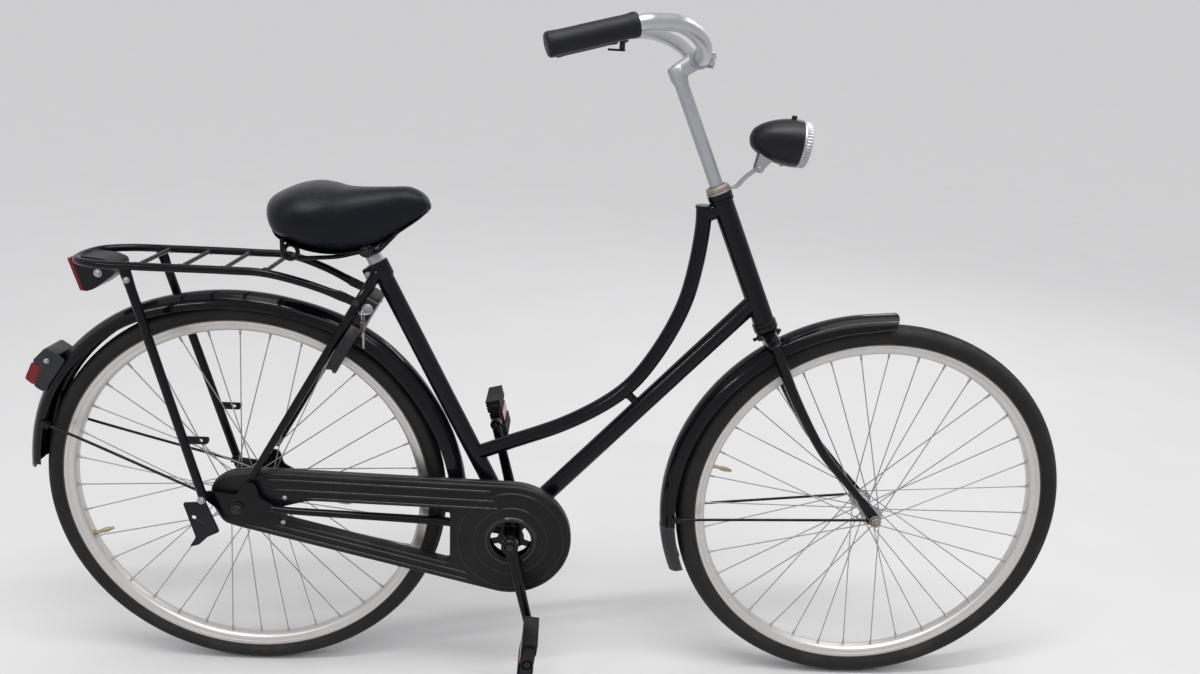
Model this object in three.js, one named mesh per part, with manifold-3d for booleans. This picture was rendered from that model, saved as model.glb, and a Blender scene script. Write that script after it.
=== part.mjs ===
// A city bicycle with a swan-neck frame, seen from its chain side.
// Millimetres. +X points forward, +Y to the rider's left, +Z up, and the floor is z = 0.
import * as THREE from "three";
import { mergeVertices } from "three/addons/utils/BufferGeometryUtils.js";
import Module from "manifold-3d";

const wasm = await Module();
wasm.setup();

// Wheels
const wheelbase = 1106;
const frontTyreHeight = 34;
const rearTyreHeight = 29;
const frontTyreWidth = 40;
const rearTyreWidth = 37;
const tyreWall = 4;
const tyreBeadDepth = 6;
const rimRadius = 315;
const frontTyreRadius = rimRadius + frontTyreHeight;
const rearTyreRadius = rimRadius + rearTyreHeight;
const rimWidth = 25;
const rimWall = 2;
const rimWellDepth = 6.5;
const rimBedDepth = 18;
const spokeCount = 36;
const spokeRadius = 1;
const spokeCrossAngle = Math.PI / 3;
const spokeRimOffset = 2;
const spokeHeadOffset = 1.4;

// Hubs and axles
const frontFlangeRadius = 19;
const frontFlangeOffset = 32;
const rearFlangeRadius = 31;
const rearFlangeOffset = 25;
const flangeThickness = 5;
const hubCollar = 3;
const frontHubRadius = 12;
const rearHubRadius = 22;
const axleRadius = 5;
const axleNutRadius = 9;
const axleNutLength = 9;
const axleTip = 2.5;
const coneRadius = 7.5;
const coneLength = 4.5;
const frontDropoutOffset = 50;
const rearDropoutOffset = 66;
const dropoutThickness = 4;
const dropoutLength = 62;
const forkEndRadius = 11;
const brakeArmOffset = 48;
const brakeArmThickness = 4;
const brakeArmRingRadius = 15;
const brakeArmReach = 150;
const brakeArmDrop = 44;
const brakeArmWidth = 13;
const brakeArmClip = 30;

// Frame
const crownAboveTyre = 24;
const crownBottom = frontTyreRadius + crownAboveTyre;
const steeringLean = THREE.MathUtils.degToRad(24.3);
const seatTubeLean = THREE.MathUtils.degToRad(26.1);
const forkRake = 65;
const bracketHeight = 290;
const bracketBehindMiddle = 90;
const bracketShellRadius = 20;
const bracketShellLength = 68;
const headTubeRadius = 18;
const headTubeBore = 15.6;
const headTubeAboveCrown = 32;
const headTubeBottom = crownBottom + headTubeAboveCrown;
const headTubeLength = 225;
const headTubeTop = headTubeBottom + headTubeLength;
const headCupRadius = 20.5;
const headCupHeight = 12;
const topTubeRadius = 13;
const topTubeBelowTop = 0;
const topTubeHeadUp = headTubeTop - topTubeBelowTop;
const topTubeStandoff = 30;
const topTubeSeatUp = 155;
const downTubeRadius = 15.5;
const downTubeAboveFoot = 43;
const downTubeJoint = headTubeBottom + downTubeAboveFoot;
const seatTubeRadius = 14.8;
const seatTubeBore = 13.1;
const seatTubeLength = 531;
const seatLugRadius = 18;
const seatLugHeight = 26;
const seatStayRadius = 8;
const seatStayLugDrop = 12;
const seatStayLugOffset = 16;
const seatStayBend = 60;
const seatStayBendOffset = 34;
const seatStayFootUp = 56;
const seatStayFootForward = 26;
const chainStayRadius = 8.5;
const chainStayOffset = 23;
const stayEndRadius = 6;
const tubeBridgeRadius = 7;
const tubeBridgeReach = 34;

// Fork
const steererRadius = 12.7;
const steererBore = 11.4;
const steererAboveCup = 10;
const crownHalfDepth = 15;
const bladeRadius = 11.5;
const bladeEndRadius = 6.5;
const bladeOffset = 47;
const bladeInCrown = 11;
const bladeTop = crownBottom + bladeInCrown;

// Mudguards
const mudguardHalfWidth = 27;
const mudguardDepth = 24;
const mudguardSheet = 1.3;
const rearMudguardClearance = 29;
const rearMudguardRadius = rearTyreRadius + rearMudguardClearance;
const rearMudguardStart = THREE.MathUtils.degToRad(5);
const rearMudguardEnd = THREE.MathUtils.degToRad(172);
const rearMudguardTail = THREE.MathUtils.degToRad(3.5);
const frontMudguardClearance = 17;
const frontMudguardRadius = frontTyreRadius + frontMudguardClearance;
const frontMudguardSetback = 12;
const frontMudguardStart = THREE.MathUtils.degToRad(88);
const frontMudguardEnd = THREE.MathUtils.degToRad(187);
const mudflapEnd = THREE.MathUtils.degToRad(202);
const guardStayRadius = 2.5;
const rearStayAngle = THREE.MathUtils.degToRad(159);
const frontStayAngle = THREE.MathUtils.degToRad(184);
const guardStayOverlap = 6;

// Drive
const chainPitch = 12.7;
const chainringTeeth = 44;
const sprocketTeeth = 17;
const toothDepth = 5;
const chainLine = 45;
const chainThickness = 8.5;
const chainWidth = 7;
const chainringThickness = 3;
const chainringSpokeWidth = 20;
const sprocketSleeve = 6;
const crankLength = 170;
const crankAngle = THREE.MathUtils.degToRad(13.2);
const crankOffset = 74;
const crankThickness = 15;
const crankBossRadius = 15;
const crankEndRadius = 10;
const spindleRadius = 8;
const spindleFlat = 5.6;
const pedalLength = 78;
const pedalWidth = 88;
const pedalHeight = 26;
const pedalStandoff = 6;
const pedalCheek = 5;
const pedalAxleRadius = 5;
const pedalSleeve = 5;

// Chain case
const caseRadius = 106;
const caseOuterFace = 58.5;
const caseInnerFace = 32;
const caseWall = 2;
const caseCrankHole = 36;
const caseShellHole = 24;
const caseAxleHole = 12;
const caseUpperArm = 50;
const caseLowerArm = 34;
const caseRearRadius = 43;
const caseWindowStep = 14;

// Rack
const rackAboveTyre = 70;
const rackHeight = 2 * rearTyreRadius + rackAboveTyre;
const rackHalfWidth = 66;
const rackRailRadius = 6.5;
const rackRungRadius = 3.5;
const rackRungPitch = 66;
const rackRungs = 4;
const rackRearX = -792;
const rackRungStartX = -682;
const rackFrontX = -484;
const rackFootX = -366;
const rackFootDrop = 42;
const rackFootHeight = rackHeight - rackFootDrop;
const rackFootOffset = 44;
const rackLegRadius = 7.5;
const rackLegTopX = -700;
const rackLegFootX = -604;
const rackLegAboveAxle = 23;
const rackLegFootHeight = rearTyreRadius + rackLegAboveAxle;
const rackLegFootOffset = 79;
const rackLegPad = 5;
const rackTabLength = 42;
const rackTabHeight = 13;
const rackTabSheet = 3;
const rackTabHole = 3;
const reflectorLength = 66;
const reflectorHeight = 56;
const reflectorHalfWidth = 26;
const reflectorLensDepth = 6;
const reflectorBehindRail = 9;
const strapHookLength = 60;
const strapHookSheet = 3;
const strapHookHole = 4;

// Tail lamp
const tailLampAngle = THREE.MathUtils.degToRad(145);
const tailLampHeight = 72;
const tailLampDepth = 32;
const tailLampHalfWidth = 24;

// Stem, handlebar and bell
const stemRadius = 11.1;
const stemAboveHead = 223;
const stemTop = headTubeTop + stemAboveHead;
const stemInsertion = 90;
const stemCapRadius = 14;
const stemCapHeight = 25;
const stemArmRadius = 13;
const barRadius = 11;
const barHalfWidth = 290;
const barClampReach = 36;
const barClampRise = 13;
const barSweepBack = 226;
const barRise = 42;
const gripFall = 38;
const gripRadius = 16;
const gripLength = 120;
const gripEndWall = 5;
const gripChamfer = 0.9;
const clampRadius = 16.5;
const clampWidth = 38;
const bellRadius = 18;
const bellShim = 4;
const bellHeight = 13;
const bellCollar = 6;
const bellCollarWidth = 6;
const bellFromGrip = 14;
const bellLugHeight = 13;
const bellLeverLength = 32;
const bellLeverWidth = 10;
const bellLeverThickness = 4;

// Headlamp
const locknutHeight = 8;
const bracketSheet = 2.5;
const lampBracketWidth = 18;
const lampPivotAboveHead = 26;
const lampPivotUp = headTubeTop + lampPivotAboveHead;
const lampPivotForward = 72.6;
const lampRadius = 37.5;
const lampLength = 80;
const lampWall = 2.5;
const lampRimLength = 13;
const lampTilt = THREE.MathUtils.degToRad(5);
const lampBehindPivot = 20;
const lampAbovePivot = 48;
const lampEarRadius = 7;
const lampButtonRadius = 4.5;
const lampButtonHeight = 5;

// Saddle
const saddleLength = 252;
const saddleHalfWidth = 103;
const saddleHeight = 93;
const saddleAboveClamp = 12.49;
const saddleBehindClamp = 153.27;
const seatPostRadius = 12.8;
const seatPostInsertion = 120;
const seatPostAboveLug = 33;
const seatPostTop = seatTubeLength + seatPostAboveLug;
const saddleClampAboveLug = 23;
const saddleClampUp = seatTubeLength + saddleClampAboveLug;
const saddleClampRadius = 17;
const saddleClampHalfLength = 30;
const saddleRailRadius = 3.5;
const saddleCurlRadius = 11;
const saddleCurlPitch = 9;

// Ring lock
const lockRingRadius = 51;
const lockBarRadius = 4.5;
const lockCaseHalfWidth = 8;
const lockCaseThickness = 20;
const lockBelowLug = 38;
const lockRingDown = 102;
const lockHouseLength = 54;
const lockHouseHalfWidth = 40;
const lockOpening = THREE.MathUtils.degToRad(37);
const lockShackleSpan = THREE.MathUtils.degToRad(84);
const lockKnobReach = 12;
const keyPlugRadius = 7;
const keyPlugLength = 12;
const keyAboveRing = 22;
const keyHeadRadius = 10;
const keyShankLength = 18;
const keySheet = 3;
const keyHole = 2.6;
const spareKeyRingRadius = 9;
const spareKeyWire = 0.9;

// Fits
const touchGap = 0.3;
const runningGap = 0.6;
const cutOverrun = 4;
const tubeSides = 12;
const rodSides = 6;
const wheelSegments = spokeCount;
const lampSegments = 16;
const rearMudguardRows = 20;
const frontMudguardRows = 12;
const roundSegments = 12;

// Shares chosen by hand
// Rear mudguard radius along its arc, from the bottom bracket end to the tail
const rearMudguardShares = [1.018, 1.004, 1.002, 0.978, 0.981, 1.005, 1.01, 0.992];
// Swan neck, [back, down] from the head joint to the seat joint
const topTubeKnotShares = [
  [-0.003, 0.068], [0.014, 0.221], [0.049, 0.359], [0.121, 0.501], [0.222, 0.639],
  [0.297, 0.711], [0.412, 0.784], [0.588, 0.865], [0.829, 0.944],
];
const tubeBridgeShare = 0.545;
// Dropout outline, [forward, up] from the axle, of the dropout length
const dropoutShares = [
  [1, -0.16], [1, 0.1], [0.61, 0.32], [0.52, 0.74], [0.26, 0.8], [0, 0.39], [-0.48, 0.45], [-0.84, 0.48],
  [-0.84, 0.19], [-0.29, -0.26], [0.19, -0.29],
];
// Chain stay, [share of the way back, share of the way out]
const chainStayShares = [[0, 0], [0.255, 0], [0.35, 0.09], [0.955, 1], [1, 1]];
// Fork blades, [share of the blade top, share of the rake]
const bladeShares = [[1, 0.03], [0.833, 0.015], [0.635, 0.09], [0.409, 0.285], [0.229, 0.615], [0.073,
  0.92]];
const lampProfileShares = [[0, 0], [0.34, 0.05], [0.56, 0.16], [0.78, 0.36], [0.93, 0.6], [1, 0.84], [1,
  1]];
const lampLensShares = [[0, 0], [0.93, 0], [1, 0.08], [0.97, 1], [0.89, 1], [0.84, 0.77], [0, 0.92]];
const lampButtonShare = 0.82;
const lampLugShares = [[0.55, -0.75], [0.25, -0.5]];
const lampBracketShares = [[0.25, 0.06], [0.55, 0.5]];
// Right half of the bar, [forward, out, up] of its sweep, half width and rise
const barKnotShares = [
  [0, 0.08, 0], [0, 0.14, 0], [-0.012, 0.24, 0.06], [-0.045, 0.4, 0.36], [-0.13, 0.58, 0.7],
  [-0.27, 0.76, 0.95], [-0.4, 0.855, 0.93],
];
const gripStartShares = [-0.47, 0.905, 0.89];
const gripKnotShares = [0, 0.2, 0.6, 1];
const pedalLean = [0.12, -0.25];
const pedalTreadShare = 0.3;
const caseRearShares = [[0.5, 1.47], [-0.42, 1.36], [-1.07, 0.9], [-1.18, 0.1], [-0.72, -0.82], [-0.2,
  -1.0]];
const caseWindowShares = [1.55, 2.7];
const chainringHoleShares = [0.8, 0.36];
// Rear bend of the rack rail, [share of the way forwards, share of the half width]
const rackBendShares = [[0.14, 0.93], [0.03, 0.62]];
// Front end of the rack rail, [share of the way from its foot, share of the half width, share of the rise]
const rackFootShares = [[0.5, 0.6, 0.58], [1, 1, 0.96]];
const rackTabShare = 0.735;
// Reflector outline, [forward, down] of its length and height
const reflectorShares = [
  [0, 0], [0.2, -0.05], [0.75, 0.0], [1, 0.12], [1, 0.45], [0.45, 0.92], [0.22, 1],
];
// Strap hook, [forward, up] from the axle, of its length
const strapHookShares = [
  [-1.37, 0.28], [-0.75, 0.33], [-0.43, -0.6], [-0.77, -0.77], [-1.03, -1.03], [-1.3, -1.1], [-1.1, -0.8],
];
const strapHookHoleShares = [-1.1, -0.17];
// Tail lamp, [along the mudguard from -1 to 1, out]
const tailHousingShares = [[-1, 0.02], [0, 0], [1, 0.06], [1, 0.45], [0.2, 0.62], [-0.2, 1], [-1, 0.8]];
const tailLensShares = [[1, 0.46], [0.215, 0.63], [0.25, 1], [0.95, 0.85]];
// Saddle, [station, half width, top height, skirt height]
const saddleShares = [
  [0, 0.1, 0.602, 0.43], [0.03, 0.52, 0.753, 0.28], [0.09, 0.82, 0.86, 0.14], [0.18, 0.97, 0.957, 0.054],
  [0.27, 1, 1, 0.032], [0.37, 0.92, 0.984, 0.022], [0.46, 0.74, 0.946, 0.022], [0.56, 0.54, 0.946, 0.086],
  [0.66, 0.41, 0.962, 0.183], [0.76, 0.33, 0.978, 0.29], [0.86, 0.29, 0.989, 0.409],
  [0.93, 0.24, 0.925, 0.495], [0.975, 0.17, 0.828, 0.57], [1, 0.06, 0.71, 0.624],
];
// Saddle rail, [along, out, up] from the tail and the underside
const saddleRailShares = [
  [0.88, 0.08, 0.5], [0.76, 0.19, 0.12], [0.66, 0.23, -0.13], [0.58, 0.23, -0.13], [0.44, 0.3, -0.21],
  [0.3, 0.46, -0.215],
];
const saddleCurlShares = [0.17, 0.5, -0.1];
const seatStayLowShare = 0.8;
const rimBedShare = 0.6;
const guardStayEndShare = 0.3;
const guardStayArriveShare = 0.9;
const forkEndShare = 0.15;
const bellShares = [[0, 0], [1, 0], [1, 0.3], [0.8, 0.75], [0.4, 1], [0, 1]];
// Saddle section: powers of its width, top and underside, its middle height and how far it draws in
const saddleAcrossShare = 0.8;
const saddleTopShare = 0.75;
const saddleUnderShare = 0.5;
const saddleMiddleShare = 0.45;
const saddleDrawnShare = 0.16;
const crankEndShare = 0.44;
const pedalCheekShares = [0.8, 0.7];
const lockKnobShare = 0.66;
const lockHouseShare = 0.86;

const point = (x, y, z) => new THREE.Vector3(x, y, z);
const yAxis = point(0, 1, 0);
const bracket = point(-bracketBehindMiddle, 0, bracketHeight);
const frontAxle = point(wheelbase / 2, 0, frontTyreRadius);
const rearAxle = point(-wheelbase / 2, 0, rearTyreRadius);
const steerUp = point(-Math.sin(steeringLean), 0, Math.cos(steeringLean));
const steerForward = point(Math.cos(steeringLean), 0, Math.sin(steeringLean));
const steerFoot = frontAxle.clone().addScaledVector(steerForward, -forkRake);
const seatUp = point(-Math.sin(seatTubeLean), 0, Math.cos(seatTubeLean));
const frontMudguardCentre = frontAxle.clone().add(point(-frontMudguardSetback, 0, 0));

/** A point by its distance up the steering axis, forward of it and to the left of it. */
function onSteering(up, forward = 0, left = 0) {
  return steerFoot.clone().addScaledVector(steerUp, up).addScaledVector(steerForward, forward)
    .addScaledVector(yAxis, left);
}

/** A point by its distance up the seat tube from the bottom bracket. */
function onSeatTube(up, left = 0) {
  return bracket.clone().addScaledVector(seatUp, up).addScaledVector(yAxis, left);
}

const saddleClampAt = onSeatTube(saddleClampUp);
const saddleBase = saddleClampAt.z + saddleAboveClamp;
const saddleRearX = saddleClampAt.x - saddleBehindClamp;

/** The same point at another distance to the left. */
function atY(place, y) {
  return point(place.x, y, place.z);
}

/** The radius of a faceted bore whose flats clear a shaft by the gap. */
function boreFor(radius, gap = touchGap, sides = roundSegments) {
  return (radius + gap) / Math.cos(Math.PI / sides);
}

/** Keeps positions only, shares corners and turns every face outwards. */
function closed(geometry) {
  geometry.deleteAttribute("normal");
  geometry.deleteAttribute("uv");
  const merged = mergeVertices(geometry, 1e-3);
  const position = merged.attributes.position;
  const index = merged.index.array;
  const corners = [point(0, 0, 0), point(0, 0, 0), point(0, 0, 0)];
  const kept = [];
  let volume = 0;
  for (let i = 0; i < index.length; i += 3) {
    const [a, b, c] = [index[i], index[i + 1], index[i + 2]];
    if (a === b || b === c || a === c) continue;
    kept.push(a, b, c);
    [a, b, c].forEach((vertex, k) => corners[k].fromBufferAttribute(position, vertex));
    volume += corners[0].dot(corners[1].clone().cross(corners[2]));
  }
  if (volume < 0) {
    for (let i = 0; i < kept.length; i += 3) {
      [kept[i + 1], kept[i + 2]] = [kept[i + 2], kept[i + 1]];
    }
  }
  merged.setIndex(kept);
  return merged;
}

function toManifold(geometry) {
  const solid = closed(geometry.clone());
  return new wasm.Manifold(new wasm.Mesh({
    numProp: 3,
    vertProperties: new Float32Array(solid.attributes.position.array),
    triVerts: new Uint32Array(solid.index.array),
  }));
}

function fromManifold(manifold) {
  const mesh = manifold.getMesh();
  const geometry = new THREE.BufferGeometry();
  geometry.setAttribute("position", new THREE.BufferAttribute(new Float32Array(mesh.vertProperties), 3));
  geometry.setIndex(new THREE.BufferAttribute(new Uint32Array(mesh.triVerts), 1));
  return geometry;
}

function join(...geometries) {
  return fromManifold(geometries.map(toManifold).reduce((whole, next) => whole.add(next)));
}

function cut(geometry, ...tools) {
  const solid = toManifold(geometry);
  return fromManifold(tools.map(toManifold).reduce((rest, tool) => rest.subtract(tool), solid));
}

/** A straight round bar between two points, which may taper. */
function rod(from, to, radius, sides = tubeSides, endRadius = radius) {
  const span = to.clone().sub(from);
  const geometry = new THREE.CylinderGeometry(endRadius, radius, span.length(), sides);
  geometry.translate(0, span.length() / 2, 0);
  geometry.applyQuaternion(new THREE.Quaternion().setFromUnitVectors(yAxis, span.normalize()));
  return geometry.translate(from.x, from.y, from.z);
}

/** A round bar across the bicycle between two distances to the left. */
function crossRod(place, low, high, radius, sides = roundSegments) {
  return rod(atY(place, Math.min(low, high)), atY(place, Math.max(low, high)), radius, sides);
}

/** A round bar of one radius along a smooth curve through the points. */
function bentRod(points, radius, steps, sides = rodSides) {
  const section = new THREE.Shape();
  for (let i = 0; i < sides; i += 1) {
    const angle = (2 * Math.PI * i) / sides;
    const x = radius * Math.cos(angle);
    const y = radius * Math.sin(angle);
    if (i === 0) section.moveTo(x, y);
    else section.lineTo(x, y);
  }
  const extrudePath = new THREE.CatmullRomCurve3(points, false, "centripetal");
  return new THREE.ExtrudeGeometry(section, { steps, extrudePath });
}

/** Joins rings of points, each with as many points as the next, into one capped body. */
function loft(rings) {
  const count = rings[0].length;
  const positions = rings.flat().flatMap((p) => [p.x, p.y, p.z]);
  const faces = [];
  for (let ring = 0; ring + 1 < rings.length; ring += 1) {
    for (let i = 0; i < count; i += 1) {
      const a = ring * count + i;
      const b = ring * count + ((i + 1) % count);
      faces.push(a, b, b + count, a, b + count, a + count);
    }
  }
  for (const [ring, flip] of [[0, true], [rings.length - 1, false]]) {
    const first = ring * count;
    for (let i = 1; i + 1 < count; i += 1) {
      const pair = [first + i, first + i + 1];
      faces.push(first, ...(flip ? pair.reverse() : pair));
    }
  }
  return meshOf(positions, faces);
}

function meshOf(positions, faces) {
  const geometry = new THREE.BufferGeometry();
  geometry.setAttribute("position", new THREE.Float32BufferAttribute(positions, 3));
  geometry.setIndex(faces);
  return geometry;
}

/** A round tube along a smooth curve whose radius runs evenly from one end to the other. */
function taperedTube(points, startRadius, endRadius, steps, sides = tubeSides) {
  const curve = new THREE.CatmullRomCurve3(points, false, "centripetal");
  const frames = curve.computeFrenetFrames(steps);
  const rings = [];
  for (let step = 0; step <= steps; step += 1) {
    const centre = curve.getPointAt(step / steps);
    const radius = THREE.MathUtils.lerp(startRadius, endRadius, step / steps);
    const ring = [];
    for (let i = 0; i < sides; i += 1) {
      const angle = (2 * Math.PI * i) / sides;
      ring.push(centre.clone().addScaledVector(frames.normals[step], radius * Math.cos(angle))
        .addScaledVector(frames.binormals[step], radius * Math.sin(angle)));
    }
    rings.push(ring);
  }
  return loft(rings);
}

/** A closed profile of [radius, distance] pairs turned about an axis through a centre. */
function turned(profile, centre, axis = yAxis, segments = roundSegments) {
  const outline = profile.map(([radius, along]) => new THREE.Vector2(radius, along));
  outline.push(outline[0].clone());
  const geometry = new THREE.LatheGeometry(outline, segments);
  geometry.applyQuaternion(new THREE.Quaternion().setFromUnitVectors(yAxis, axis));
  return geometry.translate(centre.x, centre.y, centre.z);
}

/** A plain ring between two radii and two distances along its axis. */
function ringBetween(inner, outer, low, high, centre, axis = yAxis, segments = roundSegments) {
  return turned([[inner, low], [outer, low], [outer, high], [inner, high]], centre, axis, segments);
}

/** A flat plate with an outline of [x, z] pairs between two lateral faces. */
function plate(outline, oneFace, otherFace, holes = []) {
  const low = Math.min(oneFace, otherFace);
  const high = Math.max(oneFace, otherFace);
  const shape = new THREE.Shape(outline.map(([x, z]) => new THREE.Vector2(x, z)));
  for (const hole of holes) {
    shape.holes.push(new THREE.Path(hole.map(([x, z]) => new THREE.Vector2(x, z))));
  }
  const geometry = new THREE.ExtrudeGeometry(shape, { depth: high - low, bevelEnabled: false });
  geometry.rotateX(Math.PI / 2);
  return geometry.translate(0, high, 0);
}

/** Points of an arc in the side plane as [x, z] pairs. */
function arc(centre, radius, start, end, steps) {
  const points = [];
  for (let i = 0; i <= steps; i += 1) {
    const angle = THREE.MathUtils.lerp(start, end, i / steps);
    points.push([centre.x + radius * Math.cos(angle), centre.z + radius * Math.sin(angle)]);
  }
  return points;
}

function circle(centre, radius, steps = roundSegments) {
  return arc(centre, radius, 0, 2 * Math.PI, steps).slice(0, -1);
}

/** An outline of [forward, up] shares of a size about a centre. */
function shaped(shares, centre, size, height = size) {
  return shares.map(([forward, up]) => [centre.x + forward * size, centre.z + up * height]);
}

/** A box by its centre and its length, width and height. */
function block(centre, length, width, height) {
  return new THREE.BoxGeometry(length, width, height).translate(centre.x, centre.y, centre.z);
}

/** Moves every side of an [x, z] outline inwards by a distance; a negative one moves them out. */
function inset(outline, distance) {
  const area = outline.reduce((sum, [x, z], i) => {
    const [nextX, nextZ] = outline[(i + 1) % outline.length];
    return sum + x * nextZ - nextX * z;
  }, 0);
  const side = Math.sign(area);
  return outline.map(([x, z], i) => {
    const [beforeX, beforeZ] = outline[(i + outline.length - 1) % outline.length];
    const [afterX, afterZ] = outline[(i + 1) % outline.length];
    const arriving = new THREE.Vector2(x - beforeX, z - beforeZ).normalize();
    const leaving = new THREE.Vector2(afterX - x, afterZ - z).normalize();
    const normalIn = new THREE.Vector2(-arriving.y, arriving.x).multiplyScalar(side);
    const normalOut = new THREE.Vector2(-leaving.y, leaving.x).multiplyScalar(side);
    const mitre = normalIn.clone().add(normalOut);
    mitre.multiplyScalar(distance / (1 + normalIn.dot(normalOut)));
    return [x + mitre.x, z + mitre.y];
  });
}

/** A thin sheet between two grids of points, closed along its four borders. */
function sheet(outer, inner) {
  const rows = outer.length;
  const columns = outer[0].length;
  const positions = [...outer, ...inner].flat().flatMap((p) => [p.x, p.y, p.z]);
  const faces = [];
  const quad = (a, b, c, d) => faces.push(a, b, c, a, c, d);
  const outside = (row, column) => row * columns + column;
  const inside = (row, column) => rows * columns + row * columns + column;
  for (let row = 0; row + 1 < rows; row += 1) {
    for (let column = 0; column + 1 < columns; column += 1) {
      const next = column + 1;
      quad(outside(row, column), outside(row, next), outside(row + 1, next), outside(row + 1, column));
      quad(inside(row, column), inside(row + 1, column), inside(row + 1, next), inside(row, next));
    }
    quad(outside(row, 0), outside(row + 1, 0), inside(row + 1, 0), inside(row, 0));
    const last = columns - 1;
    quad(outside(row, last), inside(row, last), inside(row + 1, last), outside(row + 1, last));
  }
  for (let column = 0; column + 1 < columns; column += 1) {
    const end = rows - 1;
    quad(outside(0, column), inside(0, column), inside(0, column + 1), outside(0, column + 1));
    quad(outside(end, column), outside(end, column + 1), inside(end, column + 1), inside(end, column));
  }
  return meshOf(positions, faces);
}

// Finishes: colour, roughness, metalness
const finish = {
  frameBlack: [0x0b0b0d, 0.25, 0],
  caseBlack: [0x141516, 0.5, 0],
  rubber: [0x16161a, 0.8, 0],
  tyre: [0x1b1b1c, 0.85, 0],
  alloy: [0xc9ccd0, 0.35, 1],
  steel: [0x9a9da2, 0.4, 1],
  rustySteel: [0x6d5545, 0.7, 0.8],
  chrome: [0xd8dadd, 0.15, 1],
  vinyl: [0x17181a, 0.6, 0],
  plastic: [0x1c1d1f, 0.45, 0],
  greyPlastic: [0x3a3d42, 0.5, 0],
  redLens: [0xa3100f, 0.2, 0],
  clearLens: [0xdfe6ea, 0.1, 0],
  chainSteel: [0x4c443b, 0.6, 0.9],
};

const bicycle = new THREE.Group();

function add(name, geometry, [color, roughness, metalness]) {
  const material = new THREE.MeshStandardMaterial({ color, roughness, metalness });
  const mesh = new THREE.Mesh(closed(geometry), material);
  mesh.name = name;
  bicycle.add(mesh);
}

// Frame tubes, each cut clear of the tube that carries it
const downTubeHead = onSteering(downTubeJoint);

function headTube() {
  return turned([
    [headTubeBore, -headCupHeight], [headCupRadius, -headCupHeight], [headCupRadius, 0], [headTubeRadius,
      0],
    [headTubeRadius, headTubeLength], [headCupRadius, headTubeLength],
    [headCupRadius, headTubeLength + headCupHeight], [headTubeBore, headTubeLength + headCupHeight],
  ], onSteering(headTubeBottom), steerUp);
}

function headTubeEnvelope() {
  return join(
    rod(onSteering(headTubeBottom), onSteering(headTubeTop), boreFor(headTubeRadius), roundSegments),
    rod(onSteering(headTubeTop - touchGap), onSteering(headTubeTop + headCupHeight + cutOverrun),
      boreFor(headCupRadius), roundSegments),
  );
}

function seatTubeEnvelope() {
  return rod(onSeatTube(0), onSeatTube(seatTubeLength), boreFor(seatTubeRadius), roundSegments);
}

function bracketShellEnvelope() {
  const half = bracketShellLength / 2 + touchGap;
  return crossRod(bracket, -half, half, boreFor(bracketShellRadius));
}

const topTubeHead = onSteering(topTubeHeadUp, -topTubeStandoff);
const topTubeSeat = onSeatTube(topTubeSeatUp);

/** The swan neck starts beside the head tube and lands low on the seat tube. */
function topTubePoints() {
  const middle = topTubeKnotShares.map(([back, down]) => point(
    THREE.MathUtils.lerp(topTubeHead.x, topTubeSeat.x, back), 0,
    THREE.MathUtils.lerp(topTubeHead.z, topTubeSeat.z, down)));
  return [topTubeHead, ...middle, topTubeSeat];
}

function topTube() {
  const lugUp = topTubeHeadUp - topTubeRadius;
  const lug = rod(onSteering(lugUp, -topTubeStandoff - topTubeRadius / 2), onSteering(lugUp),
    topTubeRadius);
  const neck = taperedTube(topTubePoints(), topTubeRadius, topTubeRadius, 18, 10);
  return cut(join(neck, lug), headTubeEnvelope(), seatTubeEnvelope());
}

function downTube() {
  const foot = bracket.clone().lerp(downTubeHead, tubeBridgeShare);
  const run = downTubeHead.clone().sub(bracket).normalize();
  const across = point(-run.z, 0, run.x);
  const tube = rod(bracket, downTubeHead, downTubeRadius);
  const bridge = rod(foot, foot.clone().addScaledVector(across, tubeBridgeReach), tubeBridgeRadius, 8);
  const neck = taperedTube(topTubePoints(), topTubeRadius + touchGap, topTubeRadius + touchGap, 18, 10);
  return cut(join(tube, bridge), headTubeEnvelope(), bracketShellEnvelope(), neck, seatTubeEnvelope());
}

function seatTube() {
  const half = bracketShellLength / 2;
  const shell = crossRod(bracket, -half, half, bracketShellRadius);
  const tube = rod(onSeatTube(0), onSeatTube(seatTubeLength), seatTubeRadius, roundSegments);
  const lug = rod(onSeatTube(seatTubeLength - seatLugHeight), onSeatTube(seatTubeLength), seatLugRadius,
    roundSegments);
  const bore = rod(onSeatTube(seatTubeLength - seatPostInsertion - seatLugHeight),
    onSeatTube(seatTubeLength + cutOverrun), seatTubeBore, roundSegments);
  const axleBore = crossRod(bracket, -half - cutOverrun, half + cutOverrun, boreFor(spindleRadius,
    runningGap));
  return cut(join(tube, lug, shell), bore, axleBore);
}

function dropoutPlate(side) {
  const inner = side * (rearDropoutOffset - dropoutThickness / 2);
  const outer = side * (rearDropoutOffset + dropoutThickness / 2);
  return plate(shaped(dropoutShares, rearAxle, dropoutLength), inner, outer,
    [circle(rearAxle, boreFor(axleRadius))]);
}

function chainStayTube(side, gap = 0) {
  const end = point(rearAxle.x + dropoutLength - stayEndRadius, side * rearDropoutOffset, rearAxle.z);
  const knots = chainStayShares.map(([back, out]) => point(
    THREE.MathUtils.lerp(bracket.x, end.x, back),
    side * THREE.MathUtils.lerp(chainStayOffset, rearDropoutOffset, out),
    THREE.MathUtils.lerp(bracket.z, end.z, back)));
  return taperedTube(knots, chainStayRadius + gap, stayEndRadius + gap, 10, 8);
}

function chainStay(side) {
  return cut(join(chainStayTube(side), dropoutPlate(side)), bracketShellEnvelope());
}

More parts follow.
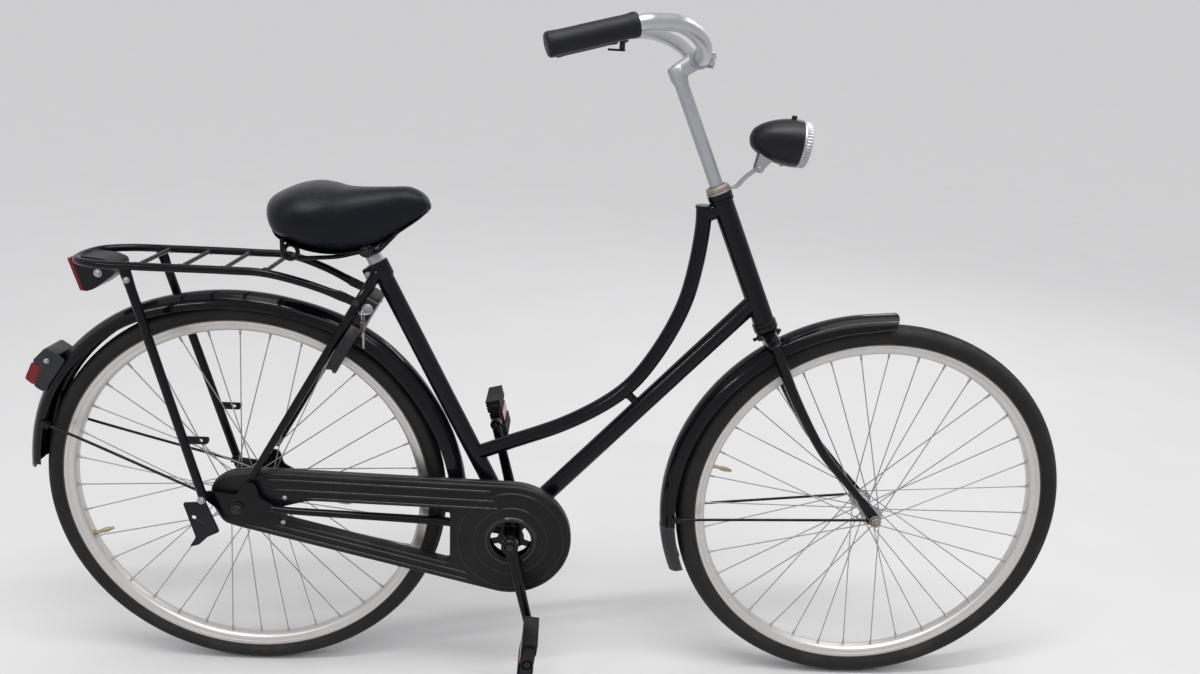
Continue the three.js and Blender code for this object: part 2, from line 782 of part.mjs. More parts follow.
const seatStayHead = (side) => onSeatTube(seatTubeLength - seatStayLugDrop, side * seatStayLugOffset);
const seatStayFoot = (side) => point(rearAxle.x + seatStayFootForward, side * rearDropoutOffset,
  rearAxle.z + seatStayFootUp);

function seatStayTube(side, gap = 0) {
  const head = seatStayHead(side);
  const foot = seatStayFoot(side);
  const run = foot.clone().sub(head);
  const bend = atY(head.clone().addScaledVector(run, seatStayBend / run.length()),
    side * seatStayBendOffset);
  const low = atY(head.clone().lerp(foot, seatStayLowShare),
    side * (rearDropoutOffset - dropoutThickness / 2));
  return taperedTube([head, bend, low, foot], seatStayRadius + gap, stayEndRadius + gap, 8, 8);
}

function seatStay(side) {
  const lug = rod(onSeatTube(seatTubeLength - 2 * seatLugHeight), onSeatTube(seatTubeLength + cutOverrun),
    boreFor(seatLugRadius), roundSegments);
  const inner = side * (rearDropoutOffset - dropoutThickness / 2 - touchGap);
  const outer = side * (rearDropoutOffset + dropoutThickness / 2 + touchGap);
  const slot = plate(inset(shaped(dropoutShares, rearAxle, dropoutLength), -touchGap), inner, outer);
  return cut(seatStayTube(side), lug, slot);
}

// Axles with their cones and nuts turned as one piece each
function axle(centre, dropoutOffset) {
  const inner = dropoutOffset - dropoutThickness / 2 - touchGap;
  const outer = dropoutOffset + dropoutThickness / 2 + touchGap;
  const end = outer + axleNutLength;
  const cone = inner - coneLength;
  const half = [
    [axleRadius, cone], [coneRadius, cone], [coneRadius, inner], [axleRadius, inner], [axleRadius, outer],
    [axleNutRadius, outer], [axleNutRadius, end], [axleRadius, end], [axleRadius, end + axleTip],
  ];
  const mirrored = half.map(([radius, along]) => [radius, -along]).reverse();
  return turned([[0, -end - axleTip], ...mirrored, ...half, [0, end + axleTip]], centre, yAxis, 8);
}

/** The rear axle carries the brake arm, whose clip reaches up to the left chain stay. */
function rearAxleWithArm() {
  const far = brakeArmOffset + brakeArmThickness;
  const ring = crossRod(rearAxle, brakeArmOffset, far, brakeArmRingRadius);
  const end = rearAxle.clone().add(point(brakeArmReach, 0, -brakeArmDrop));
  const half = brakeArmWidth / 2;
  const arm = plate([[rearAxle.x, rearAxle.z + half], [rearAxle.x, rearAxle.z - half], [end.x,
    end.z - half],
    [end.x + brakeArmWidth, end.z - half], [end.x + brakeArmWidth, end.z + brakeArmClip], [end.x,
      end.z + brakeArmClip],
    [end.x, end.z + half]], brakeArmOffset, far);
  return cut(join(axle(rearAxle, rearDropoutOffset), ring, arm), chainStayTube(1, touchGap));
}

// Wheels
function tyre(centre, radius, width) {
  const half = width / 2;
  const bead = rimRadius - tyreBeadDepth;
  const middle = radius - half;
  const lip = rimWidth / 2 - rimWall - touchGap;
  const bulge = half * Math.SQRT1_2;
  const side = [[bead, lip], [rimRadius + touchGap, lip], [middle, half], [middle + bulge, bulge]];
  const mirrored = side.map(([out, along]) => [out, -along]);
  return turned([...mirrored, [radius, 0], ...side.reverse(), [bead, lip / 2], [radius - tyreWall, 0],
    [bead, -lip / 2]], centre, yAxis, wheelSegments);
}

function rim(centre) {
  const half = rimWidth / 2;
  const wall = half - rimWall;
  const well = rimRadius - rimWellDepth;
  const bed = rimRadius - rimBedDepth;
  return turned([[rimRadius, -half], [rimRadius, -wall], [well, -wall], [well, wall], [rimRadius, wall],
    [rimRadius, half], [bed, half * rimBedShare], [bed, -half * rimBedShare]], centre, yAxis,
      wheelSegments);
}

/** Hub shell and spokes as one body; the spokes of a side leave the flange in crossing pairs. */
function hub(centre, flangeRadius, flangeOffset, bodyRadius) {
  const half = flangeThickness / 2;
  const shoulder = flangeOffset + half;
  const end = shoulder + hubCollar;
  const bore = boreFor(axleRadius, runningGap);
  const right = [[bore, end], [bodyRadius, end], [bodyRadius, shoulder], [flangeRadius, shoulder],
    [flangeRadius, flangeOffset - half], [bodyRadius, flangeOffset - half]];
  const left = right.map(([out, along]) => [out, -along]);
  const pieces = [turned([...left, ...right.reverse()], centre, yAxis, 12)];
  const rimInside = rimRadius - rimBedDepth - runningGap;
  const pitch = (4 * Math.PI) / spokeCount;
  for (const side of [-1, 1]) {
    for (let i = 0; i < spokeCount / 2; i += 1) {
      const lean = i % 2 === 0 ? 1 : -1;
      const rimAngle = i * pitch + (side > 0 ? pitch / 2 : 0);
      const headAngle = rimAngle + lean * spokeCrossAngle;
      const headRadius = flangeRadius - half;
      const head = point(headRadius * Math.cos(headAngle), side * (flangeOffset + lean * spokeHeadOffset),
        headRadius * Math.sin(headAngle));
      const tip = point(rimInside * Math.cos(rimAngle), side * spokeRimOffset,
        rimInside * Math.sin(rimAngle));
      pieces.push(rod(head.add(centre), tip.add(centre), spokeRadius, 3));
    }
  }
  return join(...pieces);
}

// Mudguards: a half-round section swept round the wheel, its radius eased along the arc
function easedShare(shares, along) {
  const knots = shares.map((share, i) => point(i, share, 0));
  return new THREE.CatmullRomCurve3(knots).getPoint(along).y;
}

function rearMudguardAt(angle) {
  const along = THREE.MathUtils.inverseLerp(rearMudguardStart, rearMudguardEnd, angle);
  return rearMudguardRadius * easedShare(rearMudguardShares, THREE.MathUtils.clamp(along, 0, 1));
}

function mudguardSurface(centre, radiusAt, start, end, rows, thickness, tail = 0) {
  const columns = 6;
  const grids = [0, thickness].map((depth) => {
    const grid = [];
    for (let row = 0; row <= rows; row += 1) {
      const line = [];
      for (let column = 0; column <= columns; column += 1) {
        const across = -Math.PI / 2 + (Math.PI * column) / columns;
        const reach = tail * (1 - Math.abs(Math.sin(across)));
        const angle = THREE.MathUtils.lerp(start, end + reach, row / rows);
        const crown = radiusAt(angle) - mudguardDepth + (mudguardDepth - depth) * Math.cos(across);
        line.push(centre.clone().add(point(crown * Math.cos(angle),
          (mudguardHalfWidth - depth) * Math.sin(across), crown * Math.sin(angle))));
      }
      grid.push(line);
    }
    return grid;
  });
  return sheet(...grids);
}

function rearMudguard() {
  return mudguardSurface(rearAxle, rearMudguardAt, rearMudguardStart, rearMudguardEnd, rearMudguardRows,
    mudguardSheet,
    rearMudguardTail);
}

function frontMudguard() {
  return mudguardSurface(frontMudguardCentre, () => frontMudguardRadius, frontMudguardStart,
    frontMudguardEnd,
    frontMudguardRows, mudguardSheet);
}

function mudflap() {
  const gap = touchGap / (frontMudguardRadius - mudguardDepth);
  return mudguardSurface(frontMudguardCentre, () => frontMudguardRadius + mudguardSheet / 2,
    frontMudguardEnd + gap, mudflapEnd, 4, 2 * mudguardSheet);
}

/** A wire from behind a dropout or fork end to the side of a mudguard. */
function guardStay(side, from, centre, edgeRadius, angle) {
  const beside = mudguardHalfWidth + guardStayRadius + touchGap;
  const radius = edgeRadius + guardStayOverlap;
  const end = centre.clone().add(point(radius * Math.cos(angle), side * beside, radius * Math.sin(angle)));
  const arrive = atY(from.clone().lerp(end, guardStayArriveShare), side * beside);
  return bentRod([from, arrive, end], guardStayRadius, 6);
}

function rearGuardStay(side) {
  const rear = rearAxle.x + dropoutShares.at(-4)[0] * dropoutLength;
  const up = rearAxle.z + dropoutLength * THREE.MathUtils.lerp(dropoutShares.at(-4)[1],
    dropoutShares.at(-3)[1], guardStayEndShare);
  const from = point(rear - guardStayRadius, side * (rearDropoutOffset - runningGap), up);
  return guardStay(side, from, rearAxle, rearMudguardAt(rearStayAngle) - mudguardDepth, rearStayAngle);
}

function frontGuardStay(side) {
  const from = point(frontAxle.x - forkEndRadius - guardStayRadius / 2 - touchGap,
    side * frontDropoutOffset, frontAxle.z);
  return guardStay(side, from, frontMudguardCentre, frontMudguardRadius - mudguardDepth, frontStayAngle);
}

// Fork: steerer, crown and two raked blades with flattened ends
function fork() {
  const steererTop = headTubeTop + headCupHeight + steererAboveCup;
  const steerer = rod(onSteering(crownBottom), onSteering(steererTop), steererRadius, roundSegments);
  const crownTop = headTubeBottom - headCupHeight - touchGap;
  const crownCentre = onSteering((crownBottom + crownTop) / 2);
  const crown = new THREE.BoxGeometry(2 * crownHalfDepth, 2 * bladeOffset, crownTop - crownBottom);
  crown.rotateY(-steeringLean);
  crown.translate(crownCentre.x, crownCentre.y, crownCentre.z);
  const pieces = [steerer, crown];
  for (const side of [-1, 1]) {
    const knots = bladeShares.map(([up, forward]) => onSteering(up * bladeTop, forward * forkRake,
      side * bladeOffset));
    pieces.push(taperedTube(knots, bladeRadius, bladeEndRadius, 9, 8));
    const inner = side * (frontDropoutOffset - dropoutThickness / 2);
    const outer = side * (frontDropoutOffset + dropoutThickness / 2);
    const foot = atY(knots.at(-1), 0).clone().lerp(knots.at(-2).setY(0), forkEndShare);
    const width = bladeEndRadius * Math.SQRT1_2;
    pieces.push(plate([[foot.x - width, foot.z - width], [foot.x + width, foot.z + width],
      ...arc(frontAxle, forkEndRadius, Math.PI / 4, -3 * Math.PI / 4, 6), [frontAxle.x - forkEndRadius,
        frontAxle.z]],
    inner, outer));
  }
  const bore = rod(onSteering(crownBottom - cutOverrun), onSteering(steererTop + cutOverrun), steererBore,
    roundSegments);
  const axleHole = crossRod(frontAxle, -frontDropoutOffset - cutOverrun, frontDropoutOffset + cutOverrun,
    boreFor(axleRadius));
  return cut(join(...pieces), bore, axleHole);
}

// Headset top: the lamp bracket's ring, then the locknut
const ringStart = headTubeTop + headCupHeight + touchGap;
const lampPivot = onSteering(lampPivotUp, lampPivotForward);

function headsetLocknut() {
  return ringBetween(boreFor(steererRadius), headCupRadius, 0, locknutHeight,
    onSteering(ringStart + bracketSheet + touchGap), steerUp);
}

function lampBracket() {
  const ring = ringBetween(boreFor(steererRadius), headCupRadius, 0, bracketSheet, onSteering(ringStart),
    steerUp);
  const start = onSteering(ringStart + bracketSheet / 2, headCupRadius - bracketSheet);
  const middle = lampBracketShares.map(([along, up]) => point(
    THREE.MathUtils.lerp(start.x, lampPivot.x, along), 0, THREE.MathUtils.lerp(start.z, lampPivot.z, up)));
  const top = [start, ...middle, lampPivot].map((p) => [p.x, p.z + bracketSheet / 2]);
  const bottom = top.map(([x, z]) => [x + bracketSheet / 2, z - bracketSheet]).reverse();
  const cup = rod(onSteering(headTubeTop), onSteering(ringStart), boreFor(headCupRadius, runningGap),
    roundSegments);
  return join(ring, cut(plate([...top, ...bottom], -lampBracketWidth / 2, lampBracketWidth / 2), cup));
}

// Headlamp: a bullet shell on two ears, its lens and rim, and the push button on top
const lampAxis = point(Math.cos(lampTilt), 0, -Math.sin(lampTilt));
const lampUp = point(Math.sin(lampTilt), 0, Math.cos(lampTilt));
const lampRear = lampPivot.clone().add(point(-lampBehindPivot, 0, lampAbovePivot));
const onLamp = (along, up) => lampRear.clone().addScaledVector(lampAxis, along).addScaledVector(lampUp, up);

function lampHousing() {
  const outer = lampProfileShares.map(([out, along]) => [out * lampRadius, along * lampLength]);
  const inner = lampProfileShares.filter((_, i) => i % 2 === 0).map(([out, along]) => [
    out * (lampRadius - 2 * lampWall), 2 * lampWall + along * (lampLength - 2 * lampWall)]).reverse();
  const shell = turned([...outer, ...inner], lampRear, lampAxis, lampSegments);
  const [front, back] = lampLugShares.map(([along, up]) => onLamp(along * lampLength, up * lampRadius));
  const cheek = lampBracketWidth / 2 + touchGap;
  const ears = [-1, 1].map((side) => plate([[front.x, front.z], [back.x, back.z],
    ...arc(lampPivot, lampEarRadius, Math.PI, 2 * Math.PI, 5)], side * cheek,
      side * (cheek + bracketSheet)));
  const inside = turned([...inner.slice().reverse(), [0, lampLength]], lampRear, lampAxis, lampSegments);
  const hole = rod(onLamp(lampLength * lampButtonShare, lampRadius / 2),
    onLamp(lampLength * lampButtonShare, lampRadius + cutOverrun), boreFor(lampButtonRadius),
      roundSegments);
  return cut(join(shell, ...ears.map((ear) => cut(ear, inside))), hole);
}

function lampLens() {
  return turned(lampLensShares.map(([out, along]) => [out * lampRadius, along * lampRimLength]),
    onLamp(lampLength + touchGap, 0), lampAxis, lampSegments);
}

function lampButton() {
  return rod(onLamp(lampLength * lampButtonShare, lampRadius - lampButtonHeight),
    onLamp(lampLength * lampButtonShare, lampRadius + lampButtonHeight), lampButtonRadius, 10);
}

// Stem, bar and grips
const barClamp = onSteering(stemTop).add(point(barClampReach, 0, barClampRise));

function stem() {
  const quill = rod(onSteering(headTubeTop - stemInsertion), onSteering(stemTop), stemRadius,
    roundSegments);
  const cap = rod(onSteering(stemTop - stemCapHeight), onSteering(stemTop), stemCapRadius);
  const arm = rod(onSteering(stemTop - stemArmRadius / 2), barClamp, stemArmRadius);
  const half = clampWidth / 2;
  const clamp = crossRod(barClamp, -half, half, clampRadius);
  const bore = crossRod(barClamp, -clampWidth, clampWidth, boreFor(barRadius));
  return cut(join(quill, cap, arm, clamp), bore);
}

/** Knots of half the bar: the bends, then the straight run that the grip covers. */
function barKnots(side) {
  const bends = barKnotShares.map(([forward, out, up]) => barClamp.clone().add(point(
    forward * barSweepBack, side * out * barHalfWidth, up * barRise)));
  const end = point(barClamp.x - barSweepBack, side * barHalfWidth, barClamp.z + barRise - gripFall);
  const [back, out, up] = gripStartShares;
  const start = barClamp.clone().add(point(back * barSweepBack, side * out * barHalfWidth, up * barRise));
  return { bends, straight: gripKnotShares.map((share) => start.clone().lerp(end, share)) };
}

function handlebar(gap = 0) {
  const [right, left] = [-1, 1].map((side) => barKnots(side)).map(({ bends, straight }) => [...bends,
    ...straight]);
  return bentRod([...right.reverse(), ...left], barRadius + gap, 40, 8);
}

function gripEnd(side) {
  const { straight } = barKnots(side);
  const run = straight.at(0).clone().sub(straight.at(-1)).normalize();
  return { end: straight.at(-1).clone().addScaledVector(run, -gripEndWall), run };
}

function grip(side) {
  const { end, run } = gripEnd(side);
  const bore = boreFor(barRadius, runningGap);
  const sleeve = turned([[0, 0], [gripRadius - gripChamfer, 0], [gripRadius, gripEndWall],
    [gripRadius - gripChamfer, gripLength], [bore, gripLength], [bore, gripEndWall - touchGap],
    [0, gripEndWall - touchGap]], end, run);
  return sleeve;
}

// Bell just inside the left grip, with its thumb lever under the bar
function bellFrame() {
  const { end, run } = gripEnd(1);
  const place = end.clone().addScaledVector(run, gripLength + bellFromGrip);
  return { place, run };
}

function bellPlaceOnBar() {
  const { place } = bellFrame();
  const { bends, straight } = barKnots(1);
  const curve = new THREE.CatmullRomCurve3([...bends, ...straight], false, "centripetal");
  const samples = curve.getSpacedPoints(200);
  return samples.reduce((best,
    sample) => (sample.distanceTo(place) < best.distanceTo(place) ? sample : best));
}

function bell() {
  const place = bellPlaceOnBar();
  const { run } = bellFrame();
  const collar = ringBetween(boreFor(barRadius, bellShim), barRadius + bellCollar, -bellCollarWidth / 2,
    bellCollarWidth / 2, place, run);
  const base = place.clone().add(point(0, 0, barRadius + bellCollar / 2));
  const profile = bellShares.map(([out, up]) => [out * bellRadius, up * bellHeight]);
  const dome = turned(profile, base, point(0, 0, 1));
  const lug = block(place.clone().add(point(0, 0, -barRadius - bellCollar / 2 - bellLugHeight / 2)),
    bellLeverWidth,
    bellLeverWidth, bellLugHeight);
  return join(collar, dome, lug);
}

function bellLever() {
  const place = bellPlaceOnBar();
  const top = place.z - barRadius - bellLugHeight - bellCollar / 2 - touchGap;
  return block(point(place.x - bellLeverLength / 2 + bellLeverWidth / 2, place.y,
    top - bellLeverThickness / 2),
    bellLeverLength, bellLeverWidth, bellLeverThickness);
}

// Saddle
function saddleCushion(lift = 0) {
  const rings = saddleShares.map(([share, widthShare, topShare, skirtShare]) => {
    const x = saddleRearX + share * saddleLength;
    const half = widthShare * saddleHalfWidth;
    const top = topShare * saddleHeight;
    const skirt = skirtShare * saddleHeight;
    const sides = 16;
    return Array.from({ length: sides }, (_, i) => {
      const angle = (2 * Math.PI * i) / sides;
      const across = Math.sign(Math.cos(angle)) * Math.abs(Math.cos(angle)) ** saddleAcrossShare;
      const power = i < sides / 2 ? saddleTopShare : saddleUnderShare;
      const rise = Math.sign(Math.sin(angle)) * Math.abs(Math.sin(angle)) ** power;
      const middle = THREE.MathUtils.lerp(skirt, top, saddleMiddleShare);
      const height = rise > 0 ? THREE.MathUtils.lerp(middle, top, rise) : THREE.MathUtils.lerp(middle,
        skirt, -rise);
      const drawn = rise < 0 ? 1 + saddleDrawnShare * rise : 1;
      return point(x, half * across * drawn, saddleBase + height + lift);
    });
  });
  return loft(rings);
}

/** Centre line of one saddle rail: nose, clamp, then a single curl at the back. */
function saddleRailPoints(side) {
  const knots = saddleRailShares.map(([along, out, up]) => point(saddleRearX + along * saddleLength,
    side * out * saddleHalfWidth, saddleBase + up * saddleHeight));
  const [along, out, up] = saddleCurlShares;
  const centre = point(saddleRearX + along * saddleLength, side * out * saddleHalfWidth,
    saddleBase + up * saddleHeight);
  const turns = 10;
  for (let i = 0; i <= turns; i += 1) {
    const angle = (2 * Math.PI * i) / 8;
    knots.push(centre.clone().add(point(-saddleCurlRadius * Math.sin(angle),
      (side * saddleCurlPitch * i) / 8,
      -saddleCurlRadius * Math.cos(angle))));
  }
  knots.push(knots.at(-1).clone().add(point(0, 0, 2 * saddleCurlRadius)));
  return knots;
}

/** The least gap between stretches of one wire that lie apart along it. */
function leastSelfGap(points, radius) {
  const samples = new THREE.CatmullRomCurve3(points, false, "centripetal").getSpacedPoints(160);
  let least = Infinity;
  samples.forEach((a, i) => samples.slice(i + 1).forEach((b, j) => {
    const along = (j + 1) * a.distanceTo(samples[Math.min(i + 1, 160)]);
    if (along > 6 * radius) least = Math.min(least, a.distanceTo(b) - 2 * radius);
  }));
  return least;
}

function saddleFrame() {
  const pieces = [crossRod(saddleClampAt, -saddleClampHalfLength, saddleClampHalfLength,
    saddleClampRadius)];
  for (const side of [-1, 1]) pieces.push(bentRod(saddleRailPoints(side), saddleRailRadius, 26, 5));
  const post = rod(onSeatTube(seatTubeLength), onSeatTube(seatPostTop + saddleClampRadius),
    boreFor(seatPostRadius),
    roundSegments);
  return cut(join(...pieces), post, saddleCushion(-touchGap), saddleCushion());
}

function seatPost() {
  return cut(rod(onSeatTube(seatTubeLength - seatPostInsertion), onSeatTube(seatPostTop), seatPostRadius,
    roundSegments),
    saddleCushion(-touchGap));
}

// Chain case: front disc, straight top, high rear end, straight underside, and a window between the runs
const caseArcSteps = 16;

function caseOutline() {
  const underside = Math.atan2(bracket.z - caseRadius - (rearAxle.z - caseRearRadius),
    bracket.x - rearAxle.x);
  return [...arc(bracket, caseRadius, -Math.PI / 2 + underside, Math.PI / 2, caseArcSteps),
    ...shaped(caseRearShares, rearAxle, caseRearRadius)];
}

function caseWindow() {
  const outline = caseOutline();
  const heightOn = (x, [x0, z0], [x1, z1]) => THREE.MathUtils.mapLinear(x, x0, x1, z0, z1);
  const top = (x) => heightOn(x, outline[caseArcSteps], outline[caseArcSteps + 1]) - caseUpperArm;
  const bottom = (x) => heightOn(x, outline[0], outline.at(-1)) + caseLowerArm;
  const front = bracket.x - caseRadius;
  const [rear, shoulder] = caseWindowShares.map((share) => rearAxle.x + share * caseRearRadius);
  return [[front, top(front)], [shoulder, top(shoulder)], [rear, top(shoulder) - caseWindowStep], [rear,
    bottom(rear)],
    [front, bottom(front)]];
}

/** One half of the case: a tray whose open side faces the other half. */
function caseHalf(face, middle, faceHoles) {
  const outline = caseOutline();
  const window = caseWindow();
  const direction = Math.sign(middle - face);
  const floor = face + direction * caseWall;
  const body = plate(outline, face, middle, [window]);
  const cavity = plate(inset(outline, caseWall), floor, middle + direction * cutOverrun, [inset(window,
    -caseWall)]);
  const holes = faceHoles.map(([centre, radius]) => crossRod(centre, face - direction * cutOverrun,
    floor + direction * touchGap, radius));
  return cut(body, cavity, ...holes);
}

// Chain and the toothed wheels it runs on
const chainringRadius = (chainringTeeth * chainPitch) / (2 * Math.PI);
const sprocketRadius = (sprocketTeeth * chainPitch) / (2 * Math.PI);

function toothedOutline(centre, radius, teeth) {
  const outline = [];
  for (let i = 0; i < teeth; i += 1) {
    const angle = (2 * Math.PI * i) / teeth;
    const gullet = angle + Math.PI / teeth;
    const root = radius - toothDepth;
    outline.push([centre.x + radius * Math.cos(angle), centre.z + radius * Math.sin(angle)]);
    outline.push([centre.x + root * Math.cos(gullet), centre.z + root * Math.sin(gullet)]);
  }
  return outline;
}

function chainring() {
  const half = chainringThickness / 2;
  const spokes = 5;
  const holes = [];
  const [rimShare, hubShare] = chainringHoleShares;
  const openOuter = Math.PI / spokes - chainringSpokeWidth / (2 * rimShare * chainringRadius);
  const openInner = Math.PI / spokes - chainringSpokeWidth / (2 * hubShare * chainringRadius);
  for (let i = 0; i < spokes; i += 1) {
    const middle = (2 * Math.PI * (i + 0.5)) / spokes;
    holes.push([...arc(bracket, chainringRadius * rimShare, middle - openOuter, middle + openOuter, 4),
      ...arc(bracket, chainringRadius * hubShare, middle + openInner, middle - openInner, 2)]);
  }
  const tip = chainringRadius - chainThickness / 2 - runningGap;
  return plate(toothedOutline(bracket, tip, chainringTeeth), -chainLine - half, -chainLine + half,
    [...holes, circle(bracket, boreFor(spindleRadius))]);
}

function rearSprocket() {
  const half = chainringThickness / 2;
  const tip = sprocketRadius - chainThickness / 2 - runningGap;
  const bore = boreFor(axleRadius, runningGap);
  const disc = plate(toothedOutline(rearAxle, tip, sprocketTeeth), -chainLine - half, -chainLine + half,
    [circle(rearAxle, bore)]);
  const hubEnd = rearFlangeOffset + flangeThickness / 2 + hubCollar;
  const sleeve = ringBetween(bore, coneRadius + sprocketSleeve, -chainLine, -hubEnd - runningGap, rearAxle);
  return join(disc, sleeve);
}

/** The chain's closed path round both toothed wheels, moved out by an offset. */
function chainLoop(offset) {
  const reach = rearAxle.distanceTo(bracket);
  const slope = Math.atan2(bracket.z - rearAxle.z, bracket.x - rearAxle.x);
  const spread = Math.acos((chainringRadius - sprocketRadius) / reach);
  return [...arc(bracket, chainringRadius + offset, slope - Math.PI + spread, slope + Math.PI - spread, 28),
    ...arc(rearAxle, sprocketRadius + offset, slope + Math.PI - spread, slope + Math.PI + spread, 12)];
}

function chain() {
  const half = chainWidth / 2;
  return plate(chainLoop(chainThickness / 2), -chainLine - half, -chainLine + half,
    [chainLoop(-chainThickness / 2)]);
}

// Cranks and pedals; the right crank points down, the left one up
function crankEnd(side) {
  const swing = side < 0 ? crankAngle : crankAngle + Math.PI;
  return point(bracket.x + crankLength * Math.sin(swing), side * crankOffset,
    bracket.z - crankLength * Math.cos(swing));
}

const crankFace = crankOffset + crankThickness / 2;
const pedalStart = crankFace + pedalStandoff;

function crank(side) {
  const boss = atY(bracket, side * crankOffset);
  const end = crankEnd(side);
  const low = side * (crankOffset - crankThickness / 2);
  const high = side * crankFace;
  const arm = rod(boss, end, crankThickness / 2, 10, crankThickness * crankEndShare);
  const pedalAxle = crossRod(end, side * crankOffset, side * (pedalStart + pedalWidth + touchGap),
    pedalAxleRadius, 10);
  const flat = 2 * (spindleFlat + touchGap);
  const squareHole = block(boss, flat, crankThickness + cutOverrun, flat);
  return cut(join(arm, crossRod(boss, low, high, crankBossRadius), crossRod(end, low, high, crankEndRadius),
    pedalAxle),
    squareHole);
}

function crankSpindle() {
  const inner = crankOffset - crankThickness / 2 - touchGap;
  return join(crossRod(bracket, -inner, inner, spindleRadius),
    block(bracket, 2 * spindleFlat, 2 * crankFace, 2 * spindleFlat));
}

/** A block pedal: two rubber treads between end plates, with a sleeve for its axle. */
function pedal(side) {
  const end = crankEnd(side);
  const tread = pedalLength * pedalTreadShare;
  const pieces = [crossRod(point(0, 0, 0), -pedalWidth / 2, pedalWidth / 2, pedalAxleRadius + pedalSleeve)];
  for (const half of [-1, 1]) {
    pieces.push(block(point(0, 0, (half * (pedalLength - tread)) / 2), pedalHeight, pedalWidth - pedalCheek,
      tread));
    pieces.push(block(point(0, (half * (pedalWidth - pedalCheek)) / 2, 0),
      pedalHeight * pedalCheekShares[1], pedalCheek,
      pedalLength * pedalCheekShares[0]));
  }
  const bore = crossRod(point(0, 0, 0), -pedalWidth, pedalWidth, boreFor(pedalAxleRadius));
  const whole = cut(join(...pieces), bore);
  whole.rotateY(pedalLean[side < 0 ? 0 : 1]);
  return whole.translate(end.x, side * (pedalStart + pedalWidth / 2), end.z);
}

// Luggage rack
function rackRail(gap = 0) {
  const bend = rackRungStartX - rackRearX;
  const half = (side) => [
    point(rackFootX, side * rackFootOffset, rackFootHeight),
    ...rackFootShares.map(([along, out, up]) => point(THREE.MathUtils.lerp(rackFootX, rackFrontX, along),
      side * THREE.MathUtils.lerp(rackFootOffset, rackHalfWidth, out),
      THREE.MathUtils.lerp(rackFootHeight, rackHeight, up))),
    point(rackFrontX - bend / 2, side * rackHalfWidth, rackHeight),
    point(rackRungStartX, side * rackHalfWidth, rackHeight),
    ...rackBendShares.map(([along, out]) => point(rackRearX + along * (rackFrontX - rackRearX),
      side * out * rackHalfWidth, rackHeight)),
  ];
  return bentRod([...half(-1), point(rackRearX, 0, rackHeight), ...half(1).reverse()], rackRailRadius + gap,
    34, 7);
}

function rackPlatform() {
  const pieces = [rackRail()];
  for (let i = 0; i < rackRungs; i += 1) {
    const place = point(rackRungStartX + i * rackRungPitch, 0, rackHeight);
    pieces.push(crossRod(place, -rackHalfWidth, rackHalfWidth, rackRungRadius, rodSides));
  }
  return cut(join(...pieces), seatStayTube(-1, touchGap), seatStayTube(1, touchGap));
}

const rackLegTop = (side) => point(rackLegTopX, side * rackHalfWidth, rackHeight);
const rackLegFoot = (side) => point(rackLegFootX, side * rackLegFootOffset, rackLegFootHeight);

function rackLeg(side) {
  const top = rackLegTop(side);
  const foot = rackLegFoot(side);
  const bar = rod(top, foot, rackLegRadius, 10);
  const at = top.clone().lerp(foot, rackTabShare);
  const low = at.z - rackTabHeight / 2;
  const end = at.x + rackTabLength;
  const corner = rackTabHeight / 3;
  const hole = circle(point(end - rackTabHeight, 0, at.z), rackTabHole, 8);
  const tab = plate([[at.x, low], [end - corner, low], [end, low + corner], [end, low + rackTabHeight],
    [at.x, low + rackTabHeight]], at.y - rackTabSheet / 2, at.y + rackTabSheet / 2, [hole]);
  const pad = crossRod(foot, side * (rearDropoutOffset + dropoutThickness / 2 + touchGap),
    side * (rackLegFootOffset + rackLegPad), rackLegRadius);
  return cut(join(bar, tab, pad), rackRail(touchGap + touchGap));
}

// Reflector round the tail of the rack
const reflectorStart = point(rackRearX - reflectorBehindRail, 0, rackHeight);

function reflectorHousing() {
  const outline = reflectorShares.map(([forward, down]) => [reflectorStart.x + forward * reflectorLength,
    reflectorStart.z - down * reflectorHeight]);
  return cut(plate(outline, -reflectorHalfWidth, reflectorHalfWidth), rackRail(runningGap));
}

function reflectorLens() {
  const back = reflectorStart.x - touchGap;
  const foot = back + reflectorShares.at(-1)[0] * reflectorLength;
  return plate([[back, reflectorStart.z], [foot, reflectorStart.z - reflectorHeight],
    [foot - reflectorLensDepth, reflectorStart.z - reflectorHeight], [back - reflectorLensDepth,
      reflectorStart.z]],
  -reflectorHalfWidth, reflectorHalfWidth);
}

// Tail lamp on the rear mudguard
function onTailLamp(along, out) {
  const away = point(Math.cos(tailLampAngle), 0, Math.sin(tailLampAngle));
  const half = tailLampHeight / 2;
  const seat = rearMudguardAt(tailLampAngle) - mudguardSheet + out * tailLampDepth;
  return [rearAxle.x + away.x * seat - away.z * along * half,
    rearAxle.z + away.z * seat + away.x * along * half];
}

function tailLampHousing() {
  const body = plate(tailHousingShares.map(([along, out]) => onTailLamp(along, out)), -tailLampHalfWidth,
    tailLampHalfWidth);
  const guard = mudguardSurface(rearAxle, (angle) => rearMudguardAt(angle) + runningGap, rearMudguardStart,
    rearMudguardEnd, rearMudguardRows, mudguardDepth / 2, rearMudguardTail);
  return cut(body, guard);
}

function tailLampLens() {
  return plate(tailLensShares.map(([along, out]) => onTailLamp(along, out)), -tailLampHalfWidth,
    tailLampHalfWidth);
}

/** The strap hook plate lies on the outer end of the right rack leg's foot. */
function strapHook() {
  const face = -(rackLegFootOffset + rackLegPad + touchGap);
  const hole = point(rearAxle.x + strapHookHoleShares[0] * strapHookLength, 0,
    rearAxle.z + strapHookHoleShares[1] * strapHookLength);
  return plate(shaped(strapHookShares, rearAxle, strapHookLength), face - strapHookSheet, face,
    [circle(hole, strapHookHole, 10)]);
}

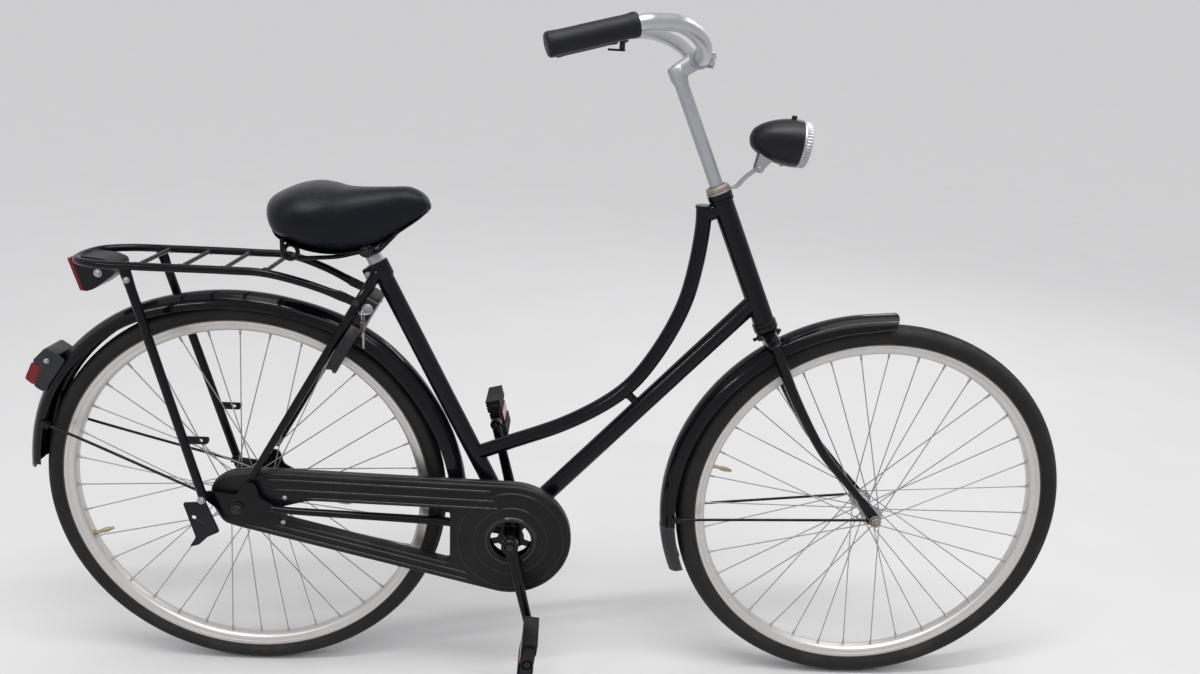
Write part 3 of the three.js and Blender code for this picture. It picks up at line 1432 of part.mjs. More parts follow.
// Ring lock on the front of the seat stays
const stayRun = seatStayFoot(1).setY(0).sub(seatStayHead(1).setY(0)).normalize();
const lockNormal = point(-stayRun.z, 0, stayRun.x);
const lockForward = seatStayRadius + lockCaseThickness / 2 + touchGap;
const lockCentre = seatStayHead(1).setY(0).addScaledVector(stayRun, lockBelowLug + lockRingDown)
  .addScaledVector(lockNormal, lockForward);
const lockInner = lockRingRadius - lockCaseHalfWidth;
const lockOuter = lockRingRadius + lockCaseHalfWidth;

/** A point of the lock's plane: down the stays, to the left, and forward of the plane. */
function onLock(down, left, forward = 0) {
  return lockCentre.clone().addScaledVector(stayRun, down).addScaledVector(yAxis, left)
    .addScaledVector(lockNormal, forward);
}

/** A solid arc about the lock's centre with a section of [radius, forward] pairs. */
function lockArc(start, end, section, steps) {
  const rings = [];
  for (let i = 0; i <= steps; i += 1) {
    const angle = THREE.MathUtils.lerp(start, end, i / steps);
    rings.push(section.map(([radius, forward]) => onLock(radius * Math.cos(angle), radius * Math.sin(angle),
      forward)));
  }
  return loft(rings);
}

function flatSection(inner, outer, half) {
  return [[inner, -half], [outer, -half], [outer, half], [inner, half]];
}

function roundSection(radius) {
  return Array.from({ length: 8 }, (_, k) => {
    const turn = (2 * Math.PI * k) / 8;
    return [lockRingRadius + radius * Math.cos(turn), radius * Math.sin(turn)];
  });
}

const lockEnd = lockOpening + lockShackleSpan;
const knobHalfDepth = lockBarRadius * lockKnobShare;
const keySeat = onLock(-lockOuter - keyAboveRing, -lockHouseHalfWidth);
const keyHang = keySeat.clone().add(point(0, -keyShankLength - keyHeadRadius / 2, 0));

function lockCase() {
  const half = lockCaseThickness / 2;
  const ring = lockArc(lockOpening, 2 * Math.PI - lockOpening, flatSection(lockInner, lockOuter, half), 18);
  const base = lockInner + rimWall;
  const house = loft([-half, half].map((forward) => [
    [-1, base], [1, base], [lockHouseShare, base + lockHouseLength], [-lockHouseShare,
      base + lockHouseLength],
  ].map(([left, up]) => onLock(-up, left * lockHouseHalfWidth, forward))));
  const clear = lockBarRadius + runningGap;
  const spare = clear / lockRingRadius;
  const channel = lockArc(lockOpening - spare, lockEnd + spare, roundSection(clear), 9);
  const slot = lockArc(lockOpening - spare, lockEnd + spare / 2,
    flatSection(lockRingRadius, lockOuter + cutOverrun, knobHalfDepth + touchGap), 9);
  const socket = lockArc(-lockOpening + spare, -lockOpening - 2 * spare, roundSection(clear), 3);
  const keyway = crossRod(keySeat, keySeat.y - cutOverrun,
    keySeat.y + lockHouseHalfWidth * (1 - lockHouseShare) + keyPlugLength
    + touchGap, boreFor(keyPlugRadius));
  return cut(join(ring, house), channel, slot, socket, keyway, seatTubeEnvelope(),
    seatStayTube(-1, touchGap), seatStayTube(1, touchGap));
}

/** The sliding shackle and its thumb knob; closed, it crosses the wheel between two spokes. */
function lockShackle() {
  const bar = lockArc(lockOpening, lockEnd, roundSection(lockBarRadius), 9);
  const width = (2 * lockBarRadius) / lockRingRadius;
  const knob = lockArc(lockEnd - width, lockEnd, flatSection(lockRingRadius, lockOuter + lockKnobReach,
    knobHalfDepth), 1);
  return join(bar, knob);
}

// The cylinder faces the chain side; its key is in it and a spare hangs from the key's hole
function lockKey() {
  const inner = keySeat.y + lockHouseHalfWidth * (1 - lockHouseShare) + keyPlugLength;
  const plug = crossRod(keySeat, keySeat.y, inner, keyPlugRadius, 12);
  const shank = block(atY(keySeat, keySeat.y - keyShankLength / 2), keyPlugRadius,
    keyShankLength + keySheet, keySheet);
  const headAt = atY(keySeat, keySeat.y - keyShankLength);
  const head = rod(headAt.clone().add(point(0, 0, -keySheet / 2)), headAt.clone().add(point(0, 0,
    keySheet / 2)),
    keyHeadRadius, 14);
  const hole = rod(keyHang.clone().add(point(0, 0, -keySheet)), keyHang.clone().add(point(0, 0, keySheet)),
    keyHole, 8);
  return cut(join(plug, shank, head), hole);
}

function spareKey() {
  const steps = 16;
  const positions = [];
  const faces = [];
  const centre = keyHang.clone().add(point(0, spareKeyWire + touchGap - spareKeyRingRadius, 0));
  for (let i = 0; i < steps; i += 1) {
    const angle = (2 * Math.PI * i) / steps;
    const out = point(0, Math.cos(angle), Math.sin(angle));
    for (let k = 0; k < 4; k += 1) {
      const turn = (Math.PI * k) / 2;
      const p = centre.clone().addScaledVector(out, spareKeyRingRadius + spareKeyWire * Math.cos(turn))
        .add(point(spareKeyWire * Math.sin(turn), 0, 0));
      positions.push(p.x, p.y, p.z);
      const next = ((i + 1) % steps) * 4;
      const after = (k + 1) % 4;
      faces.push(i * 4 + k, i * 4 + after, next + after, i * 4 + k, next + after, next + k);
    }
  }
  const top = centre.z - spareKeyRingRadius;
  const head = block(point(centre.x, centre.y, top - keyHeadRadius + spareKeyWire), keySheet,
    2 * keyHeadRadius,
    2 * keyHeadRadius);
  const blade = block(point(centre.x, centre.y, top - 2 * keyHeadRadius - keyShankLength / 2), keySheet,
    keyPlugRadius,
    keyShankLength + 2 * keySheet);
  return join(meshOf(positions, faces), head, blade);
}

// Assembly
add("head_tube", headTube(), finish.frameBlack);
add("top_tube", topTube(), finish.frameBlack);
add("down_tube", downTube(), finish.frameBlack);
add("seat_tube", seatTube(), finish.frameBlack);
for (const [name, side] of [["left", 1], ["right", -1]]) {
  add(`chain_stay_${name}`, chainStay(side), finish.frameBlack);
  add(`seat_stay_${name}`, seatStay(side), finish.frameBlack);
  add(`rear_guard_stay_${name}`, rearGuardStay(side), finish.frameBlack);
  add(`front_guard_stay_${name}`, frontGuardStay(side), finish.frameBlack);
  add(`rack_leg_${name}`, rackLeg(side), finish.frameBlack);
  add(`crank_${name}`, crank(side), finish.frameBlack);
  add(`pedal_${name}`, pedal(side), finish.rubber);
  add(`grip_${name}`, grip(side), finish.rubber);
}
add("rear_axle", rearAxleWithArm(), finish.steel);
add("rear_mudguard", rearMudguard(), finish.frameBlack);
add("rack_platform", rackPlatform(), finish.frameBlack);
add("rack_reflector_housing", reflectorHousing(), finish.plastic);
add("rack_reflector_lens", reflectorLens(), finish.redLens);
add("tail_lamp_housing", tailLampHousing(), finish.greyPlastic);
add("tail_lamp_lens", tailLampLens(), finish.redLens);
add("lock_case", lockCase(), finish.plastic);
add("lock_shackle", lockShackle(), finish.steel);
add("lock_key", lockKey(), finish.steel);
add("spare_key", spareKey(), finish.steel);
add("chain_case_outer", caseHalf(-caseOuterFace, -chainLine - touchGap / 2,
  [[bracket, caseCrankHole], [rearAxle, caseAxleHole]]), finish.caseBlack);
add("chain_case_inner", caseHalf(-caseInnerFace, -chainLine + touchGap / 2,
  [[bracket, caseShellHole], [rearAxle, caseShellHole]]), finish.caseBlack);
add("chain", chain(), finish.chainSteel);
add("strap_hook", strapHook(), finish.plastic);
add("fork", fork(), finish.frameBlack);
add("front_axle", axle(frontAxle, frontDropoutOffset), finish.steel);
add("front_mudguard", frontMudguard(), finish.frameBlack);
add("mudflap", mudflap(), finish.greyPlastic);
add("lamp_bracket", lampBracket(), finish.steel);
add("headset_locknut", headsetLocknut(), finish.rustySteel);
add("front_tyre", tyre(frontAxle, frontTyreRadius, frontTyreWidth), finish.tyre);
add("front_rim", rim(frontAxle), finish.alloy);
add("front_hub", hub(frontAxle, frontFlangeRadius, frontFlangeOffset, frontHubRadius), finish.steel);
add("rear_tyre", tyre(rearAxle, rearTyreRadius, rearTyreWidth), finish.tyre);
add("rear_rim", rim(rearAxle), finish.alloy);
add("rear_hub", hub(rearAxle, rearFlangeRadius, rearFlangeOffset, rearHubRadius), finish.steel);
add("rear_sprocket", rearSprocket(), finish.chainSteel);
add("chainring", chainring(), finish.chainSteel);
add("crank_spindle", crankSpindle(), finish.steel);
add("stem", stem(), finish.alloy);
add("handlebar", handlebar(), finish.chrome);
add("bell", bell(), finish.plastic);
add("bell_lever", bellLever(), finish.plastic);
add("lamp_housing", lampHousing(), finish.plastic);
add("lamp_lens", lampLens(), finish.clearLens);
add("lamp_button", lampButton(), finish.plastic);
add("seat_post", seatPost(), finish.alloy);
add("saddle_cushion", saddleCushion(), finish.vinyl);
add("saddle_frame", saddleFrame(), finish.steel);
console.log("least gap of a saddle rail to itself, mm:",
  leastSelfGap(saddleRailPoints(1), saddleRailRadius).toFixed(2));

// The bicycle is centred fore and aft over its own origin
const extent = new THREE.Box3().setFromObject(bicycle);
bicycle.position.x = -(extent.min.x + extent.max.x) / 2;
bicycle.updateMatrixWorld(true);

export default bicycle;
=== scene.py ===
"""A black city bicycle with a swan-neck frame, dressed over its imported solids.

All sizes are in millimetres in the bicycle's own axes: +X forwards, +Y to the rider's left, +Z up,
measured from the floor below the middle of the wheelbase. Shapes turn them into metres when they
become Blender objects.
"""

import logging
from dataclasses import dataclass
from enum import Enum
from math import asin, atan2, copysign, cos, exp, hypot, pi, radians, sin, sqrt
from typing import Callable, Iterable, Sequence

import bmesh
import bpy
import numpy as np
from mathutils import Matrix, Vector
from mathutils.geometry import tessellate_polygon


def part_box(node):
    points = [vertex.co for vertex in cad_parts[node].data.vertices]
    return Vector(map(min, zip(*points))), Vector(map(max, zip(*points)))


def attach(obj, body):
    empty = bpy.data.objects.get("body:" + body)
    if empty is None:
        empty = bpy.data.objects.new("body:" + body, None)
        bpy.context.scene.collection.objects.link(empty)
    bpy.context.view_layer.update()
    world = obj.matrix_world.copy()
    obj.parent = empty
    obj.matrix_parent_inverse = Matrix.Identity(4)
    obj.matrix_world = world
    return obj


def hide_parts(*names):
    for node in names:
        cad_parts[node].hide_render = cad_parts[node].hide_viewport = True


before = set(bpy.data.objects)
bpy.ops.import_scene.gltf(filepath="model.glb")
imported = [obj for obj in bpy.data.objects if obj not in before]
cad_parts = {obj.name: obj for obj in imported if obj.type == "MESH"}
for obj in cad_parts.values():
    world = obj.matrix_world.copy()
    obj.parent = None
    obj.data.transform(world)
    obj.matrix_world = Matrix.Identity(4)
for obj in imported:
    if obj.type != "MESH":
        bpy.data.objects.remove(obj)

MM = 0.001
CENTRE_SHIFT = 9.938  # the frame's origin is the middle of the whole bicycle, this far behind the wheels' middle
TAU = 2.0 * pi
LOG = logging.getLogger("bicycle")

Pair = tuple[float, float]
Knot = Sequence[float]
Triple = tuple[float, float, float]
Vec = np.ndarray
Node = bpy.types.Node
Socket = bpy.types.NodeSocket


def vec(x: float, y: float, z: float) -> Vec:
    """A point or direction as an array."""
    return np.array([x, y, z], dtype=float)


def unit(v: Vec) -> Vec:
    """The same direction with length one."""
    return v / np.linalg.norm(v)


X_AXIS = vec(1, 0, 0)
Y_AXIS = vec(0, 1, 0)
Z_AXIS = vec(0, 0, 1)


def blend_of(a: float, b: float, share: float) -> float:
    """The value a share of the way from a to b."""
    return a + (b - a) * share


def turn(steps: int) -> Vec:
    """Angles evenly spaced over a full turn."""
    return np.linspace(0, TAU, steps, endpoint=False)


# Sizes that more than one sub-assembly needs


@dataclass(frozen=True)
class Layout:
    """The main sizes and axes of the bicycle, which every sub-assembly reads."""

    wheelbase: float = 1106.0
    front_radius: float = 349.0
    rear_radius: float = 344.0
    head_lean: float = radians(24.3)
    seat_lean: float = radians(26.1)
    rake: float = 65.0
    bracket_height: float = 290.0
    bracket_back: float = 90.0
    head_bottom: float = 405.0
    head_length: float = 225.0
    cup_height: float = 12.0
    seat_tube_length: float = 531.0
    dropout: float = 66.0
    fork_end: float = 50.0
    chain_line: float = 45.0
    crank_length: float = 170.0
    crank_angle: float = radians(13.2)
    stay_head: float = 519.0
    stay_rise: Triple = (26.0, 0.0, 56.0)
    lamp_up: float = 656.0
    lamp_forward: float = 72.6

    @property
    def cup_top(self) -> float:
        """Height of the upper cup's top on the steering axis."""
        return self.head_bottom + self.head_length + self.cup_height

    @property
    def lamp_pivot(self) -> Vec:
        """Centre of the bolt that the headlamp tilts on."""
        return self.on_steering(self.lamp_up, self.lamp_forward)

    @property
    def stay_foot(self) -> Vec:
        """Where both seat stays end above the rear axle, in the middle plane."""
        return self.rear_axle + vec(*self.stay_rise)

    @property
    def front_axle(self) -> Vec:
        """Centre of the front axle."""
        return vec(self.wheelbase / 2, 0, self.front_radius)

    @property
    def rear_axle(self) -> Vec:
        """Centre of the rear axle."""
        return vec(-self.wheelbase / 2, 0, self.rear_radius)

    @property
    def bracket(self) -> Vec:
        """Centre of the bottom bracket."""
        return vec(-self.bracket_back, 0, self.bracket_height)

    @property
    def steer_up(self) -> Vec:
        """Direction up the steering axis."""
        return vec(-sin(self.head_lean), 0, cos(self.head_lean))

    @property
    def steer_forward(self) -> Vec:
        """Direction forwards of the steering axis."""
        return vec(cos(self.head_lean), 0, sin(self.head_lean))

    @property
    def seat_up(self) -> Vec:
        """Direction up the seat tube."""
        return vec(-sin(self.seat_lean), 0, cos(self.seat_lean))

    def on_steering(self, up: float, forward: float = 0.0, left: float = 0.0) -> Vec:
        """A point by its place on the steering axis."""
        foot = self.front_axle - self.rake * self.steer_forward
        return foot + up * self.steer_up + forward * self.steer_forward + vec(0, left, 0)

    def on_seat_tube(self, up: float, left: float = 0.0) -> Vec:
        """A point up the seat tube from the bottom bracket."""
        return self.bracket + up * self.seat_up + vec(0, left, 0)


LAYOUT = Layout()


class Side(Enum):
    """The two sides of the bicycle and their sign on the Y axis."""

    LEFT = 1
    RIGHT = -1

    @property
    def word(self) -> str:
        """The side's name in node names."""
        return self.name.lower()


# Shapes


@dataclass
class Shape:
    """Corners and faces of one surface, in millimetres."""

    points: Vec
    faces: list[tuple[int, ...]]
    uvs: Vec | None = None

    def plus(self, *others: "Shape") -> "Shape":
        """This shape and others as one."""
        return gather([self, *others])


def gather(shapes: Iterable[Shape]) -> Shape:
    """Puts shapes into one.

    Args:
        shapes: the shapes.

    Returns:
        One shape with all their corners and faces.
    """
    points: list[Vec] = []
    faces: list[tuple[int, ...]] = []
    uvs: list[Vec] = []
    start = 0
    for shape in shapes:
        points.append(shape.points)
        faces.extend(tuple(start + i for i in face) for face in shape.faces)
        uvs.append(shape.uvs if shape.uvs is not None else np.zeros((len(shape.points), 2)))
        start += len(shape.points)
    return Shape(np.vstack(points), faces, np.vstack(uvs))


def smooth_path(knots: Sequence[Knot], steps: int) -> Vec:
    """A smooth curve through knots, evenly stepped along its length.

    Args:
        knots: points that the curve passes through.
        steps: number of stretches to return.

    Returns:
        steps + 1 points.
    """
    p = [np.asarray(k, float) for k in knots]
    p = [2 * p[0] - p[1], *p, 2 * p[-1] - p[-2]]
    fine: list[Vec] = []
    for i in range(len(p) - 3):
        p0, p1, p2, p3 = p[i:i + 4]
        d0, d1, d2 = (max(1e-6, sqrt(np.linalg.norm(b - a))) for a, b in ((p0, p1), (p1, p2), (p2, p3)))
        t1 = ((p1 - p0) / d0 - (p2 - p0) / (d0 + d1) + (p2 - p1) / d1) * d1
        t2 = ((p2 - p1) / d1 - (p3 - p1) / (d1 + d2) + (p3 - p2) / d2) * d1
        for s in np.linspace(0, 1, 24, endpoint=False):
            fine.append((2 * s**3 - 3 * s**2 + 1) * p1 + (s**3 - 2 * s**2 + s) * t1
                        + (3 * s**2 - 2 * s**3) * p2 + (s**3 - s**2) * t2)
    fine.append(p[-2])
    line = np.array(fine)
    lengths = np.concatenate([[0], np.cumsum(np.linalg.norm(np.diff(line, axis=0), axis=1))])
    wanted = np.linspace(0, lengths[-1], steps + 1)
    return np.stack([np.interp(wanted, lengths, line[:, k]) for k in range(3)], axis=1)


def loft(rings: Sequence[Vec], caps: bool = True, loop: bool = False) -> Shape:
    """Joins rings of points into a skin.

    Args:
        rings: rings with the same number of points.
        caps: close the first and last ring with a face.
        loop: join the last ring to the first.

    Returns:
        The skin.
    """
    count = len(rings[0])
    faces: list[tuple[int, ...]] = []
    last = len(rings) if loop else len(rings) - 1
    for r in range(last):
        a, b = r * count, ((r + 1) % len(rings)) * count
        faces.extend((a + i, a + (i + 1) % count, b + (i + 1) % count, b + i) for i in range(count))
    if caps and not loop:
        faces.append(tuple(reversed(range(count))))
        faces.append(tuple(range((len(rings) - 1) * count, len(rings) * count)))
    return Shape(np.vstack(rings), faces)


def tube(path: Vec, radius: float | Sequence[float], sides: int = 20, reference: Vec = Y_AXIS,
         across: float | Sequence[float] = 1.0, round_ends: bool = False) -> Shape:
    """A round or oval bar along a path.

    Args:
        path: points of the centre line.
        radius: one radius, or one for each point.
        sides: corners of its section.
        reference: a direction that the path never runs along, to which the section keeps its face.
        across: width towards the reference as a share of the other width, for the whole bar or each point.
        round_ends: shrink both ends to a small dome.

    Returns:
        The closed bar.
    """
    path = np.asarray(path, float)
    radii = np.broadcast_to(np.asarray(radius, float), (len(path),)).copy()
    shares = np.broadcast_to(np.asarray(across, float), (len(path),)).copy()
    if round_ends:
        first, last = unit(path[1] - path[0]), unit(path[-1] - path[-2])
        head = [(path[0] + first * radii[0] * (1 - cos(a)) * 0.6, radii[0] * sin(a)) for a in (0.25, 0.8, 1.2)]
        tail = [(path[-1] - last * radii[-1] * (1 - cos(a)) * 0.6, radii[-1] * sin(a)) for a in (1.2, 0.8, 0.25)]
        inner = slice(1, -1)
        path = np.vstack([[h[0] for h in head], path[inner], [t[0] for t in tail]])
        radii = np.concatenate([[h[1] for h in head], radii[inner], [t[1] for t in tail]])
        shares = np.concatenate([[shares[0]] * 3, shares[inner], [shares[-1]] * 3])
    tangents = np.gradient(path, axis=0)
    angles = turn(sides)
    rings = []
    for centre, tangent, r, share in zip(path, tangents, radii, shares):
        t = unit(tangent)
        wide = unit(reference - np.dot(reference, t) * t)
        other = np.cross(t, wide)
        rings.append(centre + r * (np.outer(np.cos(angles) * share, wide) + np.outer(np.sin(angles), other)))
    return loft(rings)


def bar(start: Vec, end: Vec, radius: float, end_radius: float | None = None, sides: int = 20) -> Shape:
    """A straight round bar.

    Args:
        start: centre of one end.
        end: centre of the other end.
        radius: its radius at the start.
        end_radius: its radius at the end, if that differs.
        sides: corners of its section.

    Returns:
        The closed bar.
    """
    last = radius if end_radius is None else end_radius
    length = float(np.linalg.norm(end - start))
    return lathe([(0, 0), (radius, 0), (last, length), (0, length)], start, unit(end - start), sides)


def basis(axis: Vec) -> tuple[Vec, Vec]:
    """Two directions square to an axis and to each other.

    Args:
        axis: a direction of length one.

    Returns:
        Both directions.
    """
    side = Y_AXIS if abs(axis[1]) < 0.9 else X_AXIS
    u = unit(np.cross(side, axis))
    return u, np.cross(axis, u)


def lathe(profile: Sequence[Pair], centre: Vec, axis: Vec, segments: int = 32, ring: bool = False,
          start: float = 0.0, textured: bool = False) -> Shape:
    """Turns a profile about an axis.

    Args:
        profile: pairs of radius and distance along the axis.
        centre: a point on the axis.
        axis: its direction.
        segments: steps round the axis.
        ring: the profile is a closed loop, as for a tyre.
        start: angle of the first step.
        textured: also give each corner a place round and across.

    Returns:
        The turned skin.
    """
    u, v = basis(unit(axis))
    angles = start + turn(segments)
    if textured:
        angles = start + np.linspace(0, TAU, segments + 1)
    out = np.outer(np.cos(angles), u) + np.outer(np.sin(angles), v)
    rows = [centre + unit(axis) * along + out * max(radius, 1e-4) for radius, along in profile]
    count = len(angles)
    steps = segments if not textured else count - 1
    faces: list[tuple[int, ...]] = []
    pairs = [(i, i + 1) for i in range(len(profile) - 1)] + ([(len(profile) - 1, 0)] if ring else [])
    for a, b in pairs:
        for i in range(steps):
            j = (i + 1) % count
            faces.append((a * count + i, a * count + j, b * count + j, b * count + i))
    uvs = None
    if textured:
        lengths = [0.0]
        for (r0, a0), (r1, a1) in zip(profile, profile[1:]):
            lengths.append(lengths[-1] + hypot(r1 - r0, a1 - a0))
        uvs = np.array([(i / steps, lengths[row] / lengths[-1]) for row in range(len(profile)) for i in range(count)])
    return Shape(np.vstack(rows), faces, uvs)


def prism(outline: Sequence[Pair], low: float, high: float, holes: Sequence[Sequence[Pair]] = (),
          origin: Vec | None = None, u: Vec = X_AXIS, v: Vec = Z_AXIS,
          w: Vec = Y_AXIS) -> Shape:
    """A flat plate with an outline and holes.

    Args:
        outline: corners as distances along u and v.
        low: its first face, as a distance along w.
        high: its second face.
        holes: outlines of holes.
        origin: the point that all distances start from.
        u: first direction of the outline.
        v: second direction of the outline.
        w: direction of its thickness.

    Returns:
        The closed plate.
    """
    base = vec(0, 0, 0) if origin is None else origin
    loops = [list(outline), *[list(h) for h in holes]]
    flat = [p for loop in loops for p in loop]
    points = [base + u * p[0] + v * p[1] + w * level for level in (low, high) for p in flat]
    count = len(flat)
    triangles = tessellate_polygon([[Vector((p[0], p[1], 0)) for p in loop] for loop in loops])
    faces: list[tuple[int, ...]] = [tuple(t) for t in triangles]
    faces += [tuple(i + count for i in reversed(t)) for t in triangles]
    start = 0
    for loop in loops:
        n = len(loop)
        for i in range(n):
            a, b = start + i, start + (i + 1) % n
            faces.append((a, b, b + count, a + count))
        start += n
    return Shape(np.array(points), faces)


def circle(cx: float, cz: float, radius: float, steps: int = 32, start: float = 0.0) -> list[Pair]:
    """A circle's corners in a plane."""
    return [(cx + radius * cos(start + TAU * i / steps), cz + radius * sin(start + TAU * i / steps))
            for i in range(steps)]


def arc(cx: float, cz: float, radius: float, start: float, end: float, steps: int) -> list[Pair]:
    """Corners along an arc in a plane."""
    return [(cx + radius * cos(blend_of(start, end, i / steps)),
             cz + radius * sin(blend_of(start, end, i / steps))) for i in range(steps + 1)]


def rounded(corners: Sequence[Pair], radius: float, steps: int = 4) -> list[Pair]:
    """Rounds the corners of an outline.

    Args:
        corners: the outline.
        radius: the largest radius to use.
        steps: points that replace a corner, less one.

    Returns:
        The rounded outline.
    """
    result: list[Pair] = []
    count = len(corners)
    for i, corner in enumerate(corners):
        here = np.array(corner, float)
        before, after = np.array(corners[i - 1], float), np.array(corners[(i + 1) % count], float)
        reach = min(radius, np.linalg.norm(before - here) * 0.45, np.linalg.norm(after - here) * 0.45)
        a = here + (before - here) / max(1e-6, np.linalg.norm(before - here)) * reach
        b = here + (after - here) / max(1e-6, np.linalg.norm(after - here)) * reach
        for k in range(steps + 1):
            s = k / steps
            q = (1 - s) ** 2 * a + 2 * s * (1 - s) * here + s**2 * b
            result.append((float(q[0]), float(q[1])))
    return result


def inset(outline: Sequence[Pair], distance: float) -> list[Pair]:
    """Moves every side of an outline inwards.

    Args:
        outline: the corners.
        distance: how far; a negative one moves them out.

    Returns:
        The new corners.
    """
    points = np.array(outline, float)
    following = np.roll(points, -1, axis=0)
    area = float(np.sum(points[:, 0] * following[:, 1] - following[:, 0] * points[:, 1]))
    sign = 1.0 if area > 0 else -1.0
    result: list[Pair] = []
    for i in range(len(points)):
        a, b, c = points[i - 1], points[i], points[(i + 1) % len(points)]
        first = (b - a) / max(1e-9, np.linalg.norm(b - a))
        second = (c - b) / max(1e-9, np.linalg.norm(c - b))
        n1, n2 = np.array([-first[1], first[0]]) * sign, np.array([-second[1], second[0]]) * sign
        mitre = (n1 + n2) * distance / max(0.3, 1 + float(np.dot(n1, n2)))
        result.append((float(b[0] + mitre[0]), float(b[1] + mitre[1])))
    return result


def box_shape(centre: Vec, size: Knot, u: Vec = X_AXIS, v: Vec = Y_AXIS,
              w: Vec = Z_AXIS) -> Shape:
    """A block by its centre, its three sizes and its three directions."""
    a, b, c = (s / 2 for s in size)
    return prism([(-a, -b), (a, -b), (a, b), (-a, b)], -c, c, origin=centre, u=u, v=v, w=w)


def hex_nut(centre: Vec, axis: Vec, radius: float, thickness: float, bore: float = 0.0) -> Shape:
    """A six-sided nut with eased corners.

    Args:
        centre: centre of its seat.
        axis: direction away from the seat.
        radius: half its width across the corners.
        thickness: its height.
        bore: radius of the hole in its top, or 0 for a bolt head.

    Returns:
        The nut.
    """
    ease = thickness * 0.16
    profile = [(radius * 0.99, 0), (radius, ease * 0.4), (radius, thickness - ease), (radius * 0.86, thickness)]
    profile += [(bore, thickness), (bore, 0)] if bore > 0 else [(0, thickness)]
    return lathe(profile, centre, axis, 6)


def washer(centre: Vec, axis: Vec, radius: float, thickness: float = 1.4) -> Shape:
    """A round washer lying on its seat."""
    return lathe([(radius, 0), (radius, thickness * 0.8), (radius - 0.4, thickness), (0, thickness)], centre, axis, 28)


def screw(centre: Vec, axis: Vec, radius: float, height: float) -> Shape:
    """A domed screw head with a cross cut as a shallow step.

    Args:
        centre: centre of its seat.
        axis: direction away from the seat.
        radius: its radius.
        height: its height.

    Returns:
        The head.
    """
    profile = [(radius, 0), (radius, height * 0.35), (radius * 0.86, height * 0.75), (radius * 0.5, height),
               (radius * 0.3, height), (radius * 0.22, height * 0.6), (0, height * 0.55)]
    return lathe(profile, centre, axis, 20)


def bulge(share: float, power: float) -> float:
    """A share of a section's half width, pushed out to a fuller curve by a power below one."""
    return copysign(abs(share) ** power, share)


def oval(centre: Vec, wide: Vec, tall: Vec, power: float, corners: int) -> Vec:
    """A full oval section, with its half axes as vectors."""
    return np.array([centre + wide * bulge(cos(a), power) + tall * bulge(sin(a), power) for a in turn(corners)])


def toward(angle: float) -> Vec:
    """A direction in the bicycle's own plane, by its angle above forwards."""
    return vec(cos(angle), 0, sin(angle))


def there_and_back(half: Sequence[Pair]) -> list[Pair]:
    """A profile and its mirror image behind it."""
    return [*half, *((a, -b) for a, b in reversed(half))]


def placed(shares: Iterable[Pair], at: Vec, size: float) -> list[Pair]:
    """An outline given in shares of a size, forwards and up from a point."""
    return [(at[0] + forward * size, at[2] + up * size) for forward, up in shares]


def plate(outline: Sequence[Pair], side: int, near: float, far: float, holes: Sequence[Sequence[Pair]] = (),
          origin: Vec | None = None, u: Vec = X_AXIS, v: Vec = Z_AXIS) -> Shape:
    """A plate between two distances from the middle, on the left (1) or the right (-1)."""
    low, high = sorted((side * near, side * far))
    return prism(outline, low, high, holes, origin, u, v)


def nut_on(at: Vec, way: Vec, washer_radius: float, radius: float, height: float, bore: float = 0.0,
           lift: float = 1.2) -> list[Shape]:
    """A washer on a surface and a nut or bolt head on it."""
    return [washer(at, way, washer_radius), hex_nut(at + way * lift, way, radius, height, bore)]


# Shader node groups


class NodeKit:
    """Adds nodes to a tree, one short call each."""

    def __init__(self, tree: bpy.types.NodeTree) -> None:
        """Keeps a material's, world's or group's tree, and empties it."""
        self.tree = tree
        tree.nodes.clear()

    def node(self, kind: str, feeds: dict[str | int, object] | None = None, **values: object) -> Node:
        """Adds one node.

        Args:
            kind: the node's type name.
            feeds: values or sockets for its inputs.
            values: its properties.

        Returns:
            The node.
        """
        made = self.tree.nodes.new(kind)
        for key, value in values.items():
            setattr(made, key, value)
        for key, value in (feeds or {}).items():
            self.feed(made.inputs[key], value)
        return made

    def link(self, start: Socket, end: Socket) -> None:
        """Joins two sockets."""
        self.tree.links.new(start, end)

    def feed(self, socket: Socket, value: object) -> None:
        """Joins a socket to another, or sets its value.

        Args:
            socket: the input.
            value: a socket or a value.
        """
        if isinstance(value, Socket):
            self.link(value, socket)
        else:
            socket.default_value = value

    def math(self, operation: str, a: object, b: object = 0.0, c: object = 0.0,
             clamp: bool = False) -> Socket:
        """A Math node's output for two or three values or sockets."""
        return self.node("ShaderNodeMath", {0: a, 1: b, 2: c}, operation=operation, use_clamp=clamp).outputs[0]

    def ramp(self, value: object, low: float, high: float) -> Socket:
        """Maps a value smoothly from low..high to 0..1."""
        feeds = {"Value": value, "From Min": low, "From Max": high}
        return self.node("ShaderNodeMapRange", feeds, interpolation_type="SMOOTHSTEP").outputs[0]

    def mix(self, share: object, a: object, b: object) -> Socket:
        """Mixes two colours."""
        return self.node("ShaderNodeMix", {0: share, 6: a, 7: b}, data_type="RGBA").outputs[2]

    def place(self, scale: Knot = (1, 1, 1)) -> Socket:
        """Object coordinates, stretched."""
        place = self.node("ShaderNodeTexCoord").outputs["Object"]
        return self.node("ShaderNodeMapping", {"Scale": tuple(scale), "Vector": place}).outputs[0]

    def noise(self, scale: object, detail: float = 4.0, rough: float = 0.5,
              at: Socket | None = None) -> Socket:
        """Noise over the surface.

        Args:
            scale: its scale.
            detail: octaves.
            rough: how strong the fine octaves are.
            at: coordinates, or the object's own.

        Returns:
            The noise value.
        """
        made = self.node("ShaderNodeTexNoise", {"Scale": scale, "Detail": detail, "Roughness": rough})
        self.link(at if at is not None else self.place(), made.inputs["Vector"])
        return made.outputs["Fac"]


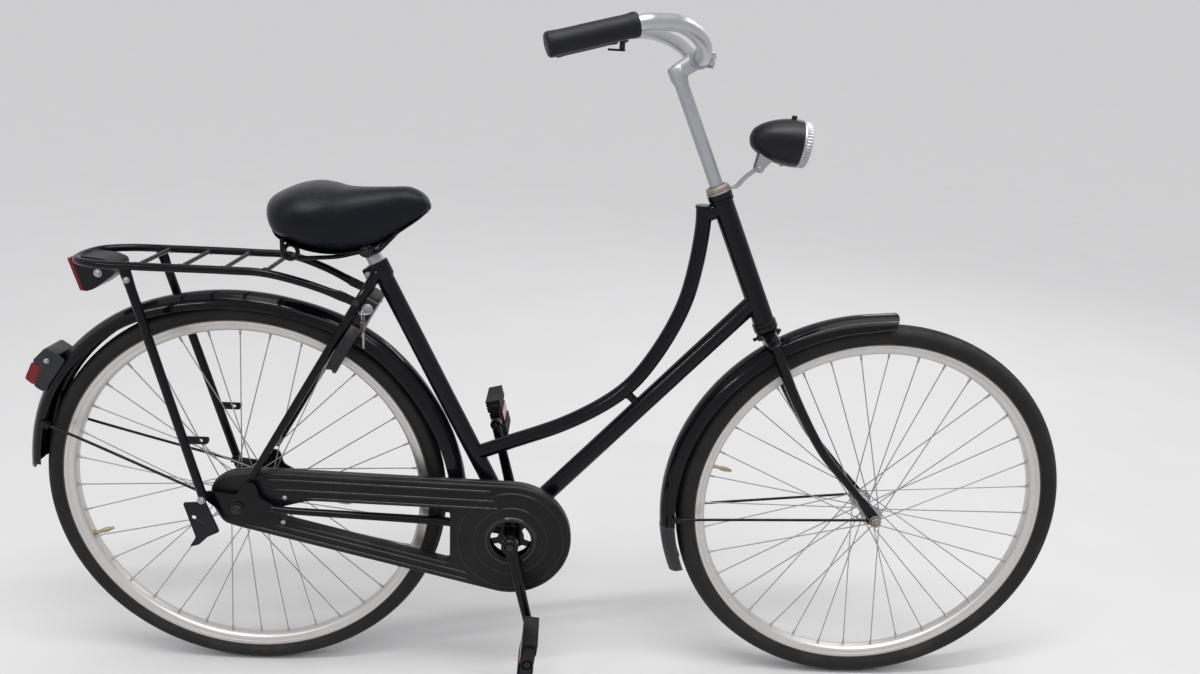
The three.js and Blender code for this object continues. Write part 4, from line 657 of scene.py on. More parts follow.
@dataclass(frozen=True)
class GroupSocket:
    """A named socket of a shader group."""

    name: str
    kind: str = "NodeSocketFloat"
    value: object = 0.0
    output: bool = False


class EffectGroup:
    """A shader node group with named inputs and outputs, built once."""

    made: dict[str, bpy.types.NodeTree] = {}

    def __init__(self, name: str, sockets: Sequence[GroupSocket],
                 fill: Callable[[NodeKit, Node, Node], None]) -> None:
        """Keeps what the group needs."""
        self.name, self.sockets, self.fill = name, sockets, fill

    def tree(self) -> bpy.types.NodeTree:
        """The group's node tree, made at its first use.

        Returns:
            The tree.
        """
        if self.name not in self.made:
            tree = bpy.data.node_groups.new(self.name, "ShaderNodeTree")
            for s in self.sockets:
                made = tree.interface.new_socket(s.name, in_out="OUTPUT" if s.output else "INPUT", socket_type=s.kind)
                if not s.output:
                    made.default_value = s.value
            kit = NodeKit(tree)
            self.fill(kit, kit.node("NodeGroupInput"), kit.node("NodeGroupOutput"))
            self.made[self.name] = tree
        return self.made[self.name]

    def use(self, kit: NodeKit, **inputs: object) -> Node:
        """Places the group in a material.

        Args:
            kit: the material's nodes.
            inputs: values or sockets by input name, with _ for a space.

        Returns:
            The group node.
        """
        made = kit.node("ShaderNodeGroup")
        made.node_tree = self.tree()
        for key, value in inputs.items():
            kit.feed(made.inputs[key.replace("_", " ")], value)
        return made


def fill_dust(kit: NodeKit, into: Node, out: Node) -> None:
    """Dust that lies on faces that look up, broken by noise.

    Args:
        kit: the group's nodes.
        into: its input node.
        out: its output node.
    """
    split = kit.node("ShaderNodeSeparateXYZ", {0: kit.node("ShaderNodeNewGeometry").outputs["Normal"]})
    upward = kit.ramp(split.outputs["Z"], -0.2, 1.0)
    patches = kit.ramp(kit.noise(into.outputs["Scale"], 6.0, 0.62), 0.35, 0.75)
    cover = kit.math("MULTIPLY", kit.math("MULTIPLY_ADD", upward, 0.85, 0.15), patches)
    mask = kit.math("MULTIPLY", cover, into.outputs["Amount"], clamp=True)
    kit.link(mask, out.inputs["Mask"])
    kit.link(kit.mix(mask, into.outputs["Color"], into.outputs["Dust Color"]), out.inputs["Color"])


def fill_speckle(kit: NodeKit, into: Node, out: Node) -> None:
    """Small spots such as rust or chips, where fine noise is high.

    Args:
        kit: the group's nodes.
        into: its input node.
        out: its output node.
    """
    fine = kit.noise(into.outputs["Scale"], 3.0, 0.7)
    broad = kit.noise(kit.math("MULTIPLY", into.outputs["Scale"], 0.12), 2.0)
    both = kit.math("ADD", fine, kit.math("MULTIPLY", broad, 0.5))
    level = kit.math("SUBTRACT", 1.12, kit.math("MULTIPLY", into.outputs["Amount"], 0.42))
    over = kit.math("MULTIPLY", kit.math("SUBTRACT", both, level), 14.0, clamp=True)
    kit.link(over, out.inputs["Mask"])


def fill_wear_and_highlight(kit: NodeKit, into: Node, out: Node) -> None:
    """Rubbed edges, where the surface turns sharply outwards; on the chain case they are partly real wear and partly
    painted highlight.

    Args:
        kit: the group's nodes.
        into: its input node.
        out: its output node.
    """
    point = kit.node("ShaderNodeNewGeometry").outputs["Pointiness"]
    broken = kit.math("MULTIPLY", kit.noise(90.0, 5.0, 0.7), 0.05)
    edge = kit.ramp(kit.math("ADD", point, broken), 0.545, 0.62)
    kit.link(kit.math("MULTIPLY", edge, into.outputs["Amount"], clamp=True), out.inputs["Mask"])


def fill_grain(kit: NodeKit, into: Node, out: Node) -> None:
    """The fine leather-like grain of moulded vinyl, rubber and plastic.

    Args:
        kit: the group's nodes.
        into: its input node.
        out: its output node.
    """
    cells = kit.node("ShaderNodeTexVoronoi", {"Scale": into.outputs["Scale"]}, feature="DISTANCE_TO_EDGE")
    warp = kit.node("ShaderNodeVectorMath", operation="ADD")
    shift = kit.node("ShaderNodeTexNoise", {"Scale": 60.0})
    place = kit.place()
    kit.link(place, shift.inputs["Vector"])
    scaled = kit.node("ShaderNodeVectorMath", {0: shift.outputs["Color"]}, operation="SCALE")
    scaled.inputs["Scale"].default_value = 0.006
    kit.link(place, warp.inputs[0])
    kit.link(scaled.outputs[0], warp.inputs[1])
    kit.link(warp.outputs[0], cells.inputs["Vector"])
    creases = kit.ramp(cells.outputs["Distance"], 0.0, 0.28)
    kit.link(kit.math("ADD", creases, kit.math("MULTIPLY", kit.noise(900.0, 2.0), 0.25)), out.inputs["Height"])


def fill_brush(kit: NodeKit, into: Node, out: Node) -> None:
    """Fine lines along one direction, and cloudy patches, for metal.

    Args:
        kit: the group's nodes.
        into: its input node.
        out: its output node.
    """
    lines = kit.noise(into.outputs["Scale"], 3.0, 0.6, kit.place((1.0, 14.0, 1.0)))
    clouds = kit.noise(7.0, 5.0, 0.6)
    kit.link(kit.math("ADD", kit.math("MULTIPLY", lines, 0.5), kit.math("MULTIPLY", clouds, 0.5)), out.inputs["Value"])
    kit.link(lines, out.inputs["Height"])


def fill_smudge(kit: NodeKit, into: Node, out: Node) -> None:
    """Wiped streaks and finger marks that change the gloss.

    Args:
        kit: the group's nodes.
        into: its input node.
        out: its output node.
    """
    wipes = kit.noise(into.outputs["Scale"], 5.0, 0.65, kit.place((1.0, 1.0, 3.5)))
    fine = kit.noise(260.0, 2.0)
    value = kit.math("ADD", kit.math("MULTIPLY", wipes, 0.8), kit.math("MULTIPLY", fine, 0.2))
    kit.link(kit.ramp(value, 0.3, 0.75), out.inputs["Value"])
    kit.link(kit.noise(14.0, 2.0), out.inputs["Height"])


COLOR = "NodeSocketColor"
DUST = EffectGroup("dust_film", [
    GroupSocket("Color", COLOR, (0, 0, 0, 1)), GroupSocket("Dust Color", COLOR, (0.3, 0.28, 0.25, 1)),
    GroupSocket("Amount", value=0.2), GroupSocket("Scale", value=12.0),
    GroupSocket("Color", COLOR, output=True), GroupSocket("Mask", output=True)], fill_dust)
SPECKLE = EffectGroup("small_spots", [GroupSocket("Amount", value=0.3), GroupSocket("Scale", value=300.0),
                                      GroupSocket("Mask", output=True)], fill_speckle)
# Lighter rubbed edges: real wear, and on the chain case partly painted highlight.
WEAR_AND_HIGHLIGHT = EffectGroup("edge_rub_and_highlight", [GroupSocket("Amount", value=0.5), GroupSocket("Mask", output=True)], fill_wear_and_highlight)
GRAIN = EffectGroup("moulded_grain", [
    GroupSocket("Scale", value=700.0), GroupSocket("Height", output=True)], fill_grain)
BRUSH = EffectGroup("brushed_lines", [GroupSocket("Scale", value=90.0), GroupSocket("Value", output=True),
                                      GroupSocket("Height", output=True)], fill_brush)
SMUDGE = EffectGroup("wiped_gloss", [GroupSocket("Scale", value=9.0), GroupSocket("Value", output=True),
                                     GroupSocket("Height", output=True)], fill_smudge)


# Finishes


class Surface(Enum):
    """The kinds of surface that a finish can have."""

    ENAMEL = "enamel"
    MOULDED = "moulded"
    METAL = "metal"
    TREAD = "tread"
    LENS = "lens"


def rgba(color: Knot, share: float = 1.0, lift: float = 0.0) -> tuple[float, ...]:
    """A colour for a socket, made darker or lighter."""
    return (*(c * share + lift for c in color), 1.0)


@dataclass(frozen=True)
class Finish:
    """One finish of the bicycle: its colour, gloss and edge wear, which on the chain case is partly painted highlight.
    """

    name: str
    surface: Surface
    color: Triple
    roughness: float
    slot: str
    rough_span: float = 0.12
    dust: float = 0.0
    dust_color: Triple = (0.3, 0.28, 0.25)
    # Lighter edges: real wear, and on the chain case partly painted highlight.
    wear_and_highlight: float = 0.0
    wear_and_highlight_color: Triple = (0.35, 0.35, 0.36)
    spots: float = 0.0
    spot_color: Triple = (0.12, 0.055, 0.025)
    spot_scale: float = 320.0
    grain: float = 0.0
    grain_scale: float = 700.0
    coat: float = 0.0
    metallic: float = 0.0
    transmission: float = 0.0
    ior: float = 1.5
    specular: float = 0.5

    def material(self) -> bpy.types.Material:
        """The finish as a Blender material, made at its first use.

        Returns:
            The material.
        """
        found = bpy.data.materials.get(f"finish_{self.name}")
        if found is not None:
            return found
        made = bpy.data.materials.new(f"finish_{self.name}")
        made.use_nodes = True
        kit = NodeKit(made.node_tree)
        shader = kit.node("ShaderNodeBsdfPrincipled", {
            "Metallic": self.metallic, "IOR": self.ior, "Specular IOR Level": self.specular,
            "Transmission Weight": self.transmission, "Coat Weight": self.coat, "Coat Roughness": 0.06})
        kit.link(shader.outputs[0], kit.node("ShaderNodeOutputMaterial").inputs[0])
        self.dress(kit, shader)
        return made

    def dress(self, kit: NodeKit, shader: Node) -> None:
        """Adds the nodes of its kind of surface.

        Args:
            kit: the material's nodes.
            shader: its Principled BSDF.
        """
        base = rgba(self.color)
        smudge = SMUDGE.use(kit, Scale=9.0)
        gloss = kit.math("MULTIPLY_ADD", smudge.outputs["Value"], self.rough_span, self.roughness)
        color: object = base
        if self.surface is Surface.METAL:
            brush = BRUSH.use(kit, Scale=90.0)
            color = kit.mix(brush.outputs["Value"], rgba(self.color, 0.72), base)
            gloss = kit.math("MULTIPLY_ADD", brush.outputs["Value"], self.rough_span, self.roughness)
        else:
            color = kit.mix(kit.noise(5.0, 3.0), base, rgba(self.color, 1.5, 0.0008))
        # Lighter colour on sharp outward edges: real wear, and on the chain case partly painted highlight.
        if self.wear_and_highlight > 0:
            rub_and_highlight = WEAR_AND_HIGHLIGHT.use(kit, Amount=self.wear_and_highlight)
            color = kit.mix(rub_and_highlight.outputs["Mask"], color, rgba(self.wear_and_highlight_color))
        if self.spots > 0:
            speck = SPECKLE.use(kit, Amount=self.spots, Scale=self.spot_scale)
            color = kit.mix(speck.outputs["Mask"], color, rgba(self.spot_color))
            gloss = kit.math("ADD", gloss, kit.math("MULTIPLY", speck.outputs["Mask"], 0.35), clamp=True)
            if self.metallic > 0:
                dull = kit.math("SUBTRACT", self.metallic, kit.math("MULTIPLY", speck.outputs["Mask"], 0.7), clamp=True)
                kit.link(dull, shader.inputs["Metallic"])
        if self.dust > 0:
            film = DUST.use(kit, Color=color, Dust_Color=rgba(self.dust_color), Amount=self.dust, Scale=12.0)
            color = film.outputs["Color"]
            gloss = kit.math("ADD", gloss, kit.math("MULTIPLY", film.outputs["Mask"], 0.3), clamp=True)
        kit.feed(shader.inputs["Base Color"], color)
        kit.feed(shader.inputs["Roughness"], gloss)
        height = self.relief(kit, smudge)
        if height is not None:
            depth = 0.0012 if self.surface is Surface.TREAD else 0.0004
            bump = kit.node("ShaderNodeBump", {"Strength": max(0.05, self.grain), "Distance": depth, "Height": height})
            kit.link(bump.outputs[0], shader.inputs["Normal"])

    def relief(self, kit: NodeKit, smudge: Node) -> Socket | None:
        """The height that its bump reads.

        Args:
            kit: the material's nodes.
            smudge: the wiped-gloss group, whose slow waves enamel uses.

        Returns:
            A height socket, or None for a plain surface.
        """
        if self.surface is Surface.TREAD:
            return self.tread_height(kit)
        if self.surface is Surface.ENAMEL:
            return smudge.outputs["Height"]
        if self.surface is Surface.LENS:
            prisms = kit.node("ShaderNodeTexVoronoi", {"Scale": self.grain_scale, "Randomness": 0.0},
                              feature="DISTANCE_TO_EDGE")
            kit.link(kit.place(), prisms.inputs["Vector"])
            return prisms.outputs["Distance"]
        if self.surface is Surface.METAL:
            return BRUSH.use(kit, Scale=140.0).outputs["Height"]
        return GRAIN.use(kit, Scale=self.grain_scale).outputs["Height"] if self.grain > 0 else None

    def tread_height(self, kit: NodeKit) -> Socket:
        """Slanted cuts across the crown of a tyre and fine ribs on its sides.

        Args:
            kit: the material's nodes.

        Returns:
            The height socket.
        """
        place = kit.node("ShaderNodeSeparateXYZ")
        kit.link(kit.node("ShaderNodeTexCoord").outputs["UV"], place.inputs[0])
        rounds = place.outputs["X"]
        from_middle = kit.math("ABSOLUTE", kit.math("SUBTRACT", place.outputs["Y"], 0.5))
        phase = kit.math("ADD", kit.math("MULTIPLY", rounds, 150.0), kit.math("MULTIPLY", from_middle, 16.0))
        cuts = kit.math("PINGPONG", phase, 0.5)
        blocks = kit.ramp(cuts, 0.06, 0.13)
        crown = kit.ramp(from_middle, 0.15, 0.11)
        ribs = kit.math("MULTIPLY", kit.math("PINGPONG", kit.math("MULTIPLY", rounds, 900.0), 0.5), 0.25)
        side = kit.math("MULTIPLY", ribs, kit.math("SUBTRACT", 1.0, crown))
        return kit.math("ADD", kit.math("MULTIPLY", kit.math("SUBTRACT", blocks, 1.0), crown), side)


ENAMEL = Finish("frame_enamel", Surface.ENAMEL, (0.0016, 0.0017, 0.0026), 0.09, "frame_paint", rough_span=0.09,
                dust=0.01, wear_and_highlight=0.3, wear_and_highlight_color=(0.02, 0.02, 0.023), coat=0.06, grain=0.05, spots=0.1,
                spot_color=(0.08, 0.07, 0.06), specular=0.17)
# The case's lighter rubbed edges are partly real wear and partly painted highlight along its edges.
CASE = Finish("case_black", Surface.MOULDED, (0.0026, 0.0028, 0.0036), 0.27, "case_plastic", rough_span=0.2, dust=0.07,
              wear_and_highlight=0.5, wear_and_highlight_color=(0.04, 0.04, 0.04), grain=0.1, grain_scale=520.0, specular=0.2)
CASE_GLOSS = Finish("case_gloss", Surface.MOULDED, (0.0026, 0.0026, 0.0032), 0.1, "case_plastic", rough_span=0.1,
                    dust=0.03, specular=0.45)
PLASTIC = Finish("black_moulding", Surface.MOULDED, (0.0028, 0.0032, 0.0046), 0.28, "black_plastic", grain=0.12,
                 dust=0.03, wear_and_highlight=0.3, wear_and_highlight_color=(0.04, 0.04, 0.04), specular=0.24)
GREY_PLASTIC = Finish("grey_moulding", Surface.MOULDED, (0.012, 0.0135, 0.016), 0.38, "grey_plastic", grain=0.18,
                      dust=0.2, wear_and_highlight=0.4, wear_and_highlight_color=(0.1, 0.1, 0.1), specular=0.3)
RUBBER = Finish("block_rubber", Surface.MOULDED, (0.0024, 0.0024, 0.0028), 0.5, "grip_rubber", grain=0.3, dust=0.06,
                wear_and_highlight=0.3, wear_and_highlight_color=(0.025, 0.024, 0.023), specular=0.18)
GRIP = Finish("grip_moulding", Surface.MOULDED, (0.0042, 0.0048, 0.0078), 0.38, "grip_rubber", grain=0.22,
              grain_scale=900.0, dust=0.03, specular=0.22)
VINYL = Finish("padded_vinyl", Surface.MOULDED, (0.0028, 0.0034, 0.006), 0.24, "saddle_vinyl", rough_span=0.08,
               grain=0.3, grain_scale=620.0, dust=0.005, specular=0.15)
TYRE = Finish("tyre_black", Surface.TREAD, (0.0075, 0.0074, 0.0075), 0.56, "tyre_rubber", rough_span=0.15, dust=0.3,
              grain=0.9, dust_color=(0.1, 0.09, 0.08), specular=0.22)
TYRE_BEAD = Finish("tyre_bead", Surface.MOULDED, (0.05, 0.042, 0.036), 0.7, "tyre_rubber", dust=0.3, grain=0.2)
RIM = Finish("rim_metal", Surface.METAL, (0.72, 0.71, 0.69), 0.34, "rim_alloy", rough_span=0.22, metallic=1.0,
             spots=0.22, spot_color=(0.35, 0.33, 0.3), spot_scale=420.0, dust=0.14, dust_color=(0.45, 0.42, 0.38),
             grain=0.05)
ALLOY = Finish("dull_alloy", Surface.METAL, (0.5, 0.51, 0.53), 0.4, "rim_alloy", rough_span=0.2, metallic=1.0,
               spots=0.34, spot_color=(0.24, 0.23, 0.22), spot_scale=500.0, grain=0.08)
CHROME = Finish("bar_plating", Surface.METAL, (0.58, 0.59, 0.6), 0.22, "bar_chrome", rough_span=0.22, metallic=1.0,
                spots=0.32, spot_color=(0.24, 0.19, 0.15), spot_scale=600.0, grain=0.04)
STEEL = Finish("zinc_steel", Surface.METAL, (0.46, 0.47, 0.48), 0.34, "bright_steel", rough_span=0.25, metallic=1.0,
               spots=0.4, grain=0.08)
DARK_STEEL = Finish("oily_steel", Surface.METAL, (0.05, 0.048, 0.046), 0.42, "rusty_steel", rough_span=0.25,
                    metallic=0.9, spots=0.4, spot_color=(0.03, 0.02, 0.014), grain=0.1)
SPOKE = Finish("spoke_steel", Surface.METAL, (0.42, 0.42, 0.42), 0.32, "bright_steel", metallic=1.0, spots=0.2,
               grain=0.02)
RUST = Finish("browned_steel", Surface.METAL, (0.36, 0.33, 0.3), 0.45, "rusty_steel", rough_span=0.25, metallic=0.9,
              spots=0.62, spot_color=(0.13, 0.075, 0.045), spot_scale=190.0, grain=0.25)
CHAIN = Finish("oiled_chain", Surface.METAL, (0.1, 0.08, 0.06), 0.45, "chain_steel", rough_span=0.2, metallic=0.9,
               spots=0.6, spot_color=(0.05, 0.03, 0.02), grain=0.1)
BRASS_CAP = Finish("valve_metal", Surface.METAL, (0.45, 0.38, 0.26), 0.4, "bright_steel", metallic=1.0, grain=0.05)
RED = Finish("ruby_plastic", Surface.LENS, (0.13, 0.003, 0.005), 0.14, "red_lens", coat=0.15, specular=0.3, grain=0.5,
             grain_scale=260.0)
AMBER = Finish("amber_lens", Surface.LENS, (0.1, 0.02, 0.006), 0.2, "red_lens", coat=0.4, grain=0.5, grain_scale=320.0)
CLEAR = Finish("clear_plastic", Surface.LENS, (0.82, 0.83, 0.78), 0.06, "clear_lens", coat=0.4, grain=0.12,
               grain_scale=160.0, transmission=0.75)
KEY_HEAD = Finish("key_head", Surface.MOULDED, (0.03, 0.012, 0.009), 0.35, "bright_steel", grain=0.1, dust=0.05)


class Assembly:
    """A sub-assembly, which turns shapes into Blender objects that ride on the frame's bodies."""

    def put(self, name: str, shape: Shape | Sequence[Shape], finish: Finish, body: str, stands_for: Sequence[str] = (),
            bevel: float = 0.0, crease: float = 38.0, rounds: int = 0) -> bpy.types.Object:
        """Makes one piece.

        Args:
            name: the piece's name.
            shape: its surface, or several that make it up.
            finish: its finish.
            body: the body that it moves with.
            stands_for: CAD nodes that it replaces.
            bevel: width of its eased edges, in millimetres.
            crease: edges sharper than this, in degrees, stay sharp.
            rounds: levels of subdivision.

        Returns:
            The Blender object.
        """
        whole = shape if isinstance(shape, Shape) else gather(shape)
        mesh = bpy.data.meshes.new(name)
        points = (whole.points + vec(CENTRE_SHIFT, 0, 0)) * MM
        mesh.from_pydata(points.tolist(), [], whole.faces)
        if whole.uvs is not None:
            layer = mesh.uv_layers.new(name="around_across")
            order = np.zeros(len(mesh.loops), dtype=np.int32)
            mesh.loops.foreach_get("vertex_index", order)
            layer.data.foreach_set("uv", whole.uvs[order].astype(np.float32).ravel())
        mesh.validate()
        mesh.shade_smooth()
        self.face_outwards(mesh)
        mesh.set_sharp_from_angle(angle=radians(crease))
        made = bpy.data.objects.new(name, mesh)
        bpy.context.scene.collection.objects.link(made)
        mesh.materials.append(finish.material())
        if bevel > 0:
            eased = made.modifiers.new("eased_edges", "BEVEL")
            eased.width = bevel * MM
            eased.segments = 3
            eased.limit_method = "ANGLE"
            eased.angle_limit = radians(34)
            eased.harden_normals = True
        if rounds > 0:
            finer = made.modifiers.new("finer", "SUBSURF")
            finer.levels = finer.render_levels = rounds
        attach(made, body)
        if stands_for:
            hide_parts(*stands_for)
        LOG.info("piece %s: %d faces, on %s, %s", name, len(whole.faces), body, finish.name)
        return made

    @staticmethod
    def face_outwards(mesh: bpy.types.Mesh) -> None:
        """Turns each closed skin's faces outwards.

        Args:
            mesh: a piece's mesh.
        """
        work = bmesh.new()
        work.from_mesh(mesh)
        bmesh.ops.remove_doubles(work, verts=work.verts, dist=1e-6)
        bmesh.ops.recalc_face_normals(work, faces=work.faces)
        work.to_mesh(mesh)
        work.free()


# Wheels


@dataclass
class TyreShape:
    """A tyre's section over its rim."""

    radius: float
    width: float
    rim_radius: float = 315.0
    groove: float = 1.3
    segments: int = 180

    def outline(self) -> list[Pair]:
        """The section's corners, from the left bead over the crown to the right bead.

        Returns:
            Pairs of radius and distance across.
        """
        half = self.width / 2
        height = self.radius - self.rim_radius
        side = [(-0.12, 0.5), (0.03, 0.56), (0.14, 0.72), (0.27, 0.88), (0.4, 0.97), (0.52, 1.0), (0.64, 0.97),
                (0.76, 0.86), (0.86, 0.7)]
        left = [(self.rim_radius + up * height, out * half) for up, out in side]
        crown: list[Pair] = []
        for out in np.linspace(0.62, 0.0, 11):
            up = 1 - 0.165 * (out / 0.7) ** 2.2
            depth = self.groove if any(abs(out - g) < 0.035 for g in (0.434, 0.124)) else 0.0
            crown.append((self.rim_radius + up * height - depth, out * half))
        over = left + crown
        return over + [(r, -w) for r, w in reversed(over[:-1])]

    def shape(self, centre: Vec) -> Shape:
        """The tyre as a turned skin with its inside closed."""
        return lathe(self.outline(), centre, Y_AXIS, self.segments, textured=True)


@dataclass
class Wheel(Assembly):
    """A spoked wheel: tyre, rim, spokes, hub and valve."""

    name: str
    body: str
    centre: Vec
    tyre: TyreShape
    flange_radius: float
    flange_offset: float
    hub_radius: float
    valve_angle: float
    rim_width: float = 25.0
    spokes: int = 36
    spoke_radius: float = 1.0
    cross: float = pi / 3

    def build(self) -> None:
        """Makes the wheel's pieces."""
        self.put(f"{self.name}_tyre_skin", self.tyre.shape(self.centre), TYRE, self.body, [f"{self.name}_tyre"],
                 crease=50)
        self.put(f"{self.name}_tyre_bead", self.bead_lines(), TYRE_BEAD, self.body)
        self.put(f"{self.name}_rim_ring", self.rim(), RIM, self.body, [f"{self.name}_rim"])
        self.put(f"{self.name}_spokes", self.spoke_set(), SPOKE, self.body)
        self.put(f"{self.name}_nipples", self.nipples(), STEEL, self.body)
        self.put(f"{self.name}_hub_shell", self.hub(), STEEL, self.body, [f"{self.name}_hub"])
        self.put(f"{self.name}_valve", self.valve(), BRASS_CAP, self.body)

    def bead_lines(self) -> Shape:
        """The thin brown line where each side of the tyre meets the rim.

        Returns:
            Both lines.
        """
        r, w = self.tyre.rim_radius + 0.9, self.rim_width / 2 - 0.6
        rings = []
        for side in (-1, 1):
            profile = [(r + 1.2 * cos(a), side * w + 0.9 * sin(a)) for a in turn(8)]
            rings.append(lathe(profile, self.centre, Y_AXIS, 144, ring=True))
        return gather(rings)

    def rim(self) -> Shape:
        """The rim's ring, with braking sides, a fine line and a hollowed bed.

        Returns:
            The turned ring.
        """
        r, w = self.tyre.rim_radius, self.rim_width / 2
        half = [(r - 0.2, w - 1.6), (r, w - 0.6), (r - 0.6, w), (r - 6.4, w - 0.1), (r - 6.9, w - 0.6),
                (r - 7.4, w - 0.15), (r - 12.5, w - 0.7), (r - 15.8, w - 2.6), (r - 17.6, w - 6.0), (r - 18.2, w - 9.5)]
        inner = [(r - 6, 0.0), (r - 6, w - 1.9)]
        return lathe([*inner, *there_and_back(half), (r - 6, -(w - 1.9))], self.centre, Y_AXIS, 180, ring=True)

    def spoke_ends(self) -> list[tuple[Vec, Vec, int]]:
        """Head and rim end of each spoke, and its side.

        Returns:
            Triples of head, tip and side.
        """
        ends = []
        pitch = 2 * TAU / self.spokes
        reach = self.tyre.rim_radius - 18.4
        for side in (-1, 1):
            for i in range(self.spokes // 2):
                lean = 1 if i % 2 == 0 else -1
                at_rim = i * pitch + (pitch / 2 if side > 0 else 0)
                at_head = at_rim + lean * self.cross
                out = self.flange_radius - 2.6
                head = self.centre + out * toward(at_head) + Y_AXIS * (side * (self.flange_offset + lean * 1.5))
                tip = self.centre + reach * toward(at_rim) + Y_AXIS * (side * 2)
                ends.append((head, tip, side * lean))
        return ends

    def spoke_set(self) -> Shape:
        """All spokes with their heads on the flanges.

        Returns:
            The wires.
        """
        shapes = []
        for head, tip, way in self.spoke_ends():
            shapes.append(bar(head, tip, self.spoke_radius, sides=8))
            knob = head + Y_AXIS * (0.9 * way)
            shapes.append(lathe([(1.9, 0), (1.6, 0.7), (0, 1.1)], knob, Y_AXIS * way, 10))
        return gather(shapes)

    def nipples(self) -> Shape:
        """The nipple of each spoke, standing out of the rim's bed.

        Returns:
            The nipples.
        """
        shapes = []
        for head, tip, _ in self.spoke_ends():
            along = unit(head - tip)
            profile = [(2.6, -1.5), (2.6, 0.6), (2.0, 1.2), (1.75, 9.5), (1.2, 10.4), (0, 10.4)]
            shapes.append(lathe(profile, tip, along, 10))
        return gather(shapes)

    def hub(self) -> Shape:
        """The hub shell with its two flanges, dust covers and waist.

        Returns:
            The shell.
        """
        f, o, b = self.flange_radius, self.flange_offset, self.hub_radius
        half = [(5.8, o + 5.4), (b * 0.8, o + 5.4), (b * 0.98, o + 4.6), (b, o + 2.6), (f - 1.2, o + 1.9), (f, o + 1.3),
                (f, o - 1.3), (f - 1.2, o - 1.9), (b + 2.4, o - 2.8), (b + 0.6, o - 6), (b, o - 11)]
        return lathe(there_and_back(half), self.centre, Y_AXIS, 48, ring=True)

    def valve(self) -> Shape:
        """The valve stem with its nut and cap, pointing at the hub.

        Returns:
            The turned valve.
        """
        out = toward(self.valve_angle)
        seat = self.centre + out * (self.tyre.rim_radius - 16)
        profile = [(5.5, 0), (5.5, 3.2), (3.2, 3.6), (3.2, 17), (4.4, 18), (4.4, 27), (3.4, 30), (2.2, 37), (0, 38)]
        return lathe(profile, seat, -out, 16)


@dataclass
class Axles(Assembly):
    """Both axles with their cones, washers, nuts and the brake arm."""

    radius: float = 5.0
    nut_radius: float = 9.4
    arm_offset: float = 48.0
    arm_thickness: float = 4.0
    arm_end: Pair = (150.0, -44.0)

    def build(self) -> None:
        """Makes both axles."""
        self.put("front_axle_set", self.axle(LAYOUT.front_axle, LAYOUT.fork_end), RUST, "fork", ["front_axle"],
                 bevel=0.3)
        self.put("rear_axle_set", self.axle(LAYOUT.rear_axle, LAYOUT.dropout), DARK_STEEL, "frame", ["rear_axle"],
                 bevel=0.3)
        self.put("brake_arm", self.brake_arm(), ALLOY, "frame", bevel=0.6)

    def axle(self, centre: Vec, offset: float) -> Shape:
        """An axle with cones, washers and nuts.

        Args:
            centre: the wheel's centre.
            offset: distance from it to the middle of each fork end.

        Returns:
            The parts as one shape.
        """
        inner, outer = offset - 2.3, offset + 2.3
        parts = [bar(centre - Y_AXIS * (outer + 11.2), centre + Y_AXIS * (outer + 11.2), self.radius, sides=24)]
        for side in (-1, 1):
            way = Y_AXIS * side
            parts.append(lathe([(5, inner - 4.5), (7.4, inner - 4.0), (7.4, inner), (5, inner)], centre, way, 24))
            parts += nut_on(centre + way * outer, way, 10.6, self.nut_radius, 7.4, 5, lift=1.4)
            parts.append(lathe([(5, 0), (4.4, 1.2), (0, 1.4)], centre + way * (outer + 10.2), way, 20))
        return gather(parts)

    def brake_arm(self) -> Shape:
        """The arm from the left end of the rear hub to its clip on the chain stay.

        Returns:
            The arm.
        """
        a = LAYOUT.rear_axle
        end = (a[0] + self.arm_end[0], a[2] + self.arm_end[1])
        outline = rounded([(a[0] - 4, a[2] + 12), (a[0] - 4, a[2] - 12), (end[0], end[1] - 6.5),
                           (end[0] + 13, end[1] - 6.5), (end[0] + 13, end[1] + 28), (end[0], end[1] + 28),
                           (end[0], end[1] + 6.5), (a[0] + 14, a[2] + 8)], 5)
        arm = prism(outline, self.arm_offset, self.arm_offset + self.arm_thickness)
        profile = [(15, 0), (15, 3.4), (12, 4.4), (6, 4.4), (6, 0)]
        return arm.plus(lathe(profile, a + Y_AXIS * self.arm_offset, Y_AXIS, 32, ring=True))


# Frame


